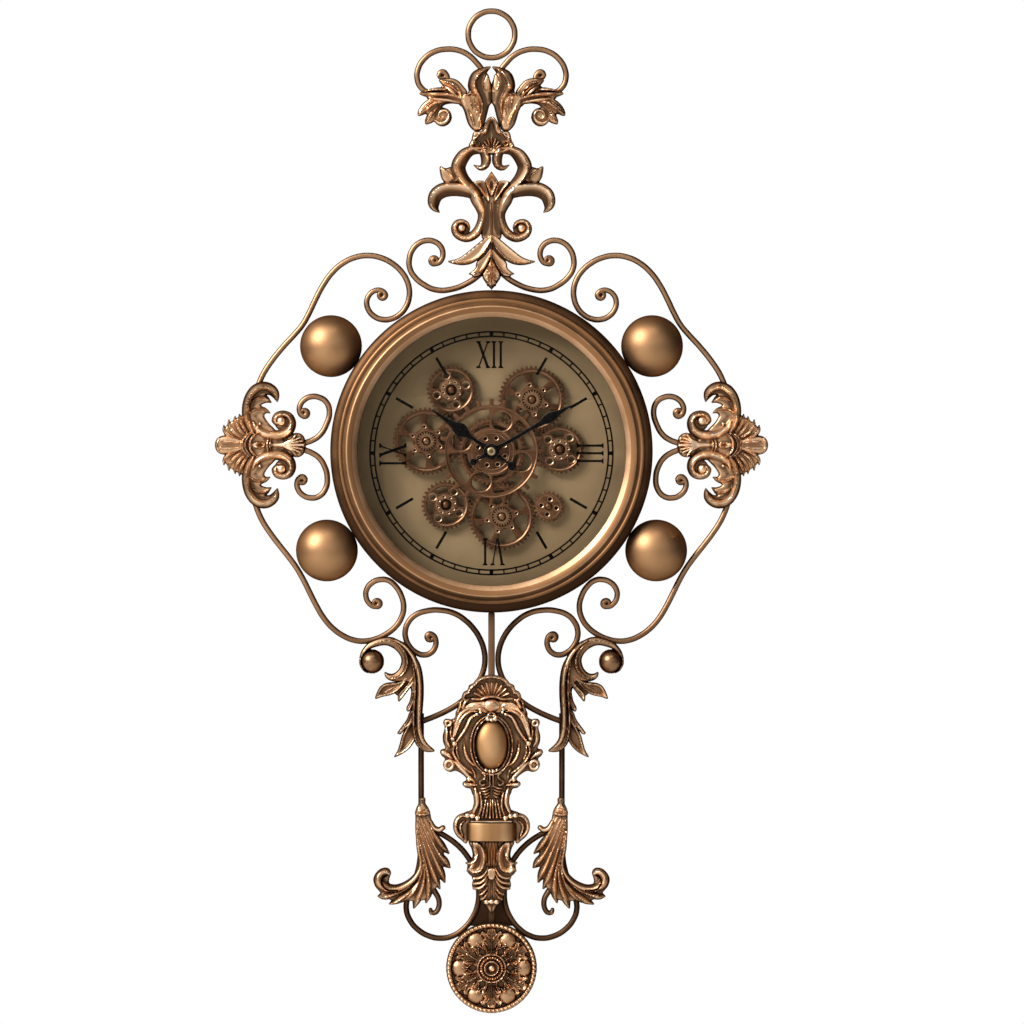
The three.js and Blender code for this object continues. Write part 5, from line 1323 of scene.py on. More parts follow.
# %% Lower crest
HOOD = [
    (-1, 335), (-3.5, 333.6), (-6.2, 328.5), (-8.5, 321), (-17.5, 320.2), (-20.2, 312), (-22.8, 305),
    (-15, 299), (-1, 297),
]
EAR = [
    (-51.6, 285.6), (-46, 283.6), (-39.6, 284.6), (-34, 276), (-31, 270), (-44, 267.6), (-49.4, 272),
    (-51.6, 279),
]
SIDE_LOBE = [
    (-6.6, 269.6), (-11, 271.2), (-16, 270.6), (-18.4, 268.6), (-13, 262), (-7.6, 254), (-2, 247),
    (-2, 258),
]
CREST_LEAF = [
    (1, 218), (-6, 214.5), (-14, 208), (-22, 201.4), (-30, 195.2), (-37, 192.2), (-44, 190.4),
    (-38, 187.6), (-29, 186.4), (-21, 187.6), (-14, 191.4), (-8, 197), (-3.8, 204), (1, 213),
]
CREST_LEAF_LOW = [
    (1, 206), (-8, 196), (-15, 189.5), (-16, 184), (-19.4, 180.4), (-23, 178), (-20, 176.6),
    (-18.2, 174.2), (-12, 175.2), (-7, 180.4), (-3.4, 188), (1, 198),
]
lower_crest = [
    form(both(HOOD), 9, 2.2, 0.5),
    ridge([(-0.5, 334, 1.2), (-4.2, 330, 1.5), (-6.8, 325, 1.5), (-9, 319.6, 1.3)], 12),
    ridge([(-9, 319.4, 1.3), (-13, 316.6, 1.4), (-16.8, 312, 1.5), (-18.8, 307, 1.3)], 11),
    hoop((-14.2, 308), 2.2, 2.2, 0.9, 8),
    *[ridge([(0, 300, 0.5), (x * 0.6, 300 + z * 0.6, 1.2), (x, 300 + z, 1.5)], 12)
        for x, z in ((0, 13), (-4, 12), (-7.2, 9.6), (-8.8, 6), (-9, 2.4))],
    form([(6, 258), (-9, 256), (-9.6, 246), (-9, 236), (-9.4, 226), (-9, 213), (6, 210)], 5, 2),
    ridge([(0, 248, 0.8), (0, 236, 1.1), (0, 212, 1.3)], 9.5),
    form(SIDE_LOBE, 8, 1.6, 0.45),
    ridge([(-17.6, 269.6, 0.6), (-12, 270.4, 0.7), (-7.4, 268.8, 0.8),
        (-5.2, 262, 1), (-3, 255, 0.7)], 10.5),
    form(both([(-0.4, 280), (-3.2, 276), (-6.8, 269.6), (-4.6, 262), (-0.5, 253)]), 10, 1.6, 0.4),
    ridge([(-0.6, 277.6, 0.8), (-3, 274, 1), (-5.6, 269.6, 0.8)], 12),
    *[ridge([(x, 270, 0.5), (0.5 * x, 260, 0.6)], 8.5) for x in (0, -2.4)],
    ridge([(-9, 302, 4.4), (-6, 296, 5.2), (-5.6, 290, 5), (-7.4, 285.6, 3.8), (-11.6, 283.8, 2.6),
        (-17.4, 286.6, 0.7)], 12, 0.15, 0.7),
    ridge([(-7, 301.6, 3.2), (-13.5, 302, 4.4), (-20.5, 301, 5), (-28, 295.6, 6.8), (-33.2, 285, 7.4),
        (-30, 274.8, 6.8), (-23, 266.4, 5.8), (-15, 257.4, 5.6), (-10.6, 249, 4)], 14, -0.4, 0.9),
    form(EAR, 7, 3),
    ridge([(-50.8, 284.4, 0.8), (-46, 280, 2.6), (-41, 276, 3), (-37, 271, 1.4)], 10.5, 0.2, 0.8),
    ridge([(-16, 256, 4), (-22, 260, 6.4), (-30, 262.2, 7.2), (-40, 262.8, 7.4), (-49, 261.2, 7.6),
        (-55.6, 256.4, 7.2), (-57.8, 249, 6), (-56.2, 243.4, 3.4), (-52.2, 239.4, 0.6)], 13, -0.5, 0.9),
    ridge([(-20, 259, 3.6), (-15, 252, 6), (-11.4, 245, 5.4), (-9.6, 237, 4.2), (-11, 228, 4.2),
        (-15.6, 218.8, 4.8), (-24.5, 213.8, 4.4), (-33.6, 216.6, 4), (-37, 223, 3.7), (-34.6, 228.6, 3.2),
        (-29.6, 230, 2.8), (-24.8, 228, 2.4), (-22.6, 224, 1.6)], 13.5, 0.15, 0.6),
    dome((-29.6, 222.6), 8, 8, 2, 1),
    dome((-30, 223.4), 4.6, 4.6, 2, 8),
    form([(5, 218), (-5, 215), (-12, 200), (-14, 189), (-8, 182), (5, 182)], 4, 2),
    form(CREST_LEAF, 8, 1.8, 0.2),
    ridge([(-0.6, 212, 0.8), (-4.4, 204.4, 1), (-9.6, 197.6, 1.1), (-16, 192.2, 1.1), (-24, 189.2, 1.1),
        (-33, 188.6, 1), (-43, 190.2, 0.6)], 10.5),
    form(CREST_LEAF_LOW, 7, 1.8, 0.2),
    ridge([(-0.6, 198, 0.8), (-4.4, 188.8, 1), (-9, 182, 1.1), (-14.4, 178, 1), (-21.8, 177.6, 0.6)], 10),
    form(both([(-0.5, 196), (-4.6, 187), (-9.4, 176.4), (-6, 169), (-0.5, 162.4)]), 7.5, 2.4),
    ridge([(0, 214, 1.2), (0, 196, 1), (0, 180, 1.2), (0, 164, 0.7)], 11),
    *[ridge([(0, z, 0.7), (-2.8, z - 4.4, 1), (-5 + 0.5 * i, z - 10, 0.7)], 10)
        for i, z in enumerate((188, 182, 176))],
]
lower_patina_and_highlight = [
    patina_and_light_stroke([(0, 240, 190), (0, 250, 190)], 0.1),
    patina_and_light_stroke([(-0.5, 330, 1.4), (-2.6, 322, 4), (-6, 314, 5), (-12, 310, 4.4)], -0.8),
    patina_and_light_stroke([(0, 301, 3), (0, 306, 3.6)], -0.4),
    patina_and_light_stroke([(-10.4, 301.6, 2), (-20, 299.4, 3), (-26, 294, 4.2), (-30, 286.4, 4.4), (-28.4, 279, 3.8),
        (-24.6, 273, 2.6), (-20.4, 268.6, 1.4)], -0.8),
    patina_and_light_stroke([(-22, 255.6, 3), (-30, 258.6, 4.4), (-40, 260, 4.8), (-48, 258.4, 5), (-54, 253, 4.6),
        (-54.6, 246, 3.6), (-53, 240.6, 1.4)], -0.8),
    patina_and_light_stroke([(-12, 266.6, 3), (-8, 259, 2.6), (-5, 252, 2.4)], -0.6),
    patina_and_light_stroke([(0, 268, 3), (0, 260, 2.6)], -0.7),
    patina_and_light_stroke([(-3.4, 250, 2.4), (-3.6, 238, 2.6), (-4.6, 226, 3), (-7, 218, 3)], -0.9),
    # A light stroke down the arm's waist: painted highlight.
    patina_and_light_stroke([(-10.6, 242, 2.6), (-9.4, 236, 2.4), (-11, 229, 1.8)], 0.4),
    patina_and_light_stroke([(-27.6, 229.6, 1), (-25.6, 224, 1.8), (-27.6, 219.4, 1.8)], -0.9),
    patina_and_light_stroke([(-17, 214.6, 1.6), (-25, 209.8, 1.6), (-35, 212.8, 1.6), (-40, 220, 1.2)], -0.7),
    patina_and_light_stroke([(-45, 283, 1.2), (-40, 281.4, 1.6), (-37, 274, 2), (-40, 270, 2)], -0.7),
    patina_and_light_stroke([(-8, 281.8, 1), (-13, 282.4, 0.9), (-2, 284.6, 1.4)], -0.6),
    patina_and_light_stroke([(-1.6, 205, 1.4), (-7, 197.4, 1.7), (-14, 191, 1.5), (-22, 187.6, 1.1)], -0.9),
    patina_and_light_stroke([(-2, 190, 1.2), (-6.4, 182, 1.5), (-11, 177.6, 1.3)], -0.8),
    patina_and_light_stroke([(-2, 176, 1.6), (-3.4, 170, 1.6)], -0.4),
]
low_crest = relief("crest_lower_relief", lower_crest, (-66, 159), (66, 338), True, patina_and_light_strokes=lower_patina_and_highlight)
settle(low_crest, "case", "bronze", BRONZE, "crest_lower")

# %% [markdown]
# The side ornament is the same above and below its axis, so its marks are given for the upper half only:
# a cup at the end, a fan of four blades, a collar of three ribs, a bow with its knot, a fluted shell, and
# a C-shaped leaf with a light rim round dark hollows, two fingers and a volute.

# %% Side ornament
C_LEAF = [
    (-241, 17), (-247.3, 27), (-249.6, 39), (-248.8, 50), (-245.6, 58.6), (-239.6, 66), (-232, 69.4),
    (-225, 69), (-218.4, 66), (-214, 61), (-212.2, 55.5), (-214.4, 49.4), (-217.6, 53.6), (-221.5, 56.2),
    (-226, 56.4), (-222.6, 53), (-220, 48.7), (-225, 48.7), (-230.4, 46.4), (-226, 43), (-221.4, 38.6),
    (-225.6, 38.2), (-227.2, 35.4), (-223, 28.6), (-218, 23.6), (-211, 16), (-206, 8), (-218, -4),
    (-240, -4), (-246, 8),
]
CUP = [
    (-276.8, 3), (-276.4, 10), (-273.4, 14.2), (-268, 16.2), (-260, 15.6), (-250, 13), (-244, 10),
    (-244, -6), (-274, -6),
]
SHELL = [(-188.4, 16), (-194, 18.8), (-200, 17.4), (-206, 11.6), (-207, -6), (-186, -6), (-186, 9)]
BLADES = (
    ((-251, 11.6), (-262, 15.6), (-267, 21), (-267.8, 26)),
    ((-249, 13), (-257, 19), (-262, 26), (-262.8, 31.6)),
    ((-246.6, 15.6), (-252.6, 22.6), (-256.4, 29.6), (-256.6, 34.8)),
    ((-244, 18), (-248.4, 25), (-251.6, 32), (-252.2, 37)),
)
side_ornament = [
    form(SHELL, 6, 2.4),
    form([(-215, 15), (-205, 17), (-198, 17), (-199, -4), (-215, -4)], 4.5, 2),
    form(CUP, 8, 4),
    ridge([(-272.4, 12.6, 1.5), (-274.4, 8.6, 1.7), (-274.8, 4, 1.8)], 10.5),
    ridge([(-270, 9.4, 1.6), (-262, 9.6, 1.7), (-252, 8.6, 1.2)], 12),
    form([(-244, 12), (-258, 12), (-267, 19), (-266, 25), (-261.4, 29.4), (-255.6, 33),
        (-250, 36), (-243, 28)], 5, 2),
    *[ridge([(*a, 1.6), (*b, 2.6), (*c, 2.2), (*d, 0.8)], 11, 0.1, 0.7) for a, b, c, d in BLADES],
    *[groove([(*a, 0.5), (*b, 0.7), (*c, 0.6)], 3) for a, b, c, d in BLADES],
    form([(-246, 19), (-249, 10), (-249, -5), (-226, -5), (-226, 12), (-236, 19)], 7, 2),
    form(C_LEAF, 6, 2.6),
    ridge([(-238, 18, 3.4), (-243, 28, 5), (-244.8, 39, 5.2), (-243.4, 49.6, 5.4), (-239, 58.4, 5.6),
        (-231.6, 64, 5.6), (-223.6, 63.6, 5.6), (-217, 58.4, 4.6), (-214.4, 50.4, 0.8)], 14, 0.05, 0.9),
    ridge([(-238.6, 51, 2.6), (-232.6, 54.6, 3.2), (-226.4, 54, 2.8),
        (-220.6, 49.2, 0.7)], 9.5, -0.2, 0.9),
    ridge([(-241.6, 39, 2), (-237, 42.4, 3.4), (-231, 42.8, 2.8), (-226, 41.2, 2.2),
        (-221.8, 38.6, 0.7)], 11, -0.2, 0.9),
    ridge([(-239, 30, 3), (-236, 23.6, 5), (-229, 18.4, 6), (-219, 15.8, 6), (-209.4, 16.8, 5.4),
        (-202.4, 21.4, 5), (-199.8, 28.4, 4.4), (-202.4, 35, 4), (-208.6, 37.6, 3.6), (-214.6, 36, 3.4),
        (-217, 31, 3.2), (-214.6, 27.6, 2.2)], 13, 0.1, 0.6),
    dome((-208, 29.4), 9, 9, 3, 2),
    dome((-210.6, 30.4), 4.8, 4.8, 4, 6),
    dome((-231.4, 27.6), 1.7, 1.8, 8, 2.6),
    *[ridge([(x, 4, half), (x + 0.8, 10.6, half), (x + 3.6, 15, half), (x + 7.4, 18.4, 0.8)], high)
        for x, half, high in ((-249.4, 1.4, 12.5), (-246.2, 1.3, 13.5), (-241.8, 2, 14.5))],
    *[ridge([(-239, 6.5 + 0.6 * i, 1), (-232, 6.5 + 1.5 * i, 1.2), (-227, 6.5 + 0.8 * i, 0.8)],
        11.5) for i in (0, 1, 2)],
    ridge([(-221, 6.5, 3.4), (-213, 6.5, 3.6), (-206, 6.5, 4.4), (-202, 6.5, 3)], 9.5),
    ridge([(-224.6, 4, 1.5), (-224.4, 8, 1.6), (-223.4, 11.6, 1.3)], 12.5),
    ridge([(-221.8, 4, 1.2), (-221.6, 8, 1.3), (-220.8, 11, 1)], 12),
    *[ridge([(-208, 7 + 0.4 * i, 1.3), (-200, 7 + 1.6 * i, 1.9), (x, z, 1.8)], 10.5)
        for i, x, z in ((0, -187.4, 7), (1, -189, 10.6), (2, -191.2, 14), (3, -195.6, 17))],
]
side_patina_and_highlight = [
    patina_and_light_stroke([(-230, 6.5, 90), (-228, 6.5, 90)], 0.25),
    # A light stroke along the C-leaf's rim: painted highlight.
    patina_and_light_stroke([(-240, 20, 2.2), (-243.6, 30, 2.4), (-245, 40, 2.4), (-243.4, 50, 2.4), (-239, 58, 2.4),
        (-232, 63.6, 2.4), (-225, 64.6, 2.2), (-219, 61.6, 1.6)], 0.4),
    patina_and_light_stroke([(-240.6, 44, 2.4), (-238.4, 50, 2.6), (-233.4, 57.8, 2.6), (-226, 60, 3), (-219.4, 57.6, 3.2),
        (-215, 52, 1.6)], -0.65),
    patina_and_light_stroke([(-240, 44.6, 2), (-234, 49.4, 2.6), (-227, 50.6, 2.2), (-221.6, 49.4, 1)], -0.55),
    patina_and_light_stroke([(-237, 36, 2.4), (-232.6, 38.6, 2.6), (-227, 38.8, 2), (-223, 38.8, 1)], -0.5),
    patina_and_light_stroke([(-235, 34, 3), (-231.4, 30, 3.4), (-227.4, 28, 2.6), (-222, 25, 1.6)], -0.6),
    patina_and_light_stroke([(-205.6, 32, 1.6), (-206, 26.6, 2), (-211, 22.6, 1.8), (-216.4, 23.6, 1.4)], -0.9),
    patina_and_light_stroke([(-199, 36, 1.4), (-196.6, 28, 1.6), (-200, 19.6, 1.4), (-206, 13, 1.6),
        (-214, 10.4, 1.6)], -0.6),
    patina_and_light_stroke([(-243.8, 3, 0.9), (-243.2, 10.6, 0.9), (-239.4, 16.4, 0.9)], -0.9),
    patina_and_light_stroke([(-269, 6.5, 0.9), (-252, 6.5, 1.1)], -0.8),
    patina_and_light_stroke([(-218.8, 6.5, 1.4), (-219.4, 9.6, 1.2)], -0.8),
    patina_and_light_stroke([(-236, 6.5, 0.8), (-229, 6.5, 0.8)], -0.4),
]
ornament = relief("side_relief_left", side_ornament, (-280, -60), (-182, 73), fold=6.5, patina_and_light_strokes=side_patina_and_highlight)
settle_pair(ornament, "side_ornament", BRONZE)

# %% [markdown]
# The acanthus: an arch that ends at a smooth ball, whose inner side is a hollow crescent, a long stem
# with two ribs, and five leaves on the outer side of the stem with light edges round a hollow middle.

# %% Acanthus
ARCH = [
    (-132.2, -209), (-132, -205), (-129.6, -198.6), (-123.4, -191.4), (-114, -187), (-106.4, -185.4),
    (-98.4, -186), (-91.6, -190), (-86, -195.4), (-79, -202), (-73.4, -208.6), (-69.8, -217.6),
    (-68, -229.4), (-67.7, -243), (-68.6, -257), (-69, -267), (-67.8, -277), (-67.4, -286),
    (-63.8, -292.4), (-56.6, -299.6), (-65, -300.8), (-71.8, -297.6), (-76.6, -291.4), (-79, -280),
    (-80, -262), (-80, -244), (-83, -232), (-89, -230.5), (-97, -230.4), (-103, -228.6), (-106.4, -225.4),
    (-107, -220.4), (-102, -222.2), (-97.2, -221.6), (-92.8, -217.6), (-90.4, -211), (-91, -205.4),
    (-94.8, -199.8), (-100.4, -195.8), (-106.6, -194), (-115, -195.4), (-123, -198.8), (-129, -206),
]
ACANTHUS_LEAVES = [
    [(-80, -222), (-92, -229.4), (-100.4, -230.8), (-106, -231.6), (-111.4, -235), (-115, -241.4),
        (-116.4, -247.6), (-109.4, -245.6), (-101, -243.8), (-94.4, -240.4), (-88, -234)],
    [(-77, -222), (-86, -234), (-93.4, -242.4), (-93, -250.4), (-88, -245.4), (-82.4, -238), (-76, -230)],
    [(-75, -230), (-79.4, -237), (-82, -249.4), (-85.2, -256), (-84.6, -260), (-81.6, -259.6),
        (-78, -253), (-73, -240)],
    [(-74, -252), (-82, -260.6), (-85, -268), (-91.6, -277.4), (-94.6, -282), (-91, -283),
        (-86, -277.4), (-80, -272)],
    [(-74, -262), (-83, -272), (-89.4, -283.4), (-91.6, -291), (-94, -299), (-97.6, -306), (-90, -303),
        (-83.4, -298.4), (-78.6, -292.6), (-75, -284)],
]
acanthus = [
    *[form(leaf, 8, 1.7, 0.5) for leaf in ACANTHUS_LEAVES],
    form([(-88, -229), (-97, -240), (-92.6, -244), (-82, -233)], 4, 1.5),
    ridge([(-83, -225, 1), (-92, -233, 1.6), (-102, -238.4, 1.6), (-113, -244.6, 0.8)], 6),
    form(ARCH, 7, 2.6),
    ridge([(-131.4, -207, 0.9), (-128, -202, 1.9), (-121, -194.6, 2.5), (-112, -190.6, 2.8),
        (-104, -189.4, 3), (-96.4, -191.8, 3.4), (-90, -197, 4.4), (-86, -203.6, 5), (-84.8, -211, 5.4),
        (-87, -219, 5.4), (-93, -225, 4.6), (-100, -226.2, 3.4), (-106.2, -222, 0.8)], 12, 0.1, 1.0),
    ridge([(-96, -189, 1.8), (-88, -194, 2.6), (-80.6, -202.6, 3.2), (-76, -212, 3.4), (-73, -224, 3.4),
        (-72, -240, 3.2), (-73, -258, 3.2), (-73, -274, 3.2), (-71.4, -284, 3.2), (-67.4, -292, 2.6),
        (-58.4, -299.2, 0.7)], 13, 0.2),
    ridge([(-79.4, -210, 1.2), (-77.6, -220, 1.5), (-76.4, -236, 1.6), (-77.6, -256, 1.6),
        (-78, -270, 1.6), (-77, -282, 1.5), (-74.6, -291, 1.2), (-69, -298.6, 0.8)], 11.5),
    groove([(-75.4, -214, 0.7), (-74.4, -232, 0.8), (-75.2, -256, 0.8), (-75, -276, 0.8),
        (-71, -291, 0.6)], 1.2),
    dome((-119.6, -210), 12.3, 12.3, 0.5, 1.5),
    dome((-119.6, -210), 10.6, 10.6, 2, 12),
    ridge([(-131.4, -207, 1), (-131, -213, 1.2), (-128, -218.6, 1), (-124, -221.4, 0.6)], 8),
]
acanthus_patina = [
    patina_and_light_stroke([(-120.6, -210, 11), (-118.6, -210, 11)], -0.85),
    patina_and_light_stroke([(-124, -198.6, 1.6), (-114, -193.4, 1.8), (-105, -192.6, 1.8), (-97.6, -195.6, 1.8)], -0.6),
    patina_and_light_stroke([(-130.4, -203, 1.6), (-131, -211, 1.8), (-128.6, -217, 1.6)], 0.9),
    patina_and_light_stroke([(-75.4, -214, 1.3), (-74.4, -232, 1.5), (-75.2, -256, 1.5),
        (-75, -276, 1.5), (-71, -291, 1)], 0.5),
    patina_and_light_stroke([(-90, -232, 1.2), (-96, -240, 1.2)], -0.6),
    patina_and_light_stroke([(-69.4, -226, 1.8), (-69, -250, 1.8), (-69.6, -276, 1.8)], -0.4),
]
leaf = relief("acanthus_relief_left", acanthus, (-136, -309), (-53, -182), patina_and_light_strokes=acanthus_patina)
# The acanthus gets the darker copy of the bronze as painted shade.
settle_pair(leaf, "acanthus", LOW_SHADE_BRONZE)

# %% [markdown]
# The tassel leaf: a cap with a ring, a sheaf of nine flutes that sweep from the left edge to rounded
# tips, a rolled outer end, and two small hooks.

# %% Tassel leaf
FLUTES = [
    [(-67.7, -364), (-62.2, -374), (-56.7, -384.3), (-50.3, -394.4), (-43, -401.8)],
    [(-71.4, -364), (-66.8, -375), (-60.4, -389), (-53, -402.7), (-47, -410.6), (-42, -416)],
    [(-73.2, -366), (-69.6, -378), (-64, -392.6), (-57.6, -407.3), (-51.2, -421), (-47, -430.6)],
    [(-74.4, -369), (-71.4, -382.5), (-66.8, -398), (-62.2, -412.8), (-56.7, -427.5), (-52, -437)],
    [(-74.4, -376), (-71.4, -394.4), (-66.8, -411), (-64, -425.7), (-63.4, -440), (-65.4, -451)],
    [(-73.7, -387), (-69.6, -405.5), (-67.7, -421), (-69.6, -434.8), (-74.2, -446.8), (-77.6, -456.4)],
    [(-71.8, -402), (-70.6, -417), (-74, -431), (-81, -442), (-90, -450.6)],
    [(-71.3, -400), (-69.5, -414.6), (-72.6, -427.5), (-81.4, -439), (-92.5, -447.4), (-101.6, -452.6)],
    [(-70.6, -412.8), (-74.4, -424.7), (-83.6, -435.4), (-96, -441.6), (-106.3, -444), (-113, -445)],
]
TASSEL_BODY = [
    (-75, -362), (-76.2, -368), (-76.2, -380), (-74.4, -393.5), (-72.4, -405.5), (-72.6, -416.5),
    (-75, -424.7), (-80.4, -431), (-88.6, -434.6), (-98, -434.6), (-102.4, -431), (-101.6, -425.6),
    (-100.4, -421.5), (-102.2, -417.6), (-106.3, -416.2), (-112, -418), (-116.6, -422.9), (-118.4, -428.4),
    (-116.6, -435), (-112, -440.6), (-108, -446), (-96, -450), (-84, -449.6), (-74, -450), (-66, -448),
    (-58, -441), (-52, -430), (-48, -416), (-47.4, -403), (-50.3, -391), (-56, -380), (-60, -368),
    (-62.6, -361),
]


def flute(line, height):
    last = len(line) - 1
    widths = [1.4 + 4.2 * (i / last) ** 1.2 for i in range(last)] + [1.2]
    return ridge([(x, z, half) for (x, z), half in zip(line, widths)], height, 0.25, 0.9)


tassel = [
    form(TASSEL_BODY, 5, 2.4),
    form([(-73, -346.5), (-66.4, -346.5), (-66, -352), (-62.8, -357), (-62.4, -362), (-75.6, -362.6),
        (-75.4, -357), (-72.6, -351)], 9, 3),
    ridge([(-69.6, -347.6, 1.6), (-69.6, -352, 1.8), (-71, -356.4, 1.4)], 11.5),
    ridge([(-74.6, -359, 1.1), (-69, -358.4, 1.5), (-63.6, -357.8, 1)], 12),
    ridge([(-75.4, -362.4, 1.3), (-69, -363.2, 1.7), (-62.4, -361.8, 1.3)], 12.5),
    *[flute(line, 11) for line in FLUTES],
    ridge([(-75, -380, 1.2), (-73.4, -396, 1.8), (-71, -410, 2.2), (-72.5, -419, 2.6), (-78, -427.6, 3.2),
        (-86, -433.6, 3.6), (-95, -437, 4), (-104, -436.4, 4.6), (-111.4, -431.6, 5), (-112, -424.6, 4.6),
        (-107, -420.6, 3.6), (-102.6, -422.6, 2)], 13, 0.2),
    groove([(-94, -438.6, 0.7), (-104, -438, 0.9), (-109.6, -432, 0.9),
        (-109, -426.4, 0.8), (-105, -424, 0.6)], 5),
    ridge([(-61, -370, 2), (-57.4, -376.4, 2.6), (-52.6, -378.6, 2.8), (-48.6, -376.4, 2.6)], 8),
    ridge([(-57, -440, 3), (-53, -447.4, 2.8), (-52.6, -455, 2.7), (-55.6, -461, 2.6), (-60, -461.4, 2.4),
        (-61, -458.4, 2)], 6.5),
]
tassel_patina_and_shadow = [
    patina_and_light_stroke([(-71, -400, 3), (-72.5, -419, 3.4), (-86, -433.6, 4.4), (-95, -437, 4.6), (-104, -436.4, 5.4),
        (-111.4, -431.6, 5.6), (-111, -422, 5.6)], -0.75),
    patina_and_light_stroke([(-61, -371, 3), (-48.6, -376.4, 3.4)], -0.5),
    patina_and_light_stroke([(-74, -430, 3), (-83, -442, 4), (-96, -448, 4)], -0.45),
    patina_and_light_stroke([(-57, -440, 4), (-52.6, -452, 4), (-56, -461, 4), (-61, -459, 3)], -1.4),
    # A dark stroke down the right side of the sheaf: painted shadow.
    patina_and_light_stroke([(-53, -388, 6), (-45, -410, 8), (-47, -432, 8)], -0.4),
]
tassel_leaf = relief("tassel_relief_left", tassel, (-122, -467), (-38, -343), patina_and_light_strokes=tassel_patina_and_shadow)
settle_pair(tassel_leaf, "tassel_leaf", BRONZE)

# %% [markdown]
# The urn is the richest casting. From the top: a scalloped shell with a light rim and rays, a hood with a
# dark boss, leaf straps that fall round an oval stone between two thin rings, scrolls and knobs on its
# outline, a neck with folds, a smooth turned band with an ear on each side, and a foot of leaves that
# curl outwards. The marks are given for the left half, and the relief repeats them on the right.

# %% Urn outline
URN_BODY = [
    (-1, -223.2), (-8, -224.6), (-15, -227.6), (-18.4, -231.8), (-22.4, -233.6), (-24, -238.4),
    (-27.6, -240.2), (-29.6, -244), (-30.6, -248.4), (-33.2, -252), (-33.6, -257), (-36, -261),
    (-36.6, -266), (-41, -268), (-46.4, -267.4), (-48.6, -271.4), (-46.8, -276), (-48.8, -284),
    (-48.4, -291), (-46.2, -296.8), (-49, -297.8), (-51.4, -301.6), (-49.4, -305), (-46.6, -307.6),
    (-48.6, -313), (-46, -318.8), (-41, -320.8), (-36, -319.6), (-30, -322.6), (-25.2, -327.6),
    (-28.6, -332.6), (-26, -336.6), (-21.4, -337.4), (-19.8, -341.6), (-17.4, -347), (-17.4, -353),
    (-19.4, -358), (-24, -360.4), (-26, -366), (-24, -374), (-1, -375),
]
URN_FOOT = [
    (-1, -388), (-22, -389), (-20, -398), (-19, -404), (-21, -409), (-25.6, -411.4), (-24.2, -414),
    (-24.6, -418), (-23.4, -422), (-18.8, -427), (-19.6, -434.6), (-17, -438.4), (-13.2, -441),
    (-11.6, -447), (-9, -452), (-5, -456), (-1, -463),
]
SHELL_RIM = [
    (1, -224.8), (-8.4, -226.6), (-14.2, -230), (-15.8, -232.6), (-19.6, -235), (-22, -238.4), (-23, -241),
    (-26, -242), (-27.6, -245), (-27, -248),
]
URN_EAR = [
    (-22, -362), (-28, -361.6), (-34.6, -364.6), (-38, -370.6), (-38.4, -377), (-36, -383.4),
    (-31, -388.4), (-24, -391),
]
URN_HOOD = [
    (-1, -247), (-12, -249), (-22, -250.4), (-29, -256), (-33, -264), (-36, -276), (-31, -272),
    (-24, -263), (-16, -259.6), (-9, -262), (-1, -263),
]
URN_SHELL = (0, -250)
STONE = (0, -293.4)
STONE_WIDE, STONE_TALL = 16.6, 25.6
BAND_SEAT = 6


def ray(bearing):
    near, far = plus(URN_SHELL, polar(5, bearing)), plus(URN_SHELL, polar(19, bearing))
    return ridge([(*near, 0.9), (*far, 1.9)], 9)


urn_shell = [
    form(both(URN_BODY), 5, 2),
    dome((0, -244), 21, 19, 4.6, 0.2),
    *[ray(bearing) for bearing in range(90, 181, 16)],
    ridge([(x, z, 1.9) for x, z in SHELL_RIM], 13),
    ridge([(1, -245.2, 1.7), (-6, -245.8, 2), (-11, -247.6, 1.9), (-20, -247.2, 1.4)], 12.5),
    form(both(URN_HOOD), 9.5, 2.5),
    dome((0, -254), 8.6, 6.4, 9, 6),
    ridge([(-22, -247, 1.4), (-26, -250, 2.2), (-29, -256, 2)], 12),
    ridge([(-27, -247.6, 1.2), (-31, -250.4, 1.8), (-31.6, -255, 1.8), (-34, -261, 1.6)], 10),
]

# %% [markdown]
# Straps and leaves run round the stone. The relief only holds the stone's seat and the two rings round it.

# %% Urn straps and stone
def oval(centre, wide, tall, half):
    angles = [math.radians(90 + 18 * i) for i in range(11)]
    return [(centre[0] + wide * math.cos(a), centre[1] + tall * math.sin(a), half) for a in angles]


def knob(centre, size, height):
    return dome(centre, size, size, height - size, size)


urn_scrolls = [
    dome((-43.6, -271.6), 4.4, 4.2, 4, 3),
    hoop((-43.6, -271.6), 2.7, 2.6, 1.6, 11),
    ridge([(-45.2, -275, 1.8), (-45, -282.6, 2.5), (-45.2, -288, 2.3), (-42, -295, 1.6)], 11.5),
    ridge([(-40, -274.4, 1.2), (-41, -282, 1.7), (-39.4, -290, 1.4)], 10),
    ridge([(-48.6, -300.6, 3), (-44.6, -302.6, 3), (-39.6, -307, 2)], 11),
    knob((-42.6, -313.4), 5.6, 9),
    hoop((-42.6, -313.2), 3.9, 4.1, 1.9, 12.5),
    ridge([(-39, -309, 2), (-34, -313, 2.8), (-27.6, -319.4, 2.8),
        (-22, -325.4, 2.4), (-17, -331, 1.6)], 11),
    ridge([(-37, -294, 1.5), (-38.6, -299, 1.7), (-36.4, -305.4, 1.8), (-31, -312.6, 1.8),
        (-25.4, -317.4, 1.7), (-20, -321.6, 1.4)], 13),
    ridge([(-34.6, -293.6, 1.1), (-34.8, -300.6, 1.5), (-32, -307.6, 1.3)], 12),
    ridge([(-26.4, -332.6, 2.8), (-21.4, -333, 2.4), (-15, -333.4, 1.6)], 12),
    knob((-22.4, -327.6), 2.3, 11),
    ridge([(-19.6, -317, 1.2), (-17, -321, 1.6), (-16.4, -326.4, 1.2)], 11),
]
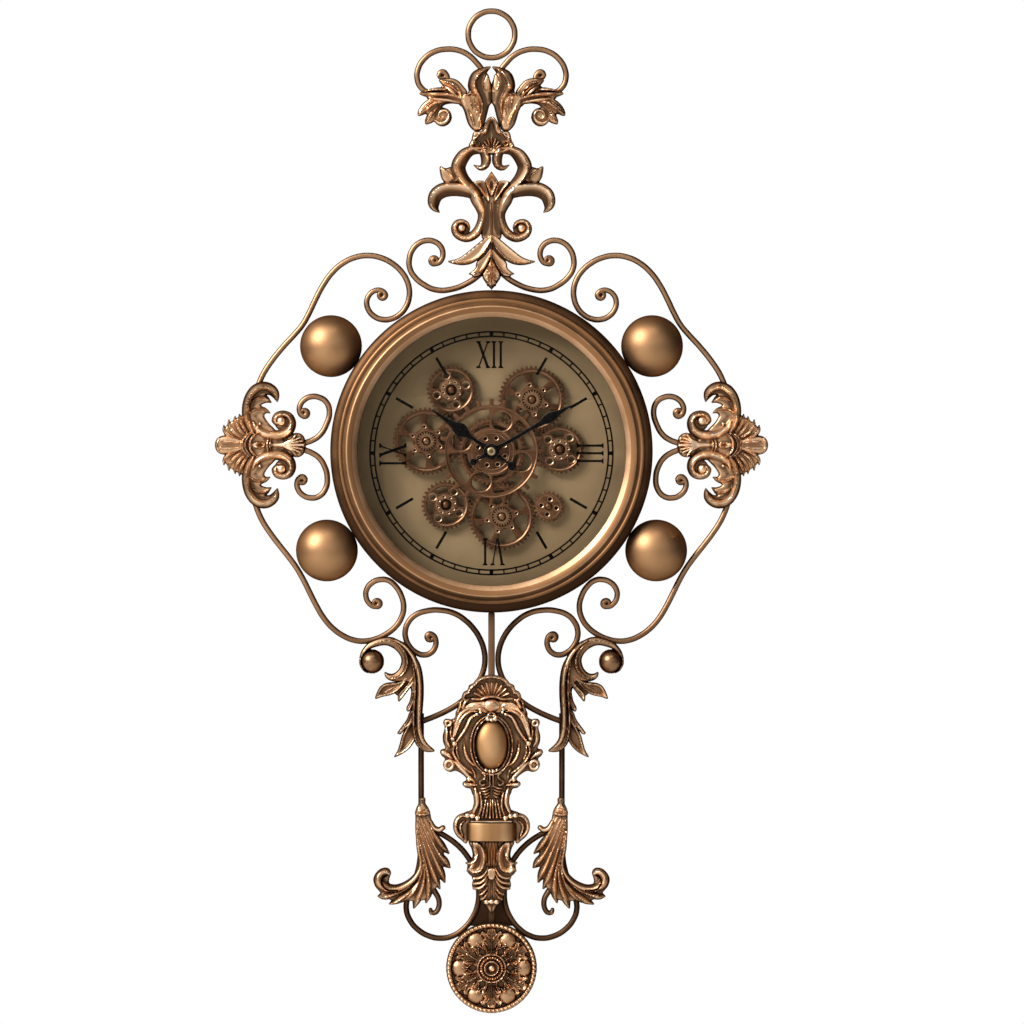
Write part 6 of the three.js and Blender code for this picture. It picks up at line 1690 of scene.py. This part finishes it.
urn_straps = [
    ridge([(-9.4, -256.4, 1.4), (-13.4, -252.8, 1.8), (-17, -253.4, 1.9), (-21.4, -256, 2),
        (-26.6, -258.6, 2.3), (-31, -262.4, 2.7), (-34, -268, 2.8), (-36, -275, 2.6),
        (-38.4, -285.4, 1.6)], 14),
    ridge([(-14, -260, 1.4), (-20.4, -259.6, 1.9), (-25.8, -262.4, 2.3), (-30.2, -267.4, 2.4),
        (-33.4, -274, 2.3), (-36.8, -284.4, 1.5)], 13.5),
    ridge([(-11.4, -261, 1.4), (-16.4, -263.4, 2), (-20.8, -266.2, 2.4), (-23.8, -271.6, 2.5),
        (-26.4, -277.4, 2.4), (-30.4, -283.6, 2.3), (-36, -291.4, 1.8)], 13),
    *[knob(place, size, 14) for *place, size in ((-11.6, -257.8, 1.9), (-11, -260.8, 1.6),
        (-14.4, -262.6, 1.7), (-37, -292, 2.6), (-39, -287, 1.9))],
    ridge([(-27.6, -287, 1.1), (-27, -298, 2.1), (-24.2, -306.6, 2.3),
        (-19.4, -312.4, 1.9), (-15, -315, 1.2)], 11),
]
urn_stone = [
    dome(STONE, 23, 32, 5, 1),
    ridge(oval(STONE, 21, 29.6, 1.5), 13),
    ridge(oval(STONE, 17.8, 27.2, 1.4), 14),
    dome(STONE, 15.6, 25.1, 6, 2),
    ridge([(1, -260.6, 1.6), (-2.6, -262, 1.8), (-4.6, -266.4, 2)], 14.5),
    knob((-3.6, -267.4), 2.4, 15),
    knob((0, -268.6), 1.6, 14.5),
]

# %% [markdown]
# Below the stone a pair of small scrolls, ribs and folds lead down to the turned band. The relief holds
# the core of the band, which gets its height from its own curve, because it is round like a cylinder.

# %% Urn neck, band and foot
def turned_band(x, z, level):
    round_body = BAND_SEAT + 9.8 * np.sqrt(np.clip(1 - (x / 24.4) ** 2, 0, 1))
    inside = np.minimum(23.9 - np.abs(x), np.minimum(-372 - z, z + 388.6))
    np.maximum(level, np.minimum(round_body, inside * STEEP), out=level)


urn_neck = [
    *[knob(place, 1.6, 14) for place in ((-5.4, -318.2), (-1.8, -319.2))],
    ridge([(-1.7, -321, 1.2), (-1.7, -327, 1.3), (-1.7, -334, 1.1)], 12.5),
    ridge([(-10.4, -321.2, 1.2), (-6.6, -323.4, 1.5), (-7.4, -327.2, 1.5), (-11.2, -329, 1.5),
        (-11.6, -332, 1.5), (-8.2, -333.6, 1.4), (-6.4, -331, 1.1)], 13.5),
    *[ridge([(-11.4 + i * 1.2, -337 - 2.8 * i, 1), (-7 + i * 0.6, -336.6 - 3 * i, 1.5),
        (-2, -334.6 - 3 * i, 1.1)], 12) for i in range(4)],
    ridge([(-16.4, -337, 2.2), (-15, -345, 3.2), (-14.6, -352, 3.2), (-18, -360.6, 2.2)], 11.5),
    ridge([(-11.6, -341, 1.4), (-10.2, -349, 1.8), (-10.6, -357, 1.8), (-13.4, -365, 1.4)], 11.5),
    *[ridge([(x * 0.8, -348, 1.1), (x, -356, 1.5), (x * 1.3, -366, 1.4)], 11) for x in (-1.3, -4.2, -7.2)],
    *[knob(place, 2.6, 12) for place in ((-24, -364), (-19, -364.4), (-14, -366.4))],
    form(both([(-1, -367.6), (-21, -367.4), (-23, -369.6), (-22, -372), (-1, -372)]), 13, 2, 0, False),
    form(URN_EAR, 4.5, 2),
    ridge([(-25, -364.8, 1.6), (-30.6, -364.6, 2), (-35, -368.8, 2.2), (-36.2, -375, 2.3),
        (-34.4, -381.4, 2.1), (-28.6, -387.4, 1.7)], 11),
    ridge([(-26.6, -369.4, 1.3), (-30, -371.8, 1.7), (-31.2, -377, 1.8), (-28.6, -384, 1.4)], 10),
]
urn_foot = [
    form(both(URN_FOOT), 5.5, 3),
    *[ridge([(x, -391, 1.1), (x * 0.95, -404, 1.4), (x * 0.7, -417, 1.1)], 8) for x in (0, -3, -5.8)],
    form([(-19, -389.6), (-11, -391), (-6.8, -398), (-6, -408), (-8, -416), (-13, -421.4), (-19.6, -422),
        (-23.4, -418), (-21, -411), (-18.4, -404), (-19.6, -396)], 11, 2.4, 0.35),
    ridge([(-15, -390.6, 1.4), (-10, -395.6, 2), (-7.8, -404, 2.2), (-8.4, -412.6, 2.2), (-12, -419, 2),
        (-18.4, -420.8, 1.5)], 14),
    ridge([(-25.2, -411.8, 1), (-20.6, -411.6, 2.1), (-16, -408, 2.2), (-14, -402.4, 1.5)], 13),
    ridge([(-24, -419.6, 1.2), (-21, -416.6, 1.7), (-17.4, -415.4, 1.2)], 12),
    *[ridge([(-17.8 + i * 0.3, low, 1.9), (-11.6, low + 0.8, 2.2), (-7, low + 4.2, 2),
        (-3.8, low + 10, 1.2)], 13) for i, low in enumerate((-426.6, -431.8, -436.8))],
    ridge([(-12, -443, 1.5), (-8.6, -441.4, 1.9), (-3.8, -435.6, 1.3)], 12),
    ridge([(-10.4, -448, 1.4), (-7.4, -446, 1.7), (-3.6, -440.6, 1.2)], 11),
    form(both([(-1, -415.4), (-4.4, -417), (-5, -423), (-3.4, -428), (-1, -429)]), 11, 2),
    ridge([(0, -430, 1.2), (0, -440, 1.5), (0, -448, 1.2)], 9),
    *[knob(place, 2.6, 12) for place in ((-5, -450.4), (0, -450))],
    ridge([(0, -452, 1.4), (0, -462, 0.9)], 9),
    turned_band,
]
urn_patina = [
    patina_and_light_stroke([(0, -340, 240), (0, -350, 240)], 0.12),
    patina_and_light_stroke([(-8, -253, 7), (-18, -254, 7), (-28, -260, 7), (-34, -270, 6)], 0.4),
    patina_and_light_stroke([(0, -314, 7), (-3, -316, 6)], -0.5),
    patina_and_light_stroke([(0, -253, 8), (0, -255, 8)], -0.9),
    patina_and_light_stroke([(0, -420, 5), (0, -424, 5)], -0.6),
    patina_and_light_stroke([(-14, -394, 4), (-12.5, -404, 4.4), (-14, -414, 4)], -0.3),
    patina_and_light_stroke([(-5, -231, 4), (-14, -236, 4.6), (-20, -243, 4)], -0.4),
]
urn = urn_shell + urn_scrolls + urn_straps + urn_stone + urn_neck + urn_foot
urn_piece = relief("urn_relief", urn, (-54, -466), (54, -221), True, patina_and_light_strokes=urn_patina)
settle(urn_piece, "case", "bronze", BRONZE, "urn")

# %% [markdown]
# Over seat and core, the stone and the band are polished smooth and keep more of the golden lacquer than
# the carving round them, so they are pieces of their own. The stone is a sphere drawn out to an oval and
# cut off at its seat. The band is half of an oval cylinder with softened rims.

# %% Urn stone and band
# Painted sheen on the stone: lighter in its middle, darker towards its rim.
def stone_painted_light(place, normal):
    away = np.hypot(place[:, 0] / STONE_WIDE, (place[:, 2] - STONE[1]) / STONE_TALL)
    return np.clip(0.55 - 1.6 * away**2.6, -0.9, 0.6)


# Painted light on the band: two light upright stripes are painted highlights, the darker middle a painted
# reflection, and the darker ends painted shade.
def band_painted_light(place, normal):
    off = np.abs(place[:, 0])
    light = 0.6 * np.exp(-(((off - 13) / 5) ** 2)) - 0.25 * np.exp(-((off / 5) ** 2))
    return light - 1.1 * np.clip((off - 18) / 6, 0, 1)


def select_rims():
    bpy.ops.mesh.select_all(action="DESELECT")
    bpy.ops.mesh.edges_select_sharp(sharpness=math.radians(60))


bpy.ops.mesh.primitive_uv_sphere_add(segments=72, ring_count=36, radius=1)
stone = bpy.context.object
stone.name = "urn_oval_stone"
stone.scale = (STONE_WIDE * MM, 10.5 * MM, STONE_TALL * MM)
stone.location = (0, -(CASTING_BACK + 7) * MM, STONE[1] * MM)
fix_place(stone)
settle(given_wear_and_shading(tidy(seated(stone, 6.5), 50), stone_painted_light), "case", "bronze", GILT_BRONZE, "urn")
bpy.ops.mesh.primitive_cylinder_add(vertices=128, radius=1, depth=1)
band = bpy.context.object
band.name = "urn_turned_band"
band.scale = (24.8 * MM, 11.2 * MM, 18 * MM)
band.location = (0, -(CASTING_BACK + BAND_SEAT) * MM, -380.3 * MM)
edited(seated(fix_place(band), BAND_SEAT - 0.5), select_rims, round_edges)
settle(given_wear_and_shading(tidy(band, 40), band_painted_light), "case", "bronze", GILT_BRONZE, "urn")

# %% [markdown]
# The rosette: a dish with a beaded rim, six broad leaves with veins and lobed light edges, a smooth dome
# between each two leaves, and a boss with a ring of beads round a small eye.

# %% Rosette
ROSE = middle_of("rosette")
RUFFLE = [(19, -15), (26.5, -11), (21.5, -5.5), (28.5, 0), (21.5, 5.5), (26.5, 11), (19, 15)]
LEAF_LOBES = [
    (12, 0), (15.5, 29), (18.5, 22), (22, 28), (25, 19), (29, 26), (31, 15), (36, 19), (37.4, 13), (36, 9),
    (40, 7), (41, 0),
]


def rose(radius, bearing):
    return plus(ROSE, polar(radius, bearing))


def rose_line(height, bearing, *points):
    return ridge([(*rose(radius, bearing + turn), half) for radius, turn, half in points], height)


def rose_leaf(bearing):
    outline = [rose(radius, bearing + turn) for radius, turn in LEAF_LOBES]
    outline += [rose(radius, bearing - turn) for radius, turn in LEAF_LOBES[-2:0:-1]]
    marks = [form(outline, 9, 1.5, 0.3), rose_line(12, bearing, (14, 0, 0.8), (22, 0, 1.1), (29, 0, 0.8))]
    for side in (-1, 1):
        marks += [
            rose_line(12, bearing, (27, 3 * side, 0.8), (33, 7 * side, 1.1),
                (37.4, 14 * side, 1.3), (34, 18 * side, 0.8)),
            rose_line(12, bearing, (30, 3 * side, 0.7), (39, 5 * side, 1.1)),
            rose_line(11, bearing, (18, 7 * side, 0.7), (25, 12 * side, 1.1), (28.4, 19 * side, 0.9)),
        ]
    return marks


def ruffle(bearing):
    return rose_line(12.5, bearing, *[(radius, turn, 1) for radius, turn in RUFFLE])


rosette = [
    dome(ROSE, 45.2, 45.2, 3.6, 0.6),
    hoop(ROSE, 42.6, 42.6, 2.5, 11, 62),
    *[dome(rose(31.4, bearing), 9.4, 9.4, 4, 6, 0.6) for bearing in range(0, 360, 60)],
    *[mark for bearing in range(30, 390, 60) for mark in rose_leaf(bearing)],
    *[ruffle(bearing) for bearing in range(0, 360, 60)],
    dome(ROSE, 15, 15, 7, 3),
    hoop(ROSE, 14, 14, 1.2, 14),
    hoop(ROSE, 10.4, 10.4, 2, 14, 26),
    hoop(ROSE, 6.8, 6.8, 1.1, 15.5),
    dome(ROSE, 4.2, 4.2, 8, 6),
]
rose_low, rose_high = plus(ROSE, (-47, -47)), plus(ROSE, (47, 47))
rose_patina = [
    patina_and_light_stroke([(*rose(1, 0), 47), (*rose(1, 180), 47)], -0.2),
    *[patina_and_light_stroke([(*rose(15.5, bearing), 2.6), (*rose(19.5, bearing), 3)], -0.6)
        for bearing in range(0, 360, 60)],
    *[patina_and_light_stroke([(*rose(17, bearing + 5 * side), 1.2), (*rose(27, bearing + 5 * side), 1.4)], -0.5)
        for bearing in range(30, 390, 60) for side in (-1, 1)],
    *[patina_and_light_stroke([(*rose(32, bearing), 6), (*rose(34, bearing), 6)], -0.5) for bearing in range(0, 360, 60)],
    patina_and_light_stroke([(*rose(42.6, bearing), 2.8) for bearing in range(0, 361, 15)], -0.55),
]
rose_piece = relief("rosette_relief", rosette, rose_low, rose_high, patina_and_light_strokes=rose_patina)
settle(rose_piece, "case", "bronze", BRONZE, "rosette")

# %% [markdown]
# The back is plain but complete. A black cover of sheet metal closes the drum: it has a window over each
# cell bay, one for the setting knob, and a keyhole for the screw in the wall. Its loops are drawn round
# the nodes that they let through, so that they follow the frame. Eight countersunk screws sit flush in
# it.

# %% Rear cover and hanger
COVER_BACK, COVER_FRONT = depths("rear_cover")
HANGER_PLACE = middle_of("hanger_plate")


def window(node, below_left, above_right):
    low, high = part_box(node)
    first = (low.x / MM - below_left, low.z / MM - below_left)
    last = (high.x / MM + above_right, high.z / MM + above_right)
    return box_loop(first, last)


def corners_rounded(loop, cut):
    ring = []
    for before, corner, after in zip(loop[-1:] + loop[:-1], loop, loop[1:] + loop[:1]):
        for step in range(7):
            share = step / 6
            entry = [c + (b - c) * cut / math.dist(corner, before) for c, b in zip(corner, before)]
            leave = [c + (a - c) * cut / math.dist(corner, after) for c, a in zip(corner, after)]
            ring.append(tuple(e * (1 - share) ** 2 + 2 * c * share * (1 - share) + o * share ** 2
                              for e, c, o in zip(entry, corner, leave)))
    return ring


def keyhole(extra):
    slot, radius, rise = 3 + extra, 6.5 + extra, 14 + extra
    lean = math.degrees(math.acos(slot / radius))
    bowl = [polar(radius, lean - i * (180 + 2 * lean) / 24) for i in range(25)]
    crown = [plus((0, rise - slot), polar(slot, 180 - i * 15)) for i in range(13)]
    return [plus(point, HANGER_PLACE) for point in bowl + crown]


KNOB_PLACE = middle_of("time_set_knob")
SCREW_PLACES = [polar(CASE_RADIUS - 8, 22.5 + i * 45) for i in range(8)]
cover_loops = [
    circle(CASE_RADIUS - 0.3, count=180),
    corners_rounded(window("movement_battery", 0.3, 0.3), 2),
    circle(9, KNOB_PLACE, 48),
    corners_rounded(window("gear_motor", -4, -2), 3),
    keyhole(1),
    *[circle(3.6, place, 32) for place in SCREW_PLACES],
]
settle(plate("back_cover", cover_loops, COVER_BACK, COVER_FRONT, 0.3), "case",
    "black_cover", COVER, "rear_cover")


def turned_box(place, along, across, degrees):
    first, second = polar(along, degrees), polar(across, degrees + 90)
    signs = ((-1, -1), (1, -1), (1, 1), (-1, 1))
    return [(place[0] + a * first[0] + b * second[0], place[1] + a * first[1] + b * second[1])
        for a, b in signs]


def flush_screw(index, place):
    head = spun("cover_screw_%d" % index, [(0, 1.4), (3.4, 1.4), (3.4, 0.7), (2.9, 0.35),
        (0, 0.35)], place, 32, False)
    slots = [plate("slot", [turned_box(place, 2.2, 0.35, angle)], 0.28, 0.34, 0.01) for angle in (20, 110)]
    settle(marked(head, 0), "case", "steel", STEEL)
    settle(joined("screw_slot_%d" % index, slots), "case", "black_plastic", PLASTIC)


for index, place in enumerate(SCREW_PLACES):
    flush_screw(index, place)
hanger_loops = [corners_rounded(window("hanger_plate", 0, 0), 3), keyhole(0)]
hanger = plate("hanger", hanger_loops, *depths("hanger_plate"), 0.25)
settle(marked(hanger, 0), "case", "steel", STEEL, "hanger_plate")
print("cover with", len(cover_loops) - 1, "openings")

# %% [markdown]
# The movement and the gear drive are moulded boxes, and their CAD nodes already have every bay and bore.
# A copy of each is welded, its flat faces are made whole again, and its edges are rounded by a bevel
# modifier.

# %% Moulded boxes
def softened(node, name, width):
    piece = frame["nodes"][node].copy()
    piece.data = piece.data.copy()
    bpy.context.collection.objects.link(piece)
    piece.name = name
    place = frame["nodes"][node].matrix_world.copy()
    piece.parent = None
    piece.matrix_world = place
    piece.hide_render = False
    fix_place(piece)
    piece.data.materials.clear()
    edited(piece, weld, lambda: bpy.ops.mesh.dissolve_limited(angle_limit=math.radians(2)))
    edge = piece.modifiers.new("edge", "BEVEL")
    edge.width, edge.segments, edge.angle_limit = width * MM, 2, math.radians(40)
    bpy.ops.object.modifier_apply(modifier=edge.name)
    return tidy(piece, 30)


settle(softened("movement_housing", "movement_case", 0.5), "case", "black_plastic",
    PLASTIC, "movement_housing")
settle(softened("gear_motor", "drive_case", 0.5), "case", "black_plastic", PLASTIC, "gear_motor")
slider = softened("gear_switch", "switch_slider", 0.3)
settle(slider, "switch", "black_plastic", PLASTIC, "gear_switch")
print("moulded boxes:", [len(frame["nodes"][node].data.polygons)
    for node in ("movement_housing", "gear_motor")])

# %% [markdown]
# A dry cell is turned from its section: a jacket rolled in at both ends, a steel ring and the button of
# the positive end. The section is spun about the depth axis and then turned to lie along X.

# %% Dry cells
def laid(piece, place, depth):
    piece.rotation_euler.z = math.pi / 2
    piece.location = (place[0] * MM, -depth * MM, place[1] * MM)
    return fix_place(piece)


def dry_cell(name, node):
    low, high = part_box(node)
    radius, half = (high.z - low.z) / 2 / MM, (high.x - low.x) / 2 / MM
    place, depth = middle_of(node), sum(depths(node)) / 2
    jacket = [
        (0, -half), (radius - 1, -half), (radius - 0.2, -half + 0.3), (radius, -half + 1),
        (radius, half - 2.4), (radius - 0.3, half - 1.7), (radius - 1, half - 1.4), (0, half - 1.5),
    ]
    button = [
        (0, half - 1.5), (radius - 1.2, half - 1.5), (radius - 1.4, half - 1.2),
        (radius * 0.42, half - 1.2), (radius * 0.38, half - 1), (radius * 0.36, half - 0.2),
        (radius * 0.3, half), (0, half),
    ]
    settle(laid(spun(name, jacket, (0, 0), 64, False), place, depth), "case", "cell_jacket", JACKET, node)
    settle(marked(laid(spun(name + "_button", button, (0, 0), 48, False), place, depth),
        0.3), "case", "steel", STEEL)


dry_cell("clock_cell", "movement_battery")
dry_cell("drive_cell_upper", "gear_battery_upper")
dry_cell("drive_cell_lower", "gear_battery_lower")
print("cells at", [middle_of(node)
    for node in ("movement_battery", "gear_battery_upper", "gear_battery_lower")])

# %% [markdown]
# The setting knob has a scalloped grip and a stem, and the hexagon nut holds the movement's sleeve to the
# dial.

# %% Knob and nut
knob_back, knob_front = depths("time_set_knob")
knob_radius = (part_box("time_set_knob")[1].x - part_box("time_set_knob")[0].x) / 2 / MM
grip = [polar(knob_radius - 0.35 + 0.35 * math.cos(i * math.pi / 3), i * 360 / 144) for i in range(144)]
floor_back, stem_back = knob_back + 0.7, knob_back + 3.5
knob_pieces = [
    plate("grip", [grip, circle(3.4, count=48)], knob_back, stem_back, 0.3, KNOB_PLACE),
    spun("stem", [(0, floor_back), (3.5, floor_back), (3.5, stem_back), (2.9, stem_back),
        (2.9, knob_front), (0, knob_front)], KNOB_PLACE, 48, False),
]
settle(joined("setting_knob", knob_pieces), "set_knob", "black_plastic", PLASTIC, "time_set_knob")
nut_low, nut_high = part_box("movement_nut")
nut_radius = (nut_high.x - nut_low.x) / 2 / MM
sleeve_bore = nut_radius / 2 + 0.3
sleeve_nut = plate("sleeve_nut", [circle(nut_radius, count=6), circle(sleeve_bore, count=48)],
    *depths("movement_nut"), 0.3)
settle(marked(sleeve_nut, 0), "case", "brass", BRASS, "movement_nut")
print("knob radius", round(knob_radius, 2), "nut radius", round(nut_radius, 2))

# %% [markdown]
# The stage: a pale floor below the clock, a strong soft lamp on the left, weak ones on the right and
# above, and five dark cards, one on each side and one behind the camera. The cards only show as
# reflections in the metal.

# %% Stage
def area_lamp(name, place, aim, width, height, power):
    light = bpy.data.lights.new(name, "AREA")
    light.shape = "RECTANGLE"
    light.size, light.size_y, light.energy = width, height, power
    lamp = linked(name, light)
    lamp.location = place
    lamp.rotation_euler = (Vector(aim) - Vector(place)).to_track_quat("-Z", "Y").to_euler()
    return lamp


lamps = [
    area_lamp("left softbox", (-3.6, -2.3, 2.9), (0, 0, 0), 2.5, 2.7, 440),
    area_lamp("right softbox", (3.6, -2.8, 1.2), (0, 0, -0.1), 2.0, 3.0, 7),
    area_lamp("top softbox", (0, -2.4, 4.4), (0, 0, 0), 2.4, 1.4, 42),
]
floor_look, floor_start, floor_shader = surface("pale floor", Roughness=0.9)
wire(floor_look, floor_shader,
    Base_Color=floor_start.noise(3.0).blend((0.8, 0.8, 0.79, 1), (0.84, 0.84, 0.83, 1)))
bpy.ops.mesh.primitive_plane_add(size=1, location=(0, -1.8, -0.76))
floor = bpy.context.object
floor.scale = (6, 5, 1)
fix_place(floor)
floor.name = "floor"
floor.data.materials.append(floor_look)
card_look, card_start, card_shader = surface("dark card", Roughness=1.0, Specular_IOR_Level=0.0)
wire(card_look, card_shader,
    Base_Color=card_start.noise(2.0).blend((0.02, 0.02, 0.02, 1), (0.03, 0.03, 0.03, 1)))


def dark_card(name, place, aim, side):
    bpy.ops.mesh.primitive_plane_add(size=side, location=place)
    card = bpy.context.object
    card.rotation_euler = (Vector(aim) - Vector(place)).to_track_quat("Z", "Y").to_euler()
    fix_place(card)
    card.name = name
    card.data.materials.append(card_look)
    card.visible_camera = card.visible_diffuse = card.visible_shadow = card.visible_transmission = False
    return card


cards = [
    dark_card("card left", (-5, -1, 0), (0, -1, 0), 11),
    dark_card("card right", (5, -1, 0), (0, -1, 0), 11),
    dark_card("card above", (0, -1, 5), (0, -1, 0), 11),
    dark_card("card below", (0, -1, -5), (0, -1, 0), 11),
    dark_card("card behind camera", (2.4, -8, -2.4), (0, 0, 0), 6.4),
]

# %% [markdown]
# The background is white for the camera, for reflections and through glass, and softer as a light.

# %% World
world = bpy.data.worlds.new("studio")
bpy.context.scene.world = world
world.use_nodes = True
sky = world.node_tree.nodes["Background"]
room = Value(world.node_tree)
camera_ray = room.make("ShaderNodeLightPath", (), (), 0)
glossy_ray = room.make("ShaderNodeLightPath", (), (), 3)
through_ray = room.make("ShaderNodeLightPath", (), (), 6)
white = room.math("MINIMUM", camera_ray + glossy_ray + through_ray, 1.0)
world.node_tree.links.new(white.blend((0.08, 0.08, 0.08, 1), (1, 1, 1, 1)).socket, sky.inputs["Color"])

# %% [markdown]
# The camera stands straight in front. One millimetre of the clock covers one pixel of the picture.

# %% Camera and finish
SENSOR = 36
FOCUS_DISTANCE, PICTURE_WIDTH = 6.0, 1.024
camera_data = bpy.data.cameras.new("camera")
camera = linked("camera", camera_data)
camera.location = (0.0205, -6.04, -0.0605)
camera.rotation_euler = (math.pi / 2, 0, 0)
camera_data.sensor_width = SENSOR
camera_data.lens = SENSOR * FOCUS_DISTANCE / PICTURE_WIDTH
camera_data.clip_end = 50
bpy.context.scene.camera = camera
bpy.context.scene.view_settings.view_transform = "Standard"
